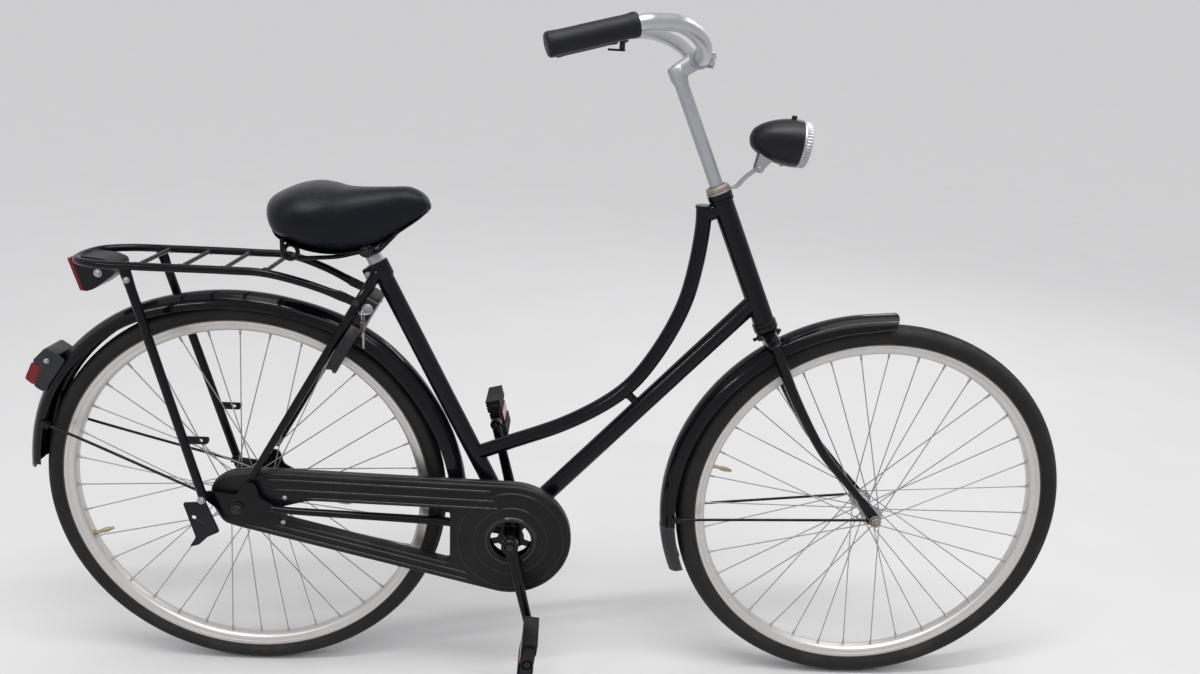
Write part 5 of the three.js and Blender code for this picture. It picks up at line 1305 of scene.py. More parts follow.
@dataclass
class FrameTubes(Assembly):
    """The frame: head tube, swan-neck top tube, down tube, seat tube, stays and dropouts."""

    head_radius: float = 18.0
    cup_radius: float = 20.5
    top_radius: float = 13.0
    down_radius: float = 15.5
    seat_radius: float = 14.8
    lug_radius: float = 18.0
    lug_height: float = 26.0
    lug_up: float = 617.0
    lug_back: float = -34.0
    down_tube_up: float = 448.0
    neck_joint: float = 155.0
    shell_half: float = 34.0
    dropout_length: float = 62.0
    neck_shares: tuple[Pair, ...] = (
        (-0.003, 0.068), (0.014, 0.221), (0.049, 0.359), (0.121, 0.501), (0.222, 0.639),
        (0.297, 0.711), (0.412, 0.784), (0.588, 0.865), (0.829, 0.944))
    dropout_shares: tuple[Pair, ...] = (
        (1, -0.16), (1, 0.1), (0.61, 0.32), (0.52, 0.74), (0.26, 0.8), (0, 0.39), (-0.48, 0.45), (-0.84, 0.48),
        (-0.84, 0.19), (-0.29, -0.26), (0.19, -0.29))

    def build(self) -> None:
        """Makes the frame's pieces."""
        self.put("head_tube_skin", self.head_tube(), ENAMEL, "frame", ["head_tube"])
        self.put("swan_neck", self.top_tube(), ENAMEL, "frame", ["top_tube"], bevel=0.8)
        self.put("down_tube_skin", self.down_tube(), ENAMEL, "frame", ["down_tube"])
        self.put("seat_tube_skin", self.seat_tube(), ENAMEL, "frame", ["seat_tube"], bevel=0.5)
        self.put("seat_bolt", self.seat_bolt(), STEEL, "frame", bevel=0.3)
        for side in Side:
            s = side.value
            self.put(f"chain_stay_{side.word}_skin", [self.chain_stay(s), self.dropout(s)], ENAMEL, "frame",
                     [f"chain_stay_{side.word}"], bevel=0.7)
            self.put(f"seat_stay_{side.word}_skin", self.seat_stay(s), ENAMEL, "frame", [f"seat_stay_{side.word}"])

    def head_tube(self) -> Shape:
        """The head tube with its pressed cups and their lips.

        Returns:
            The turned tube.
        """
        h, c, r, k = LAYOUT.head_length, LAYOUT.cup_height, self.head_radius, self.cup_radius
        profile = [(15.8, -c), (k - 1, -c), (k, -c + 1), (k, -3.5), (k - 1.2, -2.6), (k - 1.2, -1.6), (k, -0.8),
                   (k, 2.2), (r + 0.4, 3.4), (r, 6), (r, h - 6), (r + 0.4, h - 3.4), (k, h - 2.2), (k, h + 0.8),
                   (k - 1.2, h + 1.6), (k - 1.2, h + 2.6), (k, h + 3.5), (k, h + c - 1), (k - 1, h + c), (15.8, h + c)]
        return lathe(profile, LAYOUT.on_steering(LAYOUT.head_bottom), LAYOUT.steer_up, 48)

    def neck_path(self) -> Vec:
        """The swan neck's centre line, from beside the head tube to the seat tube.

        Returns:
            121 points.
        """
        head, seat = LAYOUT.on_steering(self.lug_up + 13, self.lug_back + 4), LAYOUT.on_seat_tube(self.neck_joint)
        middle = [vec(blend_of(head[0], seat[0], back), 0, blend_of(head[2], seat[2], down))
                  for back, down in self.neck_shares]
        return smooth_path([head, *middle, seat], 120)

    def top_tube(self) -> list[Shape]:
        """The swan neck and the lug that carries its upper end.

        Returns:
            The neck, lug, cap and gusset.
        """
        path = self.neck_path()
        neck = tube(path, self.top_radius, 28)
        lug_at = LAYOUT.on_steering(self.lug_up, self.lug_back)
        lug = tube(np.array([lug_at, LAYOUT.on_steering(self.lug_up)]), self.top_radius, 28)
        first = unit(path[0] - path[1])
        cap = lathe([(13.0, 0), (14.2, 0.6), (14.2, 3.4), (13.4, 4.2), (0, 4.2)], path[0] - first * 2.2, first, 32)
        gusset = prism(rounded([(0, -13), (0, 11), (24, 11), (24, -13)], 3), -6, 6, origin=lug_at,
                       u=LAYOUT.steer_forward, v=LAYOUT.steer_up)
        return [neck, lug, cap, gusset]

    def down_tube(self) -> list[Shape]:
        """The down tube and its small bridge to the swan neck.

        Returns:
            The tube and the bridge.
        """
        start, end = LAYOUT.bracket, LAYOUT.on_steering(self.down_tube_up)
        run = unit(end - start)
        across = vec(-run[2], 0, run[0])
        foot = start + (end - start) * 0.545
        main = tube(np.array([start, start + run * 60, end - run * 40, end]), self.down_radius, 28)
        bridge = tube(np.array([foot, foot + across * 8, foot + across * 26, foot + across * 34]),
                      [9.5, 7.2, 7.2, 9.5], 20)
        return [main, bridge]

    def seat_tube(self) -> list[Shape]:
        """The seat tube with its lug at the top and the bracket shell at its foot.

        Returns:
            The tube, lug, shell and clamp ear.
        """
        top = LAYOUT.seat_tube_length
        tube_shape = tube(np.array([LAYOUT.on_seat_tube(0), LAYOUT.on_seat_tube(top)]), self.seat_radius, 28)
        low, r, k = top - self.lug_height, self.seat_radius, self.lug_radius
        lug = lathe([(r, low - 6), (r + 0.8, low - 4), (k - 0.6, low), (k, low + 1.5), (k, top - 1.2), (k - 1, top),
                     (13.3, top), (13.3, top - 20)], LAYOUT.bracket, LAYOUT.seat_up, 40)
        s = self.shell_half
        shell = lathe([(9, -s), (19, -s), (20, -s + 1), (20, -s + 6), (19.6, -s + 7), (19.6, s - 7), (20, s - 6),
                       (20, s - 1), (19, s), (9, s)], LAYOUT.bracket, Y_AXIS, 40)
        ear = prism(rounded([(10, -11), (27, -11), (27, 11), (10, 11)], 4), -7, 7, origin=LAYOUT.on_seat_tube(top - 13),
                    u=vec(-LAYOUT.seat_up[2], 0, LAYOUT.seat_up[0]), v=LAYOUT.seat_up)
        return [tube_shape, lug, shell, ear]

    def seat_bolt(self) -> Shape:
        """The clamp bolt through the ear behind the seat lug.

        Returns:
            Its two heads.
        """
        back = vec(-LAYOUT.seat_up[2], 0, LAYOUT.seat_up[0])
        at = LAYOUT.on_seat_tube(LAYOUT.seat_tube_length - 13) + back * 20
        return gather([hex_nut(at - Y_AXIS * 7, -Y_AXIS, 6.2, 4.5), hex_nut(at + Y_AXIS * 7, Y_AXIS, 6.2, 4.5, 3)])

    def chain_stay(self, side: int) -> Shape:
        """One chain stay.

        Args:
            side: 1 left, -1 right.

        Returns:
            The tapering tube.
        """
        a, b = LAYOUT.rear_axle, LAYOUT.bracket
        end = vec(a[0] + self.dropout_length - 6, side * LAYOUT.dropout, a[2])
        shares = ((0, 0), (0.255, 0), (0.35, 0.09), (0.955, 1), (1, 1))
        knots = [vec(blend_of(b[0], end[0], back), side * blend_of(23, LAYOUT.dropout, out),
                     blend_of(b[2], end[2], back)) for back, out in shares]
        path = smooth_path(knots, 60)
        return tube(path, np.linspace(8.5, 6, 61), 20)

    def dropout(self, side: int) -> Shape:
        """The flat plate at the end of a chain stay.

        Args:
            side: 1 left, -1 right.

        Returns:
            The plate, with the hole for the axle.
        """
        a = LAYOUT.rear_axle
        outline = rounded(placed(self.dropout_shares, a, self.dropout_length), 7)
        return plate(outline, side, LAYOUT.dropout - 2, LAYOUT.dropout + 2, [circle(a[0], a[2], 5.4, 24)])

    def seat_stay(self, side: int) -> Shape:
        """One seat stay from the seat lug to its dropout.

        Args:
            side: 1 left, -1 right.

        Returns:
            The tapering tube with rounded ends.
        """
        head = LAYOUT.on_seat_tube(LAYOUT.stay_head, side * 16)
        foot = LAYOUT.stay_foot + vec(0, side * LAYOUT.dropout, 0)
        run = foot - head
        bend = head + run * (60 / np.linalg.norm(run))
        bend[1] = side * 34
        low = head + run * 0.8
        low[1] = side * (LAYOUT.dropout - 2)
        path = smooth_path([head, bend, low, foot], 60)
        return tube(path, np.linspace(8, 6, 61), 20, across=np.linspace(0.92, 1.0, 61), round_ends=True)


# Fork and headset


@dataclass
class ForkSet(Assembly):
    """The fork, the headset's upper parts and the bracket of the headlamp."""

    blade_offset: float = 47.0
    blade_top: float = 384.0
    crown_low: float = 373.0
    crown_high: float = 392.7
    blade_shares: tuple[Pair, ...] = (
        (1, 0.03), (0.833, 0.015), (0.635, 0.09), (0.409, 0.285), (0.229, 0.615), (0.073, 0.92))

    def build(self) -> None:
        """Makes the fork's pieces."""
        blades = [self.blade(s.value) for s in Side]
        ends = [self.fork_end(s.value) for s in Side]
        self.put("fork_blades", [*blades, *self.crown()], ENAMEL, "fork", ["fork"])
        self.put("fork_ends", ends, ENAMEL, "fork", bevel=0.6)
        self.put("steerer", self.steerer(), STEEL, "fork")
        self.put("headset_nut", self.headset(), RUST, "fork", ["headset_locknut"], bevel=0.4)
        self.put("crown_bolt", self.crown_bolt(), PLASTIC, "fork", bevel=0.3)
        self.put("lamp_strap", self.lamp_strap(), STEEL, "fork", ["lamp_bracket"], bevel=0.4)

    def blade(self, side: int) -> Shape:
        """One raked blade, oval at the crown and round at its foot.

        Args:
            side: 1 left, -1 right.

        Returns:
            The blade.
        """
        knots = [LAYOUT.on_steering(up * self.blade_top, forward * LAYOUT.rake, side * self.blade_offset)
                 for up, forward in self.blade_shares]
        path = smooth_path(knots, 70)
        along = np.linspace(0, 1, 71)
        return tube(path, 10.0 - 3.6 * along**1.15, 24, across=1.4 - 0.4 * along, round_ends=True)

    def crown(self) -> list[Shape]:
        """The crown: a rounded bridge between the blades, its collar and the lower race.

        Returns:
            The bridge and the collar.
        """
        up = LAYOUT.steer_up
        low, high = self.crown_low, self.crown_high
        across = np.linspace(-1, 1, 25)
        rings = []
        for share in across:
            fall = 7 * abs(share) ** 2.4
            depth = 14.5 - 3.0 * abs(share) ** 1.5
            top, bottom = high - 1 - fall, low + 0.5 - fall * 0.3
            middle, half = (top + bottom) / 2, (top - bottom) / 2
            rings.append(np.array([LAYOUT.on_steering(middle + half * bulge(sin(a), 0.6), depth * bulge(cos(a), 0.6),
                                                      share * (self.blade_offset + 2)) for a in turn(20)]))
        bridge = loft(rings)
        collar = lathe([(17, -2), (18.5, 0), (18.5, 7), (16, 9.6), (14, 9.6)], LAYOUT.on_steering(high - 10), up, 40)
        return [bridge, collar]

    def fork_end(self, side: int) -> Shape:
        """The flat end of a blade round the axle.

        Args:
            side: 1 left, -1 right.

        Returns:
            The plate.
        """
        a = LAYOUT.front_axle
        knots = [LAYOUT.on_steering(up * self.blade_top, forward * LAYOUT.rake)
                 for up, forward in self.blade_shares[-2:]]
        foot = knots[1] + (knots[0] - knots[1]) * 0.3
        outline = [(foot[0] - 5.2, foot[2] - 5.2), (foot[0] + 5.2, foot[2] + 5.2),
                   *arc(a[0], a[2], 11, pi / 4, -3 * pi / 4, 14), (a[0] - 11, a[2])]
        return plate(outline, side, LAYOUT.fork_end - 2, LAYOUT.fork_end + 2, [circle(a[0], a[2], 5.4, 24)])

    def steerer(self) -> Shape:
        """The steerer's plain tube, seen only where it leaves the headset.

        Returns:
            The tube.
        """
        top = LAYOUT.cup_top + 10
        start = LAYOUT.on_steering(self.crown_low + 4)
        length = top - self.crown_low - 4
        return lathe([(11.5, 0), (12.7, 0), (12.7, length - 0.6), (12.2, length), (11.5, length)], start,
                     LAYOUT.steer_up, 36, ring=True)

    def headset(self) -> list[Shape]:
        """The keyed washer and the eight-sided locknut on top of the headset.

        Returns:
            The washer and the nut.
        """
        start = LAYOUT.cup_top + 3.1
        nut = lathe([(13.2, 0), (20.2, 0), (20.4, 0.8), (20.4, 6.4), (18.4, 7.8), (13.2, 7.8)],
                    LAYOUT.on_steering(start), LAYOUT.steer_up, 8, ring=True, start=0.39)
        lip = lathe([(13, 7.6), (16.2, 7.6), (15.6, 8.9), (13, 9.2)], LAYOUT.on_steering(start),
                    LAYOUT.steer_up, 36, ring=True)
        return [nut, lip]

    def crown_bolt(self) -> list[Shape]:
        """The bolt through the crown that carries the front mudguard.

        Returns:
            The bolt's parts.
        """
        at = LAYOUT.on_steering(self.crown_low + 9)
        forward = LAYOUT.steer_forward
        return [hex_nut(at - forward * 14, -forward, 6.4, 5), washer(at - forward * 13.2, -forward, 8),
                bar(at - forward * 27, at - forward * 14, 3, sides=14), washer(at + forward * 13.6, forward, 8),
                hex_nut(at + forward * 14.4, forward, 6.4, 5, 3),
                bar(at + forward * 14, at + forward * 23, 3, sides=14)]

    def lamp_strap(self) -> list[Shape]:
        """The pressed strap from the headset to the lamp's pivot, with a turned-up edge.

        Returns:
            The strap's parts.
        """
        top = LAYOUT.cup_top
        ring = lathe([(13.2, 0.3), (20.2, 0.3), (20.4, 0.7), (20.4, 2.3), (20.0, 2.7), (13.2, 2.7)],
                     LAYOUT.on_steering(top), LAYOUT.steer_up, 40, ring=True)
        start, pivot = LAYOUT.on_steering(top + 1.6, 18), LAYOUT.lamp_pivot
        knots = [start, vec(blend_of(start[0], pivot[0], 0.25), 0, blend_of(start[2], pivot[2], 0.06)),
                 vec(blend_of(start[0], pivot[0], 0.55), 0, blend_of(start[2], pivot[2], 0.5)), pivot]
        path = smooth_path(knots, 30)
        section = [(-9, -1.2), (9, -1.2), (9, 2.6), (7.6, 2.6), (7.4, 1.2), (-7.4, 1.2), (-7.6, 2.6), (-9, 2.6)]
        rings = []
        for place, tangent in zip(path, np.gradient(path, axis=0)):
            t = unit(tangent)
            normal = vec(-t[2], 0, t[0])
            rings.append(np.array([place + Y_AXIS * a + normal * b for a, b in section]))
        return [ring, loft(rings)]


# Mudguards


@dataclass
class Mudguards(Assembly):
    """Both mudguards, the mudflap and the wire stays."""

    half_width: float = 27.0
    depth: float = 24.0
    sheet: float = 1.3
    rear_radius: float = 373.0
    rear_start: float = radians(5)
    rear_end: float = radians(172)
    rear_stay_angle: float = radians(159)
    front_stay_angle: float = radians(184)
    rear_tail: float = radians(3.5)
    front_radius: float = 366.0
    front_setback: float = 12.0
    front_start: float = radians(88)
    front_end: float = radians(187)
    flap_end: float = radians(202)
    rear_shares: tuple[float, ...] = (1.018, 1.004, 1.002, 0.978, 0.981, 1.005, 1.01, 0.992)

    def build(self) -> None:
        """Makes both mudguards and what hangs on them."""
        rear, front = LAYOUT.rear_axle, LAYOUT.front_axle - X_AXIS * self.front_setback
        back = self.guard(rear, self.rear_at, self.rear_start, self.rear_end, 110, self.rear_tail)
        self.put("rear_mudguard_skin", back, ENAMEL, "frame", ["rear_mudguard"], crease=60)
        fore = self.guard(front, lambda _: self.front_radius, self.front_start, self.front_end, 70, nose=True)
        self.put("front_mudguard_skin", fore, ENAMEL, "fork", ["front_mudguard"], crease=60)
        start = self.front_end - 0.4 / self.front_radius
        flap = self.guard(front, lambda _: self.front_radius + 0.8, start, self.flap_end, 14, taper=0.12)
        self.put("mudflap_skin", flap, GREY_PLASTIC, "fork", ["mudflap"], crease=60)
        high, low = placed(FrameTubes.dropout_shares[7:9], rear, FrameTubes.dropout_length)
        axle, angle = LAYOUT.front_axle, self.rear_stay_angle
        for side in Side:
            s = side.value
            start = vec(high[0] - 2.5, s * (LAYOUT.dropout - 0.6), blend_of(high[1], low[1], 0.3))
            self.put(f"rear_stay_{side.word}_wire", self.stay(s, start, rear, self.rear_at(angle) - self.depth, angle),
                     ENAMEL, "frame", [f"rear_guard_stay_{side.word}"])
            start = vec(axle[0] - 12.6, s * LAYOUT.fork_end, axle[2])
            self.put(f"front_stay_{side.word}_wire",
                     self.stay(s, start, front, self.front_radius - self.depth, self.front_stay_angle),
                     ENAMEL, "fork", [f"front_guard_stay_{side.word}"])

    def rear_at(self, angle: float) -> float:
        """The rear mudguard's radius at an angle round the axle.

        Args:
            angle: the angle above the forward direction.

        Returns:
            The radius of its crown.
        """
        share = (angle - self.rear_start) / (self.rear_end - self.rear_start)
        share = min(1.0, max(0.0, share)) * (len(self.rear_shares) - 1)
        shares = [2 * self.rear_shares[0] - self.rear_shares[1], *self.rear_shares,
                  2 * self.rear_shares[-1] - self.rear_shares[-2]]
        i = min(int(share), len(self.rear_shares) - 2)
        s = share - i
        p0, p1, p2, p3 = shares[i:i + 4]
        value = 0.5 * (2 * p1 + (p2 - p0) * s + (2 * p0 - 5 * p1 + 4 * p2 - p3) * s**2
                       + (3 * p1 - p0 - 3 * p2 + p3) * s**3)
        return self.rear_radius * value

    def section(self, thickness: float) -> list[tuple[float, float]]:
        """The half-round section with its raised bands.

        Args:
            thickness: how far inside the outer skin.

        Returns:
            Pairs of lateral place and drop from the crown.
        """
        points = []
        for i in range(33):
            across = -pi / 2 + pi * i / 32
            lateral = (self.half_width - thickness) * sin(across)
            drop = self.depth - (self.depth - thickness) * cos(across)
            ridge = 1.1 * exp(-((abs(sin(across)) - 0.62) / 0.05) ** 2)
            points.append((lateral, drop + ridge * 0.9))
        return points

    def guard(self, centre: Vec, radius_at: Callable[[float], float], start: float, end: float, rows: int,
              tail: float = 0.0, nose: bool = False, taper: float = 0.0) -> list[Shape]:
        """One mudguard as a thin bent sheet with rolled edges.

        Args:
            centre: centre of its arc.
            radius_at: its crown's radius at an angle.
            start: angle of its first end.
            end: angle of its last end.
            rows: steps along it.
            tail: extra angle of its middle at the last end.
            nose: flare its first end and round its corners.
            taper: how much narrower its last end is, as a share.

        Returns:
            The sheet and its two rolled edges.
        """
        outer, inner = self.section(0.0), self.section(self.sheet)
        rings, edges = [], ([], [])
        for row in range(rows + 1):
            share = row / rows
            narrow = 1 - taper * share
            flare = max(0.0, 1 - share / 0.075) if nose else 0.0
            ring = []
            for skin in (outer, list(reversed(inner))):
                for lateral, drop in skin:
                    reach = tail * (1 - abs(lateral) / self.half_width)
                    rounding = 0.0
                    if nose:
                        rounding = radians(1.1) * (abs(lateral) / self.half_width) ** 6 + radians(0.25) * (
                            drop / self.depth) ** 3
                    angle = blend_of(start + rounding, end + reach, share)
                    radius = radius_at(angle) - drop * (1 - 0.1 * flare) + 3.2 * flare**2
                    ring.append(centre + radius * toward(angle) + Y_AXIS * (lateral * narrow))
            rings.append(np.array(ring))
            edges[0].append(ring[0] + vec(0, 0.4, 0))
            edges[1].append(ring[len(outer) - 1] - vec(0, 0.4, 0))
        sheet = loft(rings)
        beads = [tube(np.array(edge), 1.15, 8) for edge in edges]
        return [sheet, *beads]

    def stay(self, side: int, start: Vec, centre: Vec, edge: float, angle: float) -> list[Shape]:
        """One wire stay with its clamp block on the mudguard's edge.

        Args:
            side: 1 left, -1 right.
            start: its end at the axle.
            centre: centre of the mudguard's arc.
            edge: radius of the mudguard's edge.
            angle: where it meets the edge.

        Returns:
            The wire and its block.
        """
        beside = self.half_width + 2.8
        end = centre + toward(angle) * (edge + 6) + Y_AXIS * (side * beside)
        arrive = start + (end - start) * 0.9
        arrive[1] = side * beside
        path = smooth_path([start, arrive, end], 24)
        wire = tube(path, 2.4, 12, round_ends=True)
        along = unit(end - arrive)
        block = box_shape(end - along * 9 - Y_AXIS * (side * 0.4), (17, 7.2, 9.5), along, Y_AXIS,
                          np.cross(along, Y_AXIS))
        eye = lathe([(4.5, -1.6), (5.6, -1.0), (5.6, 1.4), (4.5, 2.0)], start, unit(start - arrive), 20)
        head = screw(end - along * 9 + Y_AXIS * (side * 3.2), Y_AXIS * side, 3.1, 1.6)
        return [wire, block, eye, head]


# Drive


@dataclass
class ChainDrive(Assembly):
    """The closed chain case and the chain, chainring and sprocket inside it."""

    radius: float = 106.0
    outer_face: float = 58.5
    inner_face: float = 32.0
    rear_radius: float = 43.0
    upper_arm: float = 50.0
    lower_arm: float = 34.0
    window_step: float = 14.0
    crank_hole: float = 36.0
    teeth: int = 44
    chain_pitch: float = 12.7
    shell_hole: float = 24.0
    axle_hole: float = 12.0
    rear_shares: tuple[Pair, ...] = (
        (0.5, 1.47), (-0.42, 1.36), (-1.07, 0.9), (-1.18, 0.1), (-0.72, -0.82), (-0.2, -1.0))
    window_shares: Pair = (1.55, 2.7)
    arm_gap: tuple[Pair, ...] = ((23, -0.4), (24, 0), (23, 0.4), (70, 0.54), (72, 0), (70, -0.54))
    screws: tuple[Pair, ...] = ((-476, 361), (-481, 314), (-508, 331))

    def build(self) -> None:
        """Makes the case and dresses what runs inside it."""
        middle = LAYOUT.chain_line
        crank, axle = LAYOUT.bracket, LAYOUT.rear_axle
        outer = self.half(-self.outer_face, -middle - 0.2, [(crank, self.crank_hole), (axle, self.axle_hole)])
        self.put("case_ridges", self.ridges(), CASE_GLOSS, "frame", crease=50)
        self.put("case_outer_skin", outer, CASE, "frame", ["chain_case_outer"], crease=30)
        self.put("spider_ring", self.spider(), ENAMEL, "crankset", ["chainring"], bevel=0.4)
        inner = self.half(-self.inner_face, -middle + 0.2, [(crank, self.crank_hole + 1), (axle, self.shell_hole)])
        self.put("case_inner_skin", inner, CASE, "frame", ["chain_case_inner"], crease=30)
        self.put("case_seam", self.seam(), CASE_GLOSS, "frame")
        self.put("case_screws", self.screw_heads(), STEEL, "frame")
        for name, finish in (("chain", CHAIN), ("rear_sprocket", CHAIN), ("crank_spindle", DARK_STEEL)):
            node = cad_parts[name]
            node.data.materials.clear()
            node.data.materials.append(finish.material())
            eased = node.modifiers.new("eased_edges", "BEVEL")
            eased.width = 0.3 * MM
            eased.limit_method = "ANGLE"

    def outline(self) -> list[Pair]:
        """The case's outline: front disc, straight top, high rear end and straight underside.

        Returns:
            Its corners, from the underside round the front.
        """
        b, a = LAYOUT.bracket, LAYOUT.rear_axle
        slope = atan2(b[2] - self.radius - (a[2] - self.rear_radius), b[0] - a[0])
        front = arc(b[0], b[2], self.radius, -pi / 2 + slope, pi / 2, 48)
        rear = placed(self.rear_shares, a, self.rear_radius)
        curved = rounded([front[-1], *rear, front[0]], 20, 6)
        return [*front, *curved[7:-7]]

    def edges(self) -> tuple[Callable[[float], float], Callable[[float], float]]:
        """The heights of the straight top and underside at a place along the bicycle.

        Returns:
            A function for each.
        """
        b, a = LAYOUT.bracket, LAYOUT.rear_axle
        slope = atan2(b[2] - self.radius - (a[2] - self.rear_radius), b[0] - a[0])
        rear = placed(self.rear_shares, a, self.rear_radius)
        low_front = (b[0] + self.radius * cos(-pi / 2 + slope), b[2] + self.radius * sin(-pi / 2 + slope))

        def height(x: float, first: Pair, second: Pair) -> float:
            """The height at x of the line through two points."""
            return blend_of(first[1], second[1], (x - first[0]) / (second[0] - first[0]))

        return (lambda x: height(x, (b[0], b[2] + self.radius), rear[0])), (lambda x: height(x, low_front, rear[-1]))

    def window(self) -> list[Pair]:
        """The opening between the upper and lower runs.

        Returns:
            Its corners.
        """
        top, low = self.edges()
        front = LAYOUT.bracket[0] - self.radius
        rear, shoulder = (LAYOUT.rear_axle[0] + share * self.rear_radius for share in self.window_shares)
        corners = [(front, top(front) - self.upper_arm), (shoulder, top(shoulder) - self.upper_arm),
                   (rear, top(shoulder) - self.upper_arm - self.window_step), (rear, low(rear) + self.lower_arm),
                   (front, low(front) + self.lower_arm)]
        return rounded(corners, 12, 5)

    def half(self, face: float, middle: float, holes: Sequence[tuple[Vec, float]]) -> list[Shape]:
        """One half of the case with softly rounded edges.

        Args:
            face: lateral place of its flat face.
            middle: lateral place of its open side.
            holes: centre and radius of each round hole.

        Returns:
            The face, the rim round it and the rims of its openings.
        """
        way = 1.0 if middle > face else -1.0
        steps = ((0.0, 7.5), (0.5, 4.6), (1.7, 2.2), (3.6, 0.7), (6.2, 0.0), (abs(middle - face), 0.0))
        outline, window = self.outline(), self.window()
        rings = [np.array([(x, face + way * depth, z) for x, z in inset(outline, back)]) for depth, back in steps]
        inner_steps = ((0.0, -4.0), (0.5, -2.2), (1.8, -0.8), (3.6, 0.0), (abs(middle - face), 0.0))
        walls = [np.array([(x, face + way * depth, z) for x, z in inset(window, back)]) for depth, back in inner_steps]
        loops = [inset(outline, 7.5), inset(window, -4.0)]
        rims = []
        for centre, radius in holes:
            loops.append(circle(centre[0], centre[2], radius + 1.6, 40))
            rims.append(lathe([(radius + 1.6, 0), (radius + 0.4, 0.4), (radius, 1.4), (radius, 3.2), (radius + 2, 3.2)],
                              vec(centre[0], face, centre[2]), Y_AXIS * way, 40))
        points = [vec(x, face, z) for loop in loops for x, z in loop]
        triangles = tessellate_polygon([[Vector((x, z, 0)) for x, z in loop] for loop in loops])
        flat = Shape(np.array(points), [tuple(t) for t in triangles])
        lining = np.array([(x, middle, z) for x, z in inset(outline, 3.0)])
        return [flat, loft([*rings, lining], caps=False), loft(walls, caps=False), *rims]

    def ridges(self) -> list[Shape]:
        """Raised lines along the upper run and round the front disc, and the disc's sunken ring.

        Returns:
            The lines and the ring.
        """
        b = LAYOUT.bracket
        face = vec(b[0], -self.outer_face, b[2])
        top, low = self.edges()
        parts = [lathe([(r - 1.6, 0.2), (r - 0.9, -0.9), (r + 0.9, -0.9), (r + 1.6, 0.2)], face, Y_AXIS, 72)
                 for r in (64.0, 92.0)]
        parts.append(lathe([(39.5, 0.2), (40.5, -1.6), (45, -2.0), (47, 0.2)], face, Y_AXIS, 64))
        for drop, back in ((12.0, -505.0), (30.0, -495.0), (44.0, -440.0)):
            front = b[0] - 40.0 + drop * 0.4
            line = [vec(x, -self.outer_face + 0.3, top(x) - drop) for x in np.linspace(front, back, 30)]
            parts.append(tube(np.array(line), 2.4, 10, round_ends=True))
        for rise, back in ((11.0, -545.0), (24.0, -495.0)):
            line = [vec(x, -self.outer_face + 0.3, low(x) + rise) for x in np.linspace(b[0] - 70.0, back, 30)]
            parts.append(tube(np.array(line), 2.0, 10, round_ends=True))
        return parts

    def seam(self) -> list[Shape]:
        """The raised lip where the halves meet.

        Returns:
            The lip.
        """
        line = [vec(x, -LAYOUT.chain_line, z) for x, z in inset(self.outline(), -0.2)]
        ring = [np.array([p + vec(0, 1.6 * cos(t), 0) + vec(0, 0, 1.0 * sin(t))
                          for p in line]) for t in turn(6)]
        return [loft(ring, caps=False, loop=True)]

    def spider(self) -> Shape:
        """The chainring: its teeth, rim, five arms and boss.

        Returns:
            The ring.
        """
        b = LAYOUT.bracket
        low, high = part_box("chainring")
        pitch = 0.5 * self.chain_pitch / sin(pi / self.teeth)
        outline = []
        for i in range(4 * self.teeth):
            radius = pitch + (3.4, 3.4, -3.6, -3.6)[i % 4]
            angle = TAU * (i + (0.22, -0.22, 0.0, 0.0)[i % 4]) / (4 * self.teeth)
            outline.append((b[0] + radius * cos(angle), b[2] + radius * sin(angle)))
        holes = []
        for i in range(5):
            middle = TAU * (i + 0.2) / 5
            corners = [(b[0] + r * cos(middle + t), b[2] + r * sin(middle + t)) for r, t in self.arm_gap]
            holes.append(rounded(corners, 6, 4))
        return prism(outline, low[1] / MM, high[1] / MM, holes)

    def screw_heads(self) -> list[Shape]:
        """The screws that hold the halves and the rear cover."""
        return [screw(vec(x, -self.outer_face, z), -Y_AXIS, 4.2, 2.2) for x, z in self.screws]


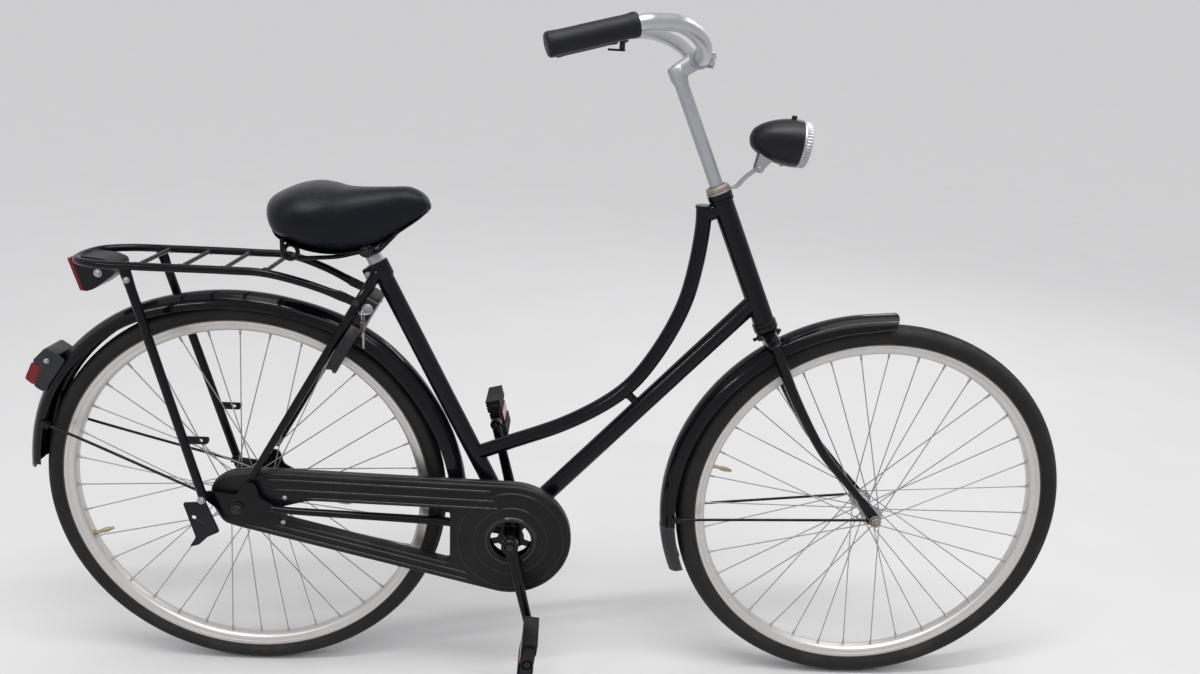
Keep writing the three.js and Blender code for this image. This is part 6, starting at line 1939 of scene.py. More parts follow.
@dataclass
class Cranks(Assembly):
    """Both cranks with their pedals."""

    offset: float = 74.0
    thickness: float = 15.0
    pedal_length: float = 78.0
    pedal_width: float = 88.0
    pedal_height: float = 26.0
    standoff: float = 6.0
    tread_start: float = 15.6
    tread_depth: float = 3.2
    treads_each: int = 4
    leans: tuple[float, float] = (0.12, -0.25)

    def build(self) -> None:
        """Makes the cranks and pedals."""
        for side in Side:
            s = side.value
            self.put(f"crank_{side.word}_arm", self.arm(s), ENAMEL, "crankset", [f"crank_{side.word}"])
            self.put(f"crank_{side.word}_bolt", self.bolts(s), DARK_STEEL, "crankset", bevel=0.2)
            body = f"{side.word}_pedal"
            self.put(f"pedal_{side.word}_body", self.pedal(s), PLASTIC, body, [f"pedal_{side.word}"], bevel=0.8)
            self.put(f"pedal_{side.word}_treads", self.treads(s), RUBBER, body, bevel=0.5)
            self.put(f"pedal_{side.word}_reflectors", self.reflectors(s), AMBER, body, bevel=0.7)
            self.put(f"pedal_{side.word}_cap", self.cap(s), PLASTIC, body)

    def end(self, side: int) -> Vec:
        """Where a crank's arm ends."""
        swing = LAYOUT.crank_angle + (0 if side < 0 else pi)
        return LAYOUT.bracket + LAYOUT.crank_length * vec(sin(swing), 0, -cos(swing)) + vec(0, side * self.offset, 0)

    def arm(self, side: int) -> list[Shape]:
        """One crank: boss, tapering arm and eye.

        Args:
            side: 1 left, -1 right.

        Returns:
            Its shapes.
        """
        start, end = LAYOUT.bracket + vec(0, side * self.offset, 0), self.end(side)
        run = unit(end - start)
        across = np.cross(run, Y_AXIS)
        rings = []
        for share in np.linspace(0, 1, 26):
            half_wide = blend_of(10.5, 7.6, share) + 3.0 * exp(-share * 14) + 1.4 * exp(-(1 - share) * 16)
            half_thick = blend_of(7.3, 6.0, share)
            rings.append(oval(start + run * (share * LAYOUT.crank_length), across * half_wide, Y_AXIS * half_thick,
                              0.62, 24))
        h = self.thickness / 2
        boss = lathe([(8.5, -h), (14, -h), (15, -h + 1.2), (15, h - 1.2), (14, h), (9.5, h), (9.0, h - 2.2)], start,
                     Y_AXIS * side, 36)
        eye = lathe([(5.2, -h), (9.2, -h), (10, -h + 1), (10, h - 1), (9.2, h), (5.2, h)], end, Y_AXIS * side, 30)
        return [loft(rings), boss, eye]

    def bolts(self, side: int) -> list[Shape]:
        """The spindle nut in the boss and the pedal's axle with its flats.

        Args:
            side: 1 left, -1 right.

        Returns:
            Their shapes.
        """
        way, end = Y_AXIS * side, self.end(side)
        start = LAYOUT.bracket + vec(0, side * (self.offset + 4.4), 0)
        face = end + way * (self.thickness / 2)
        tip = end + way * (self.thickness / 2 + self.standoff + 86)
        return [hex_nut(start, way, 7.4, 3.0, 3.5), bar(end - way * 7, tip, 4.6, sides=18),
                lathe([(7.4, 0.2), (7.4, 1.6), (6.2, 1.8), (6.2, 5.2)], face, way, 8)]

    def pedal_frame(self, side: int) -> tuple[Vec, Vec, Vec]:
        """A pedal's centre and its thin and long directions.

        Args:
            side: 1 left, -1 right.

        Returns:
            Its centre, thin direction and long direction.
        """
        lean = self.leans[0] if side < 0 else self.leans[1]
        centre = self.end(side) + vec(0, side * (self.thickness / 2 + self.standoff + self.pedal_width / 2), 0)
        return centre, vec(cos(lean), 0, -sin(lean)), vec(sin(lean), 0, cos(lean))

    def pedal(self, side: int) -> list[Shape]:
        """The pedal's body: barrel, end plates and cross webs.

        Args:
            side: 1 left, -1 right.

        Returns:
            Its shapes.
        """
        centre, thin, long = self.pedal_frame(side)
        half = self.pedal_width / 2
        parts = [lathe([(5.2, -half), (9.4, -half), (10, -half + 1), (9, -half + 12), (9, half - 12), (10, half - 1),
                        (9.4, half), (5.2, half)], centre, Y_AXIS, 28)]
        outline = rounded([(-9, -31), (9, -31), (9, 31), (-9, 31)], 5)
        parts += [plate(outline, way, half - 5, half, origin=centre, u=thin, v=long) for way in (-1, 1)]
        for way in (-1, 1):
            parts.append(box_shape(centre + long * (way * 17), (14, 76, 3), thin, Y_AXIS, long))
        return parts

    def treads(self, side: int) -> list[Shape]:
        """The two rubber blocks with lengthwise grooves.

        Args:
            side: 1 left, -1 right.

        Returns:
            Their shapes.
        """
        centre, thin, long = self.pedal_frame(side)
        parts = []
        high, low = self.pedal_height / 2, self.pedal_height / 2 - self.tread_depth
        pitch = (self.pedal_length / 2 - self.tread_start) / self.treads_each
        for way in (-1, 1):
            corners: list[Pair] = []
            for i in range(self.treads_each):
                start = self.tread_start + i * pitch
                corners += [(high, start + 0.5), (high, start + pitch - 1.6), (low, start + pitch - 1.1),
                            (low, start + pitch)]
            corners = corners[:-2]
            back = [(-a, b) for a, b in reversed(corners)]
            outline = [(a, way * b) for a, b in corners + back]
            half = self.pedal_width / 2 - 5.2
            parts.append(prism(outline, -half, half, origin=centre, u=thin, v=long))
        return parts

    def reflectors(self, side: int) -> list[Shape]:
        """The amber reflectors between the treads, on both broad sides."""
        centre, thin, long = self.pedal_frame(side)
        return [box_shape(centre + thin * (way * 11.4), (2.6, 60, 19), thin, Y_AXIS, long) for way in (-1, 1)]

    def cap(self, side: int) -> Shape:
        """The cap over the outer bearing.

        Args:
            side: 1 left, -1 right.

        Returns:
            The cap.
        """
        centre, _, _ = self.pedal_frame(side)
        way = Y_AXIS * side
        return lathe([(8.6, 0), (8.4, 1.4), (6.4, 2.4), (0, 2.8)], centre + way * (self.pedal_width / 2 - 2.4), way, 24)


# Luggage rack and rear lights


@dataclass
class Rack(Assembly):
    """The luggage rack with its legs and the strap hook plate."""

    height: float = 758.0
    half_width: float = 66.0
    rail: float = 6.5
    rung: float = 3.5
    rungs: int = 4
    rung_pitch: float = 66.0
    rung_start: float = -682.0
    rear: float = -792.0
    front: float = -484.0
    foot: Triple = (-366.0, 44.0, 716.0)
    leg_top: float = -700.0
    leg_foot: Triple = (-604.0, 79.0, 367.0)
    tab_share: float = 0.735
    hook_face: float = -87.3
    hook_thickness: float = 3.0
    hook_length: float = 60.0
    hook_shares: tuple[Pair, ...] = (
        (-1.37, 0.28), (-0.75, 0.33), (-0.43, -0.6), (-0.77, -0.77), (-1.03, -1.03), (-1.3, -1.1), (-1.1, -0.8))

    def build(self) -> None:
        """Makes the rack."""
        self.put("rack_loop", self.loop(), ENAMEL, "frame", ["rack_platform"])
        self.put("rack_rungs", self.rung_set(), ENAMEL, "frame")
        self.put("rack_feet", self.feet(), ENAMEL, "frame", bevel=0.5)
        for side in Side:
            self.put(f"rack_leg_{side.word}_tube", self.leg(side.value), ENAMEL, "frame", [f"rack_leg_{side.word}"],
                     bevel=0.5)
        self.put("rack_bolts", self.bolts(), STEEL, "frame", bevel=0.3)
        self.put("rack_foot_bolts", self.foot_bolts(), DARK_STEEL, "frame", bevel=0.3)
        a, size = LAYOUT.rear_axle, self.hook_length
        outline = rounded(placed(self.hook_shares, a, size), 4)
        hole = circle(a[0] - 1.1 * size, a[2] - 0.17 * size, 4, 20)
        self.put("strap_plate", prism(outline, self.hook_face, self.hook_face + self.hook_thickness, [hole]), PLASTIC,
                 "frame", ["strap_hook"], bevel=0.7)

    def half_loop(self, side: int) -> list[Vec]:
        """Half of the rail's centre line.

        Args:
            side: 1 left, -1 right.

        Returns:
            Its knots, from the front foot to the rear bend.
        """
        fx, fy, fz = self.foot
        wide, high = side * self.half_width, self.height
        rise = [vec(blend_of(fx, self.front, a), side * blend_of(fy, self.half_width, o), blend_of(fz, high, u))
                for a, o, u in ((0.5, 0.6, 0.58), (1, 1, 0.96))]
        straight = [vec(self.front - (self.rung_start - self.rear) / 2, wide, high), vec(self.rung_start, wide, high)]
        bend = [vec(self.rear + a * (self.front - self.rear), wide * o, high) for a, o in ((0.14, 0.93), (0.03, 0.62))]
        return [vec(fx, side * fy, fz), *rise, *straight, *bend]

    def loop(self) -> Shape:
        """The rail from one front foot round the rear to the other, flattened at its feet.

        Returns:
            The bent rail.
        """
        knots = [*self.half_loop(-1), vec(self.rear, 0, self.height), *reversed(self.half_loop(1))]
        path = smooth_path(knots, 150)
        along = np.linspace(0, 1, 151)
        ends = np.clip(np.minimum(along, 1 - along) / 0.035, 0, 1)
        shape = 0.42 + 0.58 * ends * ends * (3 - 2 * ends)
        angles = turn(20)
        rings = []
        for place, tangent, share in zip(path, np.gradient(path, axis=0), shape):
            t = unit(tangent)
            wide = unit(np.cross(t, Z_AXIS))
            tall = np.cross(wide, t)
            rings.append(place + self.rail * (np.outer(np.cos(angles) * share, wide)
                                              + np.outer(np.sin(angles) * (1.5 - share * 0.5), tall)))
        return loft(rings)

    def rung_set(self) -> list[Shape]:
        """The cross bars, with the fillets of their welds.

        Returns:
            Bars and fillets.
        """
        parts = []
        for i in range(self.rungs):
            place = vec(self.rung_start + i * self.rung_pitch, 0, self.height)
            parts.append(bar(place - Y_AXIS * self.half_width, place + Y_AXIS * self.half_width, self.rung, sides=18))
            for way in (-1, 1):
                parts.append(lathe([(3.6, 0), (5.2, 4.2), (6.4, 6.5)], place + Y_AXIS * (way * (self.half_width - 11)),
                                   Y_AXIS * way, 18))
        return parts

    def feet(self) -> list[Shape]:
        """The flat tongues that bolt to the seat stays.

        Returns:
            Both tongues.
        """
        fx, fy, fz = self.foot
        parts = []
        for side in (-1, 1):
            along = unit(vec(fx - self.front, 0, (fz - self.height) * 1.25))
            outline = rounded([(-16, -7.5), (26, -7.5), (26, 7.5), (-16, 7.5)], 6)
            parts.append(plate(outline, side, fy - 1.6, fy + 1.6, origin=vec(fx, 0, fz), u=along,
                               v=vec(-along[2], 0, along[0])))
        return parts

    def leg(self, side: int) -> list[Shape]:
        """One leg with its flattened top, drilled tab and foot.

        Args:
            side: 1 left, -1 right.

        Returns:
            Its shapes.
        """
        top = vec(self.leg_top, side * self.half_width, self.height)
        foot = vec(self.leg_foot[0], side * self.leg_foot[1], self.leg_foot[2])
        run = unit(foot - top)
        steps = np.linspace(0, 1, 40)
        path = np.array([top + (foot - top) * s for s in steps])
        across = np.clip(0.4 + (steps - 0.03) * 9, 0.4, 1.0)
        wide = np.where(across < 1, 1.5 - across * 0.5, 1.0)
        shaft = tube(path, 7.3 * wide, 20, across=across / wide)
        at = top + (foot - top) * self.tab_share
        outline = rounded([(-2, -6.5), (38, -6.5), (42, -2), (42, 6.5), (-2, 6.5)], 3)
        tab = prism(outline, -1.5, 1.5, [circle(29, 0, 3, 16)], origin=at)
        edge = LAYOUT.dropout + 2.3
        low, high = sorted((side * edge, side * (self.leg_foot[1] + 5)))
        pad = lathe([(6.6, 0), (7.5, 0.8), (7.5, high - low - 0.8), (6.6, high - low), (0, high - low), (0, 0)],
                    vec(foot[0], low, foot[2]), Y_AXIS, 28)
        ball = lathe([(0, -7.4), (4.2, -6.2), (7.0, -2.4), (7.4, 0), (7.0, 2.6), (4.0, 6.2), (0, 7.4)], foot, run, 20)
        return [shaft, tab, pad, ball]

    def bolts(self) -> list[Shape]:
        """Bolts at the tops and feet of the legs.

        Returns:
            Washers and heads.
        """
        parts = []
        for side in (-1, 1):
            way = Y_AXIS * side
            head = vec(self.leg_top, side * self.half_width, self.height)
            toe = vec(self.leg_foot[0], side * self.leg_foot[1], self.leg_foot[2])
            top = head + (toe - head) * 0.055 + way * 4.2
            parts += nut_on(top, way, 5.2, 4.4, 3.6)
            foot = vec(self.leg_foot[0], side * (self.leg_foot[1] + (9.4 if side < 0 else 5.1)), self.leg_foot[2])
            parts += nut_on(foot - way * 0.9, way, 6.6, 5.4, 3.6, lift=0.9)
        return parts

    def foot_bolts(self) -> list[Shape]:
        """Bolts through the front feet into the seat stays.

        Returns:
            Washers and heads.
        """
        fx, fy, fz = self.foot
        along = unit(vec(fx - self.front, 0, (fz - self.height) * 1.25))
        parts = []
        for side in (-1, 1):
            way = Y_AXIS * side
            front = vec(fx, side * (fy + 1.6), fz) + along * 19
            parts += nut_on(front, way, 6, 5.2, 4)
        return parts


@dataclass
class Lamps(Assembly):
    """The headlamp, the tail lamp and the rack's reflector."""

    radius: float = 37.5
    length: float = 80.0
    tilt: float = radians(5)
    behind: float = 20.0
    above: float = 48.0
    tail_angle: float = radians(145)
    tail_half: float = 36.0
    tail_depth: float = 32.0
    reflector_at: Triple = (-801.0, 0.0, 758.0)
    reflector_length: float = 66.0
    reflector_height: float = 56.0
    profile: tuple[Pair, ...] = ((0, 0), (0.34, 0.05), (0.56, 0.16), (0.78, 0.36), (0.93, 0.6), (1, 0.84), (1, 1))

    def build(self) -> None:
        """Makes all lights."""
        self.put("lamp_shell", self.shell(), PLASTIC, "headlamp", ["lamp_housing"], crease=45)
        self.put("lamp_ears", self.ears(), STEEL, "headlamp", bevel=0.4)
        self.put("lamp_ring", self.ring(), ALLOY, "headlamp", crease=30)
        self.put("lamp_mirror", self.mirror(), CHROME, "headlamp")
        self.put("lamp_glass", self.glass(), CLEAR, "headlamp", ["lamp_lens"])
        self.put("lamp_bolt", self.pivot_bolt(), STEEL, "headlamp", bevel=0.2)
        button = self.on_lamp(self.length * 0.82, self.radius - 4)
        self.put("lamp_switch_cap", lathe([(4.4, 0), (4.4, 7.8), (3.4, 9.0), (0, 9.0)], button, self.up, 24), PLASTIC,
                 "lamp_switch", ["lamp_button"])
        self.build_reflector()
        self.build_tail()

    @property
    def pivot(self) -> Vec:
        """The lamp's pivot on its strap."""
        return LAYOUT.lamp_pivot

    @property
    def axis(self) -> Vec:
        """The direction that the lamp shines in."""
        return vec(cos(self.tilt), 0, -sin(self.tilt))

    @property
    def up(self) -> Vec:
        """The lamp's own upwards direction."""
        return vec(sin(self.tilt), 0, cos(self.tilt))

    def on_lamp(self, along: float, up: float) -> Vec:
        """A point in the lamp by its distances along and above its axis."""
        return self.pivot + vec(-self.behind, 0, self.above) + self.axis * along + self.up * up

    def shell(self) -> Shape:
        """The bullet shell, smoothed along its profile, open at the front.

        Returns:
            The shell.
        """
        knots = [vec(out * self.radius, 0, along * self.length) for out, along in self.profile]
        line = [(max(0.0, p[0]), p[2]) for p in smooth_path(knots, 26)]
        line[-1] = (self.radius, self.length)
        inner = [(r - 2.4, a) for r, a in reversed(line[8:])]
        return lathe([*line, *inner], self.on_lamp(0, 0), self.axis, 56)

    def ears(self) -> list[Shape]:
        """The two ears on the strap.

        Returns:
            Both ears.
        """
        p = self.pivot
        front, back = (self.on_lamp(a * self.length, -u * self.radius) for a, u in ((0.55, 0.75), (0.25, 0.5)))
        outline = [(front[0], front[2]), (back[0], back[2]), *arc(p[0], p[2], 7, pi, TAU, 12)]
        return [plate(outline, s, 9.3, 11.8) for s in (-1, 1)]

    def ring(self) -> Shape:
        """The lens ring with its fine ribs.

        Returns:
            The ribbed ring.
        """
        start, ribs = self.on_lamp(self.length + 0.3, 0), 96
        profile = [(self.radius - 2.6, 0), (self.radius - 0.3, 0), (self.radius, 0.9), (self.radius, 3),
                   (self.radius - 0.5, 4), (self.radius - 0.7, 12), (self.radius - 1.6, 13), (self.radius - 3.4, 12.6),
                   (self.radius - 4.2, 9.6)]
        shape = lathe(profile, start, self.axis, ribs)
        points = shape.points.copy()
        for row in (4, 5):
            for i in range(0, ribs, 2):
                place = points[row * ribs + i]
                centre = start + self.axis * float(np.dot(place - start, self.axis))
                points[row * ribs + i] = centre + (place - centre) * 0.965
        return Shape(points, shape.faces)

    def mirror(self) -> list[Shape]:
        """The bright bowl behind the glass and the small bulb at its middle.

        Returns:
            The bowl and the bulb.
        """
        line = [(3.4, 0.0)] + [(r, 26.0 * (r / 33.0) ** 2) for r in np.linspace(6, 33, 12)]
        start = self.on_lamp(self.length - 18, 0)
        bulb = lathe([(3.2, 0), (3.2, 7), (2.2, 10), (0, 11)], start, self.axis, 16)
        return [lathe(line, start, self.axis, 40), bulb]

    def glass(self) -> Shape:
        """The clear lens, slightly domed.

        Returns:
            The lens.
        """
        start = self.on_lamp(self.length + 0.3, 0)
        profile = [(33.4, 9.0), (30, 10.6), (22, 11.8), (12, 12.5), (0, 12.7), (0, 10.7), (12, 10.5), (22, 9.9),
                   (33.4, 7.4)]
        return lathe(profile, start, self.axis, 48)

    def pivot_bolt(self) -> list[Shape]:
        """The bolt through the ears and the small screw below the shell.

        Returns:
            The bolt, its nuts and the screw.
        """
        p = self.pivot
        low = self.on_lamp(self.length * 0.74, -self.radius + 0.4)
        nuts = [part for way in (-Y_AXIS, Y_AXIS) for part in nut_on(p + way * 11.8, way, 5.4, 4.8, 3.4)]
        return [*nuts, bar(p - Y_AXIS * 12, p + Y_AXIS * 12, 2.6, sides=14), screw(low, -self.up, 2.8, 2.0)]

    def build_reflector(self) -> None:
        """Makes the reflector under the rack's tail."""
        start, long, high = vec(*self.reflector_at), self.reflector_length, self.reflector_height
        shares = [(0, 0), (0.2, -0.05), (0.75, 0.0), (1, 0.12), (1, 0.45), (0.45, 0.92), (0.22, 1)]
        corners = [(start[0] + f * long, start[2] - d * high) for f, d in shares]
        outline = rounded(corners, 5, 4)
        housing = prism(outline, -26, 26)
        self.put("reflector_body", [housing, *self.reflector_ribs(start)], PLASTIC, "frame",
                 ["rack_reflector_housing"], bevel=2.2)
        back, foot = start[0] - 0.3, start[0] - 0.3 + 0.22 * long
        top, low = start[2] - 1, start[2] - high + 1
        lens = prism([(back, top), (foot, low), (foot - 6, low), (back - 6, top)], -25, 25)
        self.put("reflector_lens", lens, RED, "frame", ["rack_reflector_lens"], bevel=2.0)
        at = vec(start[0] + 40, -26, start[2] - 24)
        self.put("reflector_bolt", [washer(at, -Y_AXIS, 6.8, 1.2), hex_nut(at - Y_AXIS * 1.0, -Y_AXIS, 5.2, 3.6)],
                 STEEL, "frame", bevel=0.3)

    def reflector_ribs(self, start: Vec) -> list[Shape]:
        """The moulded boss round the reflector's bolt."""
        at = vec(start[0] + 40, -25.6, start[2] - 24)
        return [lathe([(12.5, 0), (11.6, 1.0), (9, 1.0)], at, -Y_AXIS, 28)]

    def on_tail(self, along: float, out: float) -> Pair:
        """A point of the tail lamp along the mudguard and out from it.

        Args:
            along: share of its half length, away from the floor.
            out: share of its depth.

        Returns:
            The point, forwards and up.
        """
        guard, a = Mudguards(), LAYOUT.rear_axle
        x, z = cos(self.tail_angle), sin(self.tail_angle)
        seat = guard.rear_at(self.tail_angle) - guard.sheet + out * self.tail_depth
        up = along * self.tail_half
        return a[0] + x * seat - z * up, a[2] + z * seat + x * up

    def build_tail(self) -> None:
        """Makes the tail lamp on the rear mudguard."""
        shares = [(-1, 0.08), (0, 0.07), (1, 0.12), (1, 0.29), (0, 0.48), (-0.05, 1), (-1, 0.8)]
        outline = rounded([self.on_tail(a, o) for a, o in shares], 5, 4)
        self.put("tail_lamp_body", prism(outline, -23.5, 23.5), GREY_PLASTIC, "frame", ["tail_lamp_housing"], bevel=3.0)
        skirt = rounded([self.on_tail(a, o) for a, o in ((-0.98, -0.34), (0.98, -0.3), (1, 0.2), (-1, 0.2))], 4, 3)
        flanks = [plate(skirt, s, 22.6, 25.2) for s in (-1, 1)]
        self.put("tail_lamp_flanks", flanks, GREY_PLASTIC, "frame", bevel=0.9)
        lens = [self.on_tail(a, o) for a, o in ((1, 0.31), (0.02, 0.5), (0.02, 1), (0.95, 0.85))]
        self.put("tail_lamp_glass", prism(rounded(lens, 4, 4), -22.5, 22.5), RED, "frame", ["tail_lamp_lens"],
                 bevel=2.6)
        at = self.on_tail(-0.45, 0.4)
        place = vec(at[0], -23.5, at[1])
        self.put("tail_lamp_bolt", [washer(place, -Y_AXIS, 4.6), hex_nut(place - Y_AXIS * 1.1, -Y_AXIS, 3.8, 3.2)],
                 STEEL, "frame", bevel=0.2)


# Cockpit


@dataclass
class Cockpit(Assembly):
    """Stem, handlebar, grips and bell."""

    stem_radius: float = 11.1
    stem_top: float = 853.0
    stem_reach: Triple = (36.0, 0.0, 13.0)
    insertion: float = 90.0
    bar_radius: float = 11.0
    half_width: float = 290.0
    sweep: float = 226.0
    rise: float = 42.0
    fall: float = 38.0
    grip_radius: float = 16.0
    grip_length: float = 120.0
    knots: tuple[Triple, ...] = (
        (0, 0.08, 0), (0, 0.14, 0), (-0.012, 0.24, 0.06), (-0.045, 0.4, 0.36), (-0.13, 0.58, 0.7),
        (-0.27, 0.76, 0.95), (-0.4, 0.855, 0.93))
    grip_start: Triple = (-0.47, 0.905, 0.89)

    @property
    def clamp(self) -> Vec:
        """Centre of the handlebar's clamp."""
        return LAYOUT.on_steering(self.stem_top) + vec(*self.stem_reach)

    def build(self) -> None:
        """Makes the cockpit."""
        self.put("stem_body", self.stem(), ALLOY, "cockpit", ["stem"], crease=42)
        self.put("stem_bolts", self.stem_bolts(), STEEL, "cockpit", bevel=0.3)
        self.put("handlebar_tube", self.handlebar(), CHROME, "cockpit", ["handlebar"])
        for side in Side:
            self.put(f"grip_{side.word}_sleeve", self.grip(side.value), GRIP, "cockpit", [f"grip_{side.word}"],
                     crease=45)
        self.build_bell()

    def stem(self) -> list[Shape]:
        """The quill with its forged head, arm and split clamp.

        Returns:
            The stem's parts.
        """
        up, top = LAYOUT.steer_up, self.stem_top
        foot = LAYOUT.head_bottom + LAYOUT.head_length - self.insertion
        start, length = LAYOUT.on_steering(foot), top - foot
        r = self.stem_radius
        quill = lathe([(0, 0), (r, 0), (r, length - 34), (r + 0.6, length - 28), (14, length - 20), (14.2, length - 3),
                       (12.6, length - 0.6), (7.6, length), (7.2, length - 3), (0, length - 3)], start, up, 40)
        clamp = self.clamp
        head = LAYOUT.on_steering(top - 10)
        rings = []
        tall = unit(np.cross(unit(clamp - head), Y_AXIS))
        for share in np.linspace(0, 1, 18):
            place = head + (clamp - head) * share
            half_tall = blend_of(12.8, 14.6, share)
            half_wide = blend_of(12.4, 17.5, share**1.6)
            rings.append(oval(place, Y_AXIS * half_wide, tall * half_tall, 0.75, 28))
        ring = lathe([(11.2, -18.6), (15.2, -19), (16.5, -17.6), (16.5, 17.6), (15.2, 19), (11.2, 18.6)], clamp,
                     Y_AXIS, 44, ring=True)
        down = unit(clamp - head + vec(10, 0, -26))
        across = np.cross(Y_AXIS, down)
        lips = [box_shape(clamp + down * 18 + across * s * 4.4, (13, 24, 6.6), down, Y_AXIS, across) for s in (-1, 1)]
        return [quill, loft(rings), ring, *lips]

    def stem_bolts(self) -> list[Shape]:
        """The quill's bolt in its recess and the clamp's bolt.

        Returns:
            Both bolts.
        """
        up = LAYOUT.steer_up
        clamp, head = self.clamp, LAYOUT.on_steering(self.stem_top - 10)
        down = unit(clamp - head + vec(10, 0, -26))
        across = np.cross(Y_AXIS, down)
        at = clamp + down * 20
        return [hex_nut(LAYOUT.on_steering(self.stem_top - 4.5), up, 6.6, 6.5, 3.0),
                hex_nut(at + across * 7.6, across, 5.2, 4.4), hex_nut(at - across * 7.6, -across, 5.2, 4.4, 2.5),
                bar(at - across * 9, at + across * 9, 3, sides=14)]

    def bar_knots(self, side: int) -> tuple[list[Vec], list[Vec]]:
        """Bends and straight end of half the bar.

        Args:
            side: 1 left, -1 right.

        Returns:
            The knots of the bends, then those that the grip covers.
        """
        c = self.clamp
        bends = [c + vec(f * self.sweep, side * o * self.half_width, u * self.rise) for f, o, u in self.knots]
        end = vec(c[0] - self.sweep, side * self.half_width, c[2] + self.rise - self.fall)
        f, o, u = self.grip_start
        start = c + vec(f * self.sweep, side * o * self.half_width, u * self.rise)
        return bends, [start + (end - start) * s for s in (0, 0.2, 0.6, 1)]

    def bar_path(self, steps: int = 160) -> Vec:
        """The bar's centre line from the right grip to the left."""
        right, left = self.bar_knots(-1), self.bar_knots(1)
        return smooth_path([*reversed([*right[0], *right[1]]), *left[0], *left[1]], steps)

    def handlebar(self) -> list[Shape]:
        """The bar with the knurled sleeve in its clamp.

        Returns:
            The bar and the sleeve.
        """
        path = self.bar_path()
        knurl = lathe([(11, -27), (11.15, -26.5), (11.15, 26.5), (11, 27)], self.clamp, Y_AXIS, 36)
        return [tube(path, self.bar_radius, 28, reference=Z_AXIS), knurl]

    def grip_frame(self, side: int) -> tuple[Vec, Vec]:
        """Outer end of a grip and the direction towards its mouth.

        Args:
            side: 1 left, -1 right.

        Returns:
            The end and the direction.
        """
        straight = self.bar_knots(side)[1]
        run = unit(straight[0] - straight[-1])
        return straight[-1] - run * 5, run

    def grip(self, side: int) -> Shape:
        """One grip: a smooth barrel with a rounded end and a flared mouth.

        Args:
            side: 1 left, -1 right.

        Returns:
            The sleeve.
        """
        end, run = self.grip_frame(side)
        r, n = self.grip_radius, self.grip_length
        profile = [(0, 0), (9, 0.2), (13.8, 1.2), (15.5, 3.2), (15.9, 7), (15.6, 13), (15.3, 20), (15.2, 34),
                   (15.3, 60), (15.2, 86), (15.1, n - 19), (15.2, n - 13), (15.6, n - 9), (r, n - 5.5), (15.8, n - 2),
                   (14.9, n), (11.4, n), (11.4, n - 6)]
        knots = smooth_path([vec(a, 0, b) for a, b in profile[:-2]], 60)
        line = [(max(0.0, p[0]), max(0.0, p[2])) for p in knots]
        return lathe([*line, (11.2, n), (11.2, n - 6)], end + run * 0.7, run, 44)

    def build_bell(self) -> None:
        """Makes the bell inside the left grip."""
        end, run = self.grip_frame(1)
        wanted = end + run * (self.grip_length + 14)
        path = self.bar_path(400)
        i = int(np.argmin(np.linalg.norm(path - wanted, axis=1)))
        place = path[i]
        base = place + vec(0, 0, 14)
        profile = [(16.6, -1.2), (18, -0.6), (18, 1.4), (17.4, 4), (15.4, 7.6), (12, 10.6), (7.4, 12.6), (3, 13),
                   (0, 13)]
        dome = lathe(profile, base, Z_AXIS, 48)
        underside = lathe([(0, -1.0), (16.6, -1.2)], base, Z_AXIS, 48)
        collar = lathe([(11.2, -7), (15.4, -7), (17, -5.6), (17, 5.6), (15.4, 7), (11.2, 7)], place, run, 32, ring=True)
        post = bar(place + vec(0, 0, 12), base, 6, sides=20)
        lug = box_shape(place - vec(0, 0, 20.5), (10, 10, 13))
        self.put("bell_dome", [dome, underside, collar, post, lug], PLASTIC, "cockpit", ["bell"], bevel=0.5, crease=35)
        self.put("bell_screw", screw(place + vec(0, 13, -9), unit(vec(0, 1, -0.4)), 2.6, 2), STEEL, "cockpit")
        low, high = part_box("bell_lever")
        outline = rounded([(-16, -5), (13, -5), (16, -2.5), (16, 2.5), (13, 5), (-16, 5)], 3)
        middle = vec(*((a + b) / 2 / MM for a, b in zip(low, high))) - vec(CENTRE_SHIFT, 0, 0)
        lever = prism(outline, -2, 2, origin=middle, u=X_AXIS, v=Y_AXIS, w=Z_AXIS)
        self.put("bell_thumb_lever", lever, PLASTIC, "bell_striker", ["bell_lever"], bevel=1.2)


# Saddle


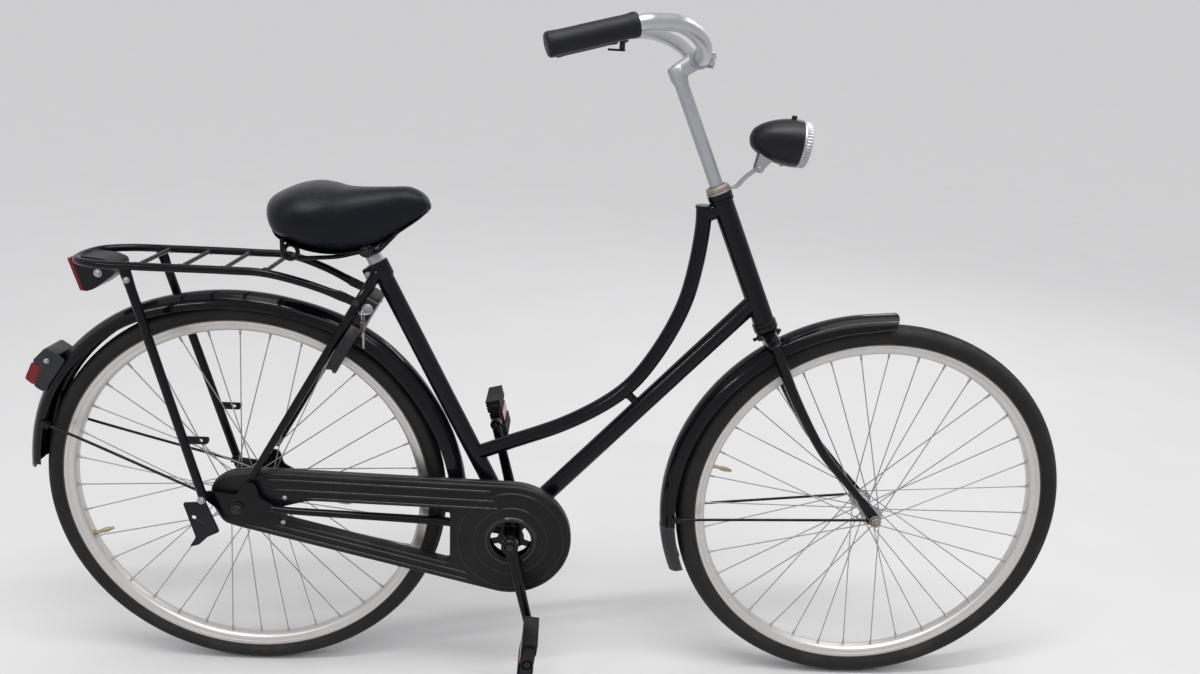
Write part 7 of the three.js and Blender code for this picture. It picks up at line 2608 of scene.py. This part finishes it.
@dataclass
class Saddle(Assembly):
    """The padded saddle on its sprung rails, its clamp and the seat post."""

    length: float = 252.0
    half_width: float = 103.0
    height: float = 93.0
    base: float = 800.0
    rear: float = -487.0
    shares: tuple[tuple[float, float, float, float], ...] = (
        (0, 0.1, 0.602, 0.43), (0.03, 0.52, 0.753, 0.28), (0.09, 0.82, 0.86, 0.14), (0.18, 0.97, 0.957, 0.054),
        (0.27, 1, 1, -0.03), (0.37, 0.92, 0.984, -0.09), (0.46, 0.74, 0.946, -0.12), (0.56, 0.54, 0.946, -0.1),
        (0.66, 0.41, 0.962, -0.03), (0.76, 0.33, 0.978, 0.13), (0.86, 0.29, 0.989, 0.32), (0.93, 0.24, 0.925, 0.46),
        (0.975, 0.17, 0.828, 0.57), (1, 0.06, 0.71, 0.624))
    rail_shares: tuple[Triple, ...] = (
        (0.88, 0.08, 0.5), (0.76, 0.19, 0.12), (0.66, 0.23, -0.13), (0.58, 0.23, -0.13), (0.44, 0.3, -0.21),
        (0.3, 0.46, -0.215))
    curl_shares: Triple = (0.17, 0.5, -0.1)
    curl_radius: float = 11.0
    curl_pitch: float = 9.0
    post_low: float = 411.0
    clamp_up: float = 559.0
    post_radius: float = 12.8

    def build(self) -> None:
        """Makes the saddle."""
        cover = self.put("saddle_cover", self.cover(), VINYL, "saddle", ["saddle_cushion"], crease=70)
        self.put("saddle_pan", self.pan(), PLASTIC, "saddle", crease=50)
        self.put("saddle_rails", [self.rail(s.value) for s in Side], ENAMEL, "saddle", ["saddle_frame"])
        self.put("saddle_clamp", self.clamp(), DARK_STEEL, "saddle", bevel=0.4)
        r, neck = self.post_radius, self.clamp_up - self.post_low
        post = lathe([(0, 0), (r, 0), (r, neck), (r - 1.2, neck + 5), (0, neck + 5)],
                     LAYOUT.on_seat_tube(self.post_low), LAYOUT.seat_up, 36)
        self.put("seat_post_tube", post, ALLOY, "saddle", ["seat_post"])

    def stations(self, count: int) -> Vec:
        """Stations from tail to nose with half width, top and skirt, smoothly between the listed ones.

        Args:
            count: number of stations.

        Returns:
            Rows of place, half width, top and skirt in millimetres.
        """
        table = np.array(self.shares)
        line_a = smooth_path([(r[0] * 2.5, r[1], r[2]) for r in table], 400)
        line_b = smooth_path([(r[0] * 2.5, r[2], r[3]) for r in table], 400)
        places = 0.5 - 0.5 * np.cos(np.linspace(0, pi, count))
        half = np.interp(places * 2.5, line_a[:, 0], line_a[:, 1])
        top = np.interp(places * 2.5, line_a[:, 0], line_a[:, 2])
        skirt = np.interp(places * 2.5, line_b[:, 0], line_b[:, 2])
        return np.stack([self.rear + places * self.length, half * self.half_width, top * self.height + self.base,
                         skirt * self.height + self.base], axis=1)

    def section(self, half: float, top: float, skirt: float, count: int = 44) -> list[tuple[float, float]]:
        """The cover's section from one lower edge over the top to the other.

        Args:
            half: half width.
            top: height of the top.
            skirt: height of the lower edge.
            count: number of points.

        Returns:
            Pairs of place across and height.
        """
        middle = blend_of(skirt, top, 0.45)
        points = []
        for angle in np.linspace(-pi * 0.5, pi * 1.5, 2 * count, endpoint=False):
            c, s = cos(angle), sin(angle)
            across = bulge(c, 0.8)
            rise = bulge(s, 0.75 if s > 0 else 0.5)
            height = blend_of(middle, top, rise) if rise > 0 else blend_of(middle, skirt, -rise)
            drawn = 1 + 0.16 * rise if rise < 0 else 1.0
            points.append((half * across * drawn, height))
        return points

    def cover(self) -> Shape:
        """The smooth vinyl cover from tail to nose."""
        return loft([np.array([(x, across, height) for across, height in self.section(half, top, skirt)])
                     for x, half, top, skirt in self.stations(72)])

    def pan(self) -> Shape:
        """The moulded pan under the padding."""
        return loft([np.array([(x, half * 0.72 * cos(t), skirt + 0.4 + 2.4 * sin(t)) for t in turn(20)])
                     for x, half, _, skirt in self.stations(40)[3:-3]])

    def rail(self, side: int) -> Shape:
        """One rail with its single curl at the back.

        Args:
            side: 1 left, -1 right.

        Returns:
            The bent wire.
        """
        def at(shares: Triple) -> Vec:
            """A point by its shares of the length, half width and height."""
            along, out, up = shares
            return vec(self.rear + along * self.length, side * out * self.half_width, self.base + up * self.height)

        knots = [at(s) for s in self.rail_shares]
        centre = at(self.curl_shares)
        turns = 20
        for i in range(turns + 1):
            angle = TAU * i / 16
            knots.append(centre + vec(-self.curl_radius * sin(angle), side * self.curl_pitch * i / 16,
                                      -self.curl_radius * cos(angle)))
        knots.append(knots[-1] + vec(0, 0, 2 * self.curl_radius))
        return tube(smooth_path(knots, 150), 3.5, 14)

    def clamp(self) -> list[Shape]:
        """The clamp on the post with its toothed cheeks and bolt.

        Returns:
            Its parts.
        """
        at = LAYOUT.on_seat_tube(self.clamp_up)
        core = lathe([(0, -22), (13.4, -22), (14.4, -20.8), (14.4, 20.8), (13.4, 22), (0, 22)], at, Y_AXIS, 36)
        cheek = [(0, 22.4), (11, 22.4), (12.4, 23.4), (12.4, 25.6), (10.6, 27.6), (7, 28.6), (0, 28.6)]
        cheeks = [lathe(cheek, at, Y_AXIS * s, 24) for s in (-1, 1)]
        nuts = [hex_nut(at + Y_AXIS * (28.4 * s), Y_AXIS * s, 7.2, 5.4, 4.0 if s > 0 else 0) for s in (-1, 1)]
        return [core, *cheeks, *nuts, bar(at + Y_AXIS * 28, at + Y_AXIS * 37, 4, sides=16)]


# Ring lock


@dataclass
class RingLock(Assembly):
    """The ring lock on the seat stays, its shackle and both keys."""

    ring: float = 51.0
    bar_radius: float = 4.5
    case_half: float = 8.0
    thickness: float = 20.0
    house_length: float = 54.0
    house_half: float = 40.0
    below_head: float = 140.0
    before_stays: float = 18.3
    opening: float = radians(37)
    span: float = radians(84)
    key_rise: float = 22.0
    wire_ring: float = 9.0
    wire: float = 0.9
    bow_reach: float = 22.1

    @property
    def down(self) -> Vec:
        """Direction down the seat stays."""
        head, foot = LAYOUT.on_seat_tube(LAYOUT.stay_head), LAYOUT.stay_foot
        return unit(vec(foot[0] - head[0], 0, foot[2] - head[2]))

    @property
    def normal(self) -> Vec:
        """Direction forwards of the stays."""
        d = self.down
        return vec(-d[2], 0, d[0])

    @property
    def key_seat(self) -> Vec:
        """Middle of the cylinder's face, on the right of the housing."""
        return self.on_lock(-(self.ring + self.case_half) - self.key_rise, -self.house_half)

    def on_lock(self, down: float, left: float, forward: float = 0.0) -> Vec:
        """A point of the lock's plane by its distances from the ring's centre."""
        centre = LAYOUT.on_seat_tube(LAYOUT.stay_head) + self.down * self.below_head + self.normal * self.before_stays
        return centre + self.down * down + Y_AXIS * left + self.normal * forward

    def build(self) -> None:
        """Makes the lock and its keys."""
        self.put("lock_ring", self.case(), PLASTIC, "frame", ["lock_case"], crease=32)
        self.put("lock_house", self.house(), PLASTIC, "frame", bevel=3.0)
        self.put("lock_face", self.cylinder_face(), ALLOY, "frame", bevel=0.3)
        self.put("lock_bow", self.shackle(), STEEL, "shackle", ["lock_shackle"], crease=40)
        self.put("lock_knob", self.knob(), PLASTIC, "shackle", bevel=1.2)
        self.put("key_in_lock", self.key(), STEEL, "key", ["lock_key"], bevel=0.3)
        self.put("spare_key_set", self.spare(), STEEL, "loose_key", ["spare_key"], bevel=0.3)
        self.put("spare_key_head", self.spare_head(), KEY_HEAD, "loose_key", bevel=0.8)

    def arc_of(self, start: float, end: float, section: Sequence[Pair], steps: int) -> Shape:
        """A bent bar about the ring's centre."""
        return loft([np.array([self.on_lock(r * cos(angle), r * sin(angle), f) for r, f in section])
                     for angle in np.linspace(start, end, steps + 1)])

    def case(self) -> list[Shape]:
        """The ring-shaped case, open along the outside where the thumb knob runs and at the other mouth.

        Returns:
            The case in parts.
        """
        h, t, slot, bore = self.case_half, self.thickness / 2, 3.4, 5.3
        over = [(h - 1, -t + 1), (h - 3, -t), (-h + 3, -t), (-h + 1, -t + 1), (-h, -t + 3), (-h, t - 3),
                (-h + 1, t - 1), (-h + 3, t), (h - 3, t), (h - 1, t - 1)]
        mouth = asin(slot / bore)
        channel = [(bore * cos(a), bore * sin(a)) for a in np.linspace(mouth, TAU - mouth, 14)]
        plain = [(self.ring + a, b) for a, b in over]
        open_side = [(self.ring + a, b) for a, b in [(h, -slot), *over, (h, slot), *channel]]
        end = self.opening + self.span + 0.12
        last = TAU - self.opening
        return [self.arc_of(self.opening, end, open_side, 26), self.arc_of(end, last - 0.1, plain, 52),
                self.arc_of(last - 0.1, last, open_side, 4)]

    def house(self) -> Shape:
        """The lock's upper housing between the stays.

        Returns:
            The block.
        """
        base = self.ring - self.case_half + 2
        top = base + self.house_length
        corners = [(-1, base), (1, base), (0.86, top), (-0.86, top)]
        outline = rounded([(-up, left * self.house_half) for left, up in corners], 9, 5)
        return prism(outline, -10, 10, origin=self.on_lock(0, 0), u=self.down, v=Y_AXIS, w=self.normal)

    def cylinder_face(self) -> list[Shape]:
        """The bright collar round the key's cylinder and the fixing screws.

        Returns:
            The collar and the screws.
        """
        seat = self.key_seat
        collar = lathe([(7.4, -0.2), (9.2, -0.2), (9.2, 1.0), (8.6, 1.6), (7.4, 1.6)], seat + Y_AXIS * 2.8, -Y_AXIS, 32)
        screws = [screw(self.on_lock(-self.ring - 34, left, 10), self.normal, 3.4, 1.8) for left in (-22, 22)]
        return [collar, *screws]

    def shackle(self) -> Shape:
        """The round bow."""
        section = [(self.ring + self.bar_radius * cos(t), self.bar_radius * sin(t)) for t in turn(16)]
        return self.arc_of(self.opening, self.opening + self.span, section, 30)

    def knob(self) -> Shape:
        """The thumb knob on the shackle's end.

        Returns:
            The knob.
        """
        end = self.opening + self.span
        width = 2 * self.bar_radius / self.ring
        h = self.bar_radius * 0.62
        section = [(self.ring + 2, -h), (self.ring + 20, -h), (self.ring + 20, h), (self.ring + 2, h)]
        return self.arc_of(end - width, end, section, 4)

    def key(self) -> list[Shape]:
        """The key in its cylinder, with its round bow.

        Returns:
            The cylinder, shank and bow.
        """
        seat = self.key_seat
        plug = lathe([(0, -17.4), (6.9, -17.4), (6.9, -0.6), (6.2, 0), (0, 0)], seat, -Y_AXIS, 32)
        shank = box_shape(seat - Y_AXIS * 9, (6.6, 20, 2.6))
        head = lathe([(2.7, -1.4), (9.4, -1.4), (10, -0.8), (10, 0.8), (9.4, 1.4), (2.7, 1.4)], seat - Y_AXIS * 18,
                     Z_AXIS, 32)
        return [plug, shank, head]

    @property
    def ring_centre(self) -> Vec:
        """Centre of the spare key's wire ring, which hangs in the bow's hole."""
        return self.key_seat - Y_AXIS * (self.bow_reach - 0.3 + self.wire_ring)

    def spare(self) -> list[Shape]:
        """The wire ring and the spare key's blade.

        Returns:
            The ring and the blade.
        """
        c = self.ring_centre
        wire = lathe([(self.wire_ring + self.wire * cos(t), self.wire * sin(t)) for t in turn(10)], c, X_AXIS, 40,
                     ring=True)
        teeth = [(-3.3, -44), (-0.5, -47.5), (3.3, -45), (2.0, -41), (3.3, -38), (2.2, -34), (3.3, -30), (3.3, -18),
                 (-3.3, -18)]
        blade = prism(teeth, -1.1, 1.1, origin=c - Z_AXIS * self.wire_ring, u=Y_AXIS, v=Z_AXIS, w=X_AXIS)
        return [wire, blade]

    def spare_head(self) -> Shape:
        """The spare key's moulded head.

        Returns:
            The head.
        """
        hang = self.ring_centre - Z_AXIS * (self.wire_ring - 1.2)
        outline = rounded([(-9.6, -19), (9.6, -19), (9.6, -3), (5, 0.6), (-5, 0.6), (-9.6, -3)], 4, 4)
        return prism(outline, -2.4, 2.4, [circle(0, -3.2, 2.2, 14)], origin=hang, u=Y_AXIS, v=Z_AXIS, w=X_AXIS)


# Stage


@dataclass
class Stage:
    """The pale floor, the soft light and the camera."""

    camera_at: Triple = (-0.01066, -1.4249, 1.1026)
    yaw: float = 0.0493
    pitch: float = 0.3049
    roll: float = -0.0563
    focal_pixels: float = 880.0
    image: tuple[int, int] = (1200, 674)
    floor_radius: float = 60000.0
    floor_color: Triple = (0.62, 0.61, 0.61)
    room_color: Knot = (0.9, 0.92, 0.96, 1)
    backdrop_color: Knot = (0.616, 0.61, 0.622, 1)

    def build(self) -> None:
        """Makes the floor, world, lights and camera."""
        self.floor()
        self.world()
        self.sun("ceiling_light", (0.15, -0.25, 1.0), 1.1, 1.9)
        self.light("overhead", (0.2, -0.9, 3.2), (0, 0, 0.5), (2.8, 0.1), 40.0)
        self.light("window_side", (-2.8, -2.4, 2.6), (-0.2, 0, 0.6), (1.5, 0.1), 16.0)
        self.light("far_side", (2.2, 2.6, 2.4), (0.2, 0, 0.6), (2.0, 0.1), 16.0)
        self.camera()

    def floor(self) -> None:
        """A wide pale floor with faint mottling that takes the bicycle's shadow."""
        disc = lathe([(self.floor_radius, 0), (0, 0)], vec(-CENTRE_SHIFT, 0, -0.2), Z_AXIS, 96)
        mesh = bpy.data.meshes.new("floor")
        mesh.from_pydata((disc.points * MM).tolist(), [], disc.faces)
        floor = bpy.data.objects.new("floor", mesh)
        bpy.context.scene.collection.objects.link(floor)
        made = bpy.data.materials.new("pale_floor")
        made.use_nodes = True
        kit = NodeKit(made.node_tree)
        shader = kit.node("ShaderNodeBsdfPrincipled", {"Roughness": 0.9, "Specular IOR Level": 0.1})
        kit.link(shader.outputs[0], kit.node("ShaderNodeOutputMaterial").inputs[0])
        mottled = kit.mix(kit.noise(3.0, 6.0, 0.6), rgba(self.floor_color, 0.93), rgba(self.floor_color))
        kit.link(mottled, shader.inputs["Base Color"])
        mesh.materials.append(made)

    def world(self) -> None:
        """Even light from all round, with a calm pale backdrop for the camera."""
        world = bpy.data.worlds.new("soft_room")
        bpy.context.scene.world = world
        world.use_nodes = True
        kit = NodeKit(world.node_tree)
        path = kit.node("ShaderNodeLightPath")
        room = kit.node("ShaderNodeBackground", {"Color": self.room_color, "Strength": 0.5})
        seen = kit.node("ShaderNodeBackground", {"Color": self.backdrop_color, "Strength": 1.0})
        mix = kit.node("ShaderNodeMixShader", {1: room.outputs[0], 2: seen.outputs[0]})
        bare = kit.math("MAXIMUM", path.outputs["Is Camera Ray"], path.outputs["Is Glossy Ray"])
        kit.link(kit.math("MAXIMUM", bare, path.outputs["Is Transmission Ray"]), mix.inputs[0])
        kit.link(mix.outputs[0], kit.node("ShaderNodeOutputWorld").inputs[0])

    def sun(self, name: str, towards: Knot, spread: float, strength: float) -> None:
        """Adds an even light from a wide patch of the ceiling.

        Args:
            name: its name.
            towards: the direction to it.
            spread: its apparent width in radians.
            strength: its strength.
        """
        data = bpy.data.lights.new(name, "SUN")
        data.angle = spread
        data.energy = strength
        made = bpy.data.objects.new(name, data)
        made.rotation_euler = Vector(towards).to_track_quat("Z", "Y").to_euler()
        bpy.context.scene.collection.objects.link(made)

    def light(self, name: str, at: Knot, towards: Knot, size: Pair, power: float) -> None:
        """Adds one soft rectangular light.

        Args:
            name: its name.
            at: its place in metres.
            towards: the point that it faces.
            size: its sides in metres.
            power: its power in watts.
        """
        data = bpy.data.lights.new(name, "AREA")
        data.shape = "RECTANGLE"
        data.size, data.size_y = size
        data.energy = power
        made = bpy.data.objects.new(name, data)
        made.location = at
        made.rotation_euler = (Vector(towards) - Vector(at)).to_track_quat("-Z", "Y").to_euler()
        bpy.context.scene.collection.objects.link(made)

    def camera(self) -> None:
        """The camera where the photographer stood."""
        forward = vec(sin(self.yaw) * cos(self.pitch), cos(self.yaw) * cos(self.pitch), -sin(self.pitch))
        right = vec(cos(self.yaw), -sin(self.yaw), 0)
        down = np.cross(forward, right)
        across = cos(self.roll) * right + sin(self.roll) * down
        below = -sin(self.roll) * right + cos(self.roll) * down
        data = bpy.data.cameras.new("photo_camera")
        data.sensor_fit = "HORIZONTAL"
        data.sensor_width = 36.0
        data.lens = 36.0 * self.focal_pixels / self.image[0]
        made = bpy.data.objects.new("photo_camera", data)
        rotation = Matrix((Vector(across), Vector(-below), Vector(-forward))).transposed().to_4x4()
        made.matrix_world = Matrix.Translation(Vector(self.camera_at)) @ rotation
        bpy.context.scene.collection.objects.link(made)
        bpy.context.scene.camera = made
        bpy.context.scene.view_settings.view_transform = "Standard"


def main() -> None:
    """Builds the bicycle's sub-assemblies in order, then the stage."""
    logging.basicConfig(level=logging.INFO, format="%(name)s: %(message)s")
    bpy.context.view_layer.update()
    front = Wheel("front", "front_wheel", LAYOUT.front_axle, TyreShape(LAYOUT.front_radius, 40.0), 19.0, 32.0, 12.0,
                  radians(166))
    rear = Wheel("rear", "rear_wheel", LAYOUT.rear_axle, TyreShape(LAYOUT.rear_radius, 37.0), 31.0, 25.0, 22.0,
                 radians(199))
    for assembly in (front, rear, Axles(), FrameTubes(), ForkSet(), Mudguards(), ChainDrive(), Cranks(), Rack(),
                     Lamps(), Cockpit(), Saddle(), RingLock()):
        assembly.build()
        LOG.info("built %s", type(assembly).__name__)
    Stage().build()
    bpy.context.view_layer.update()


if __name__ == "__main__":
    main()
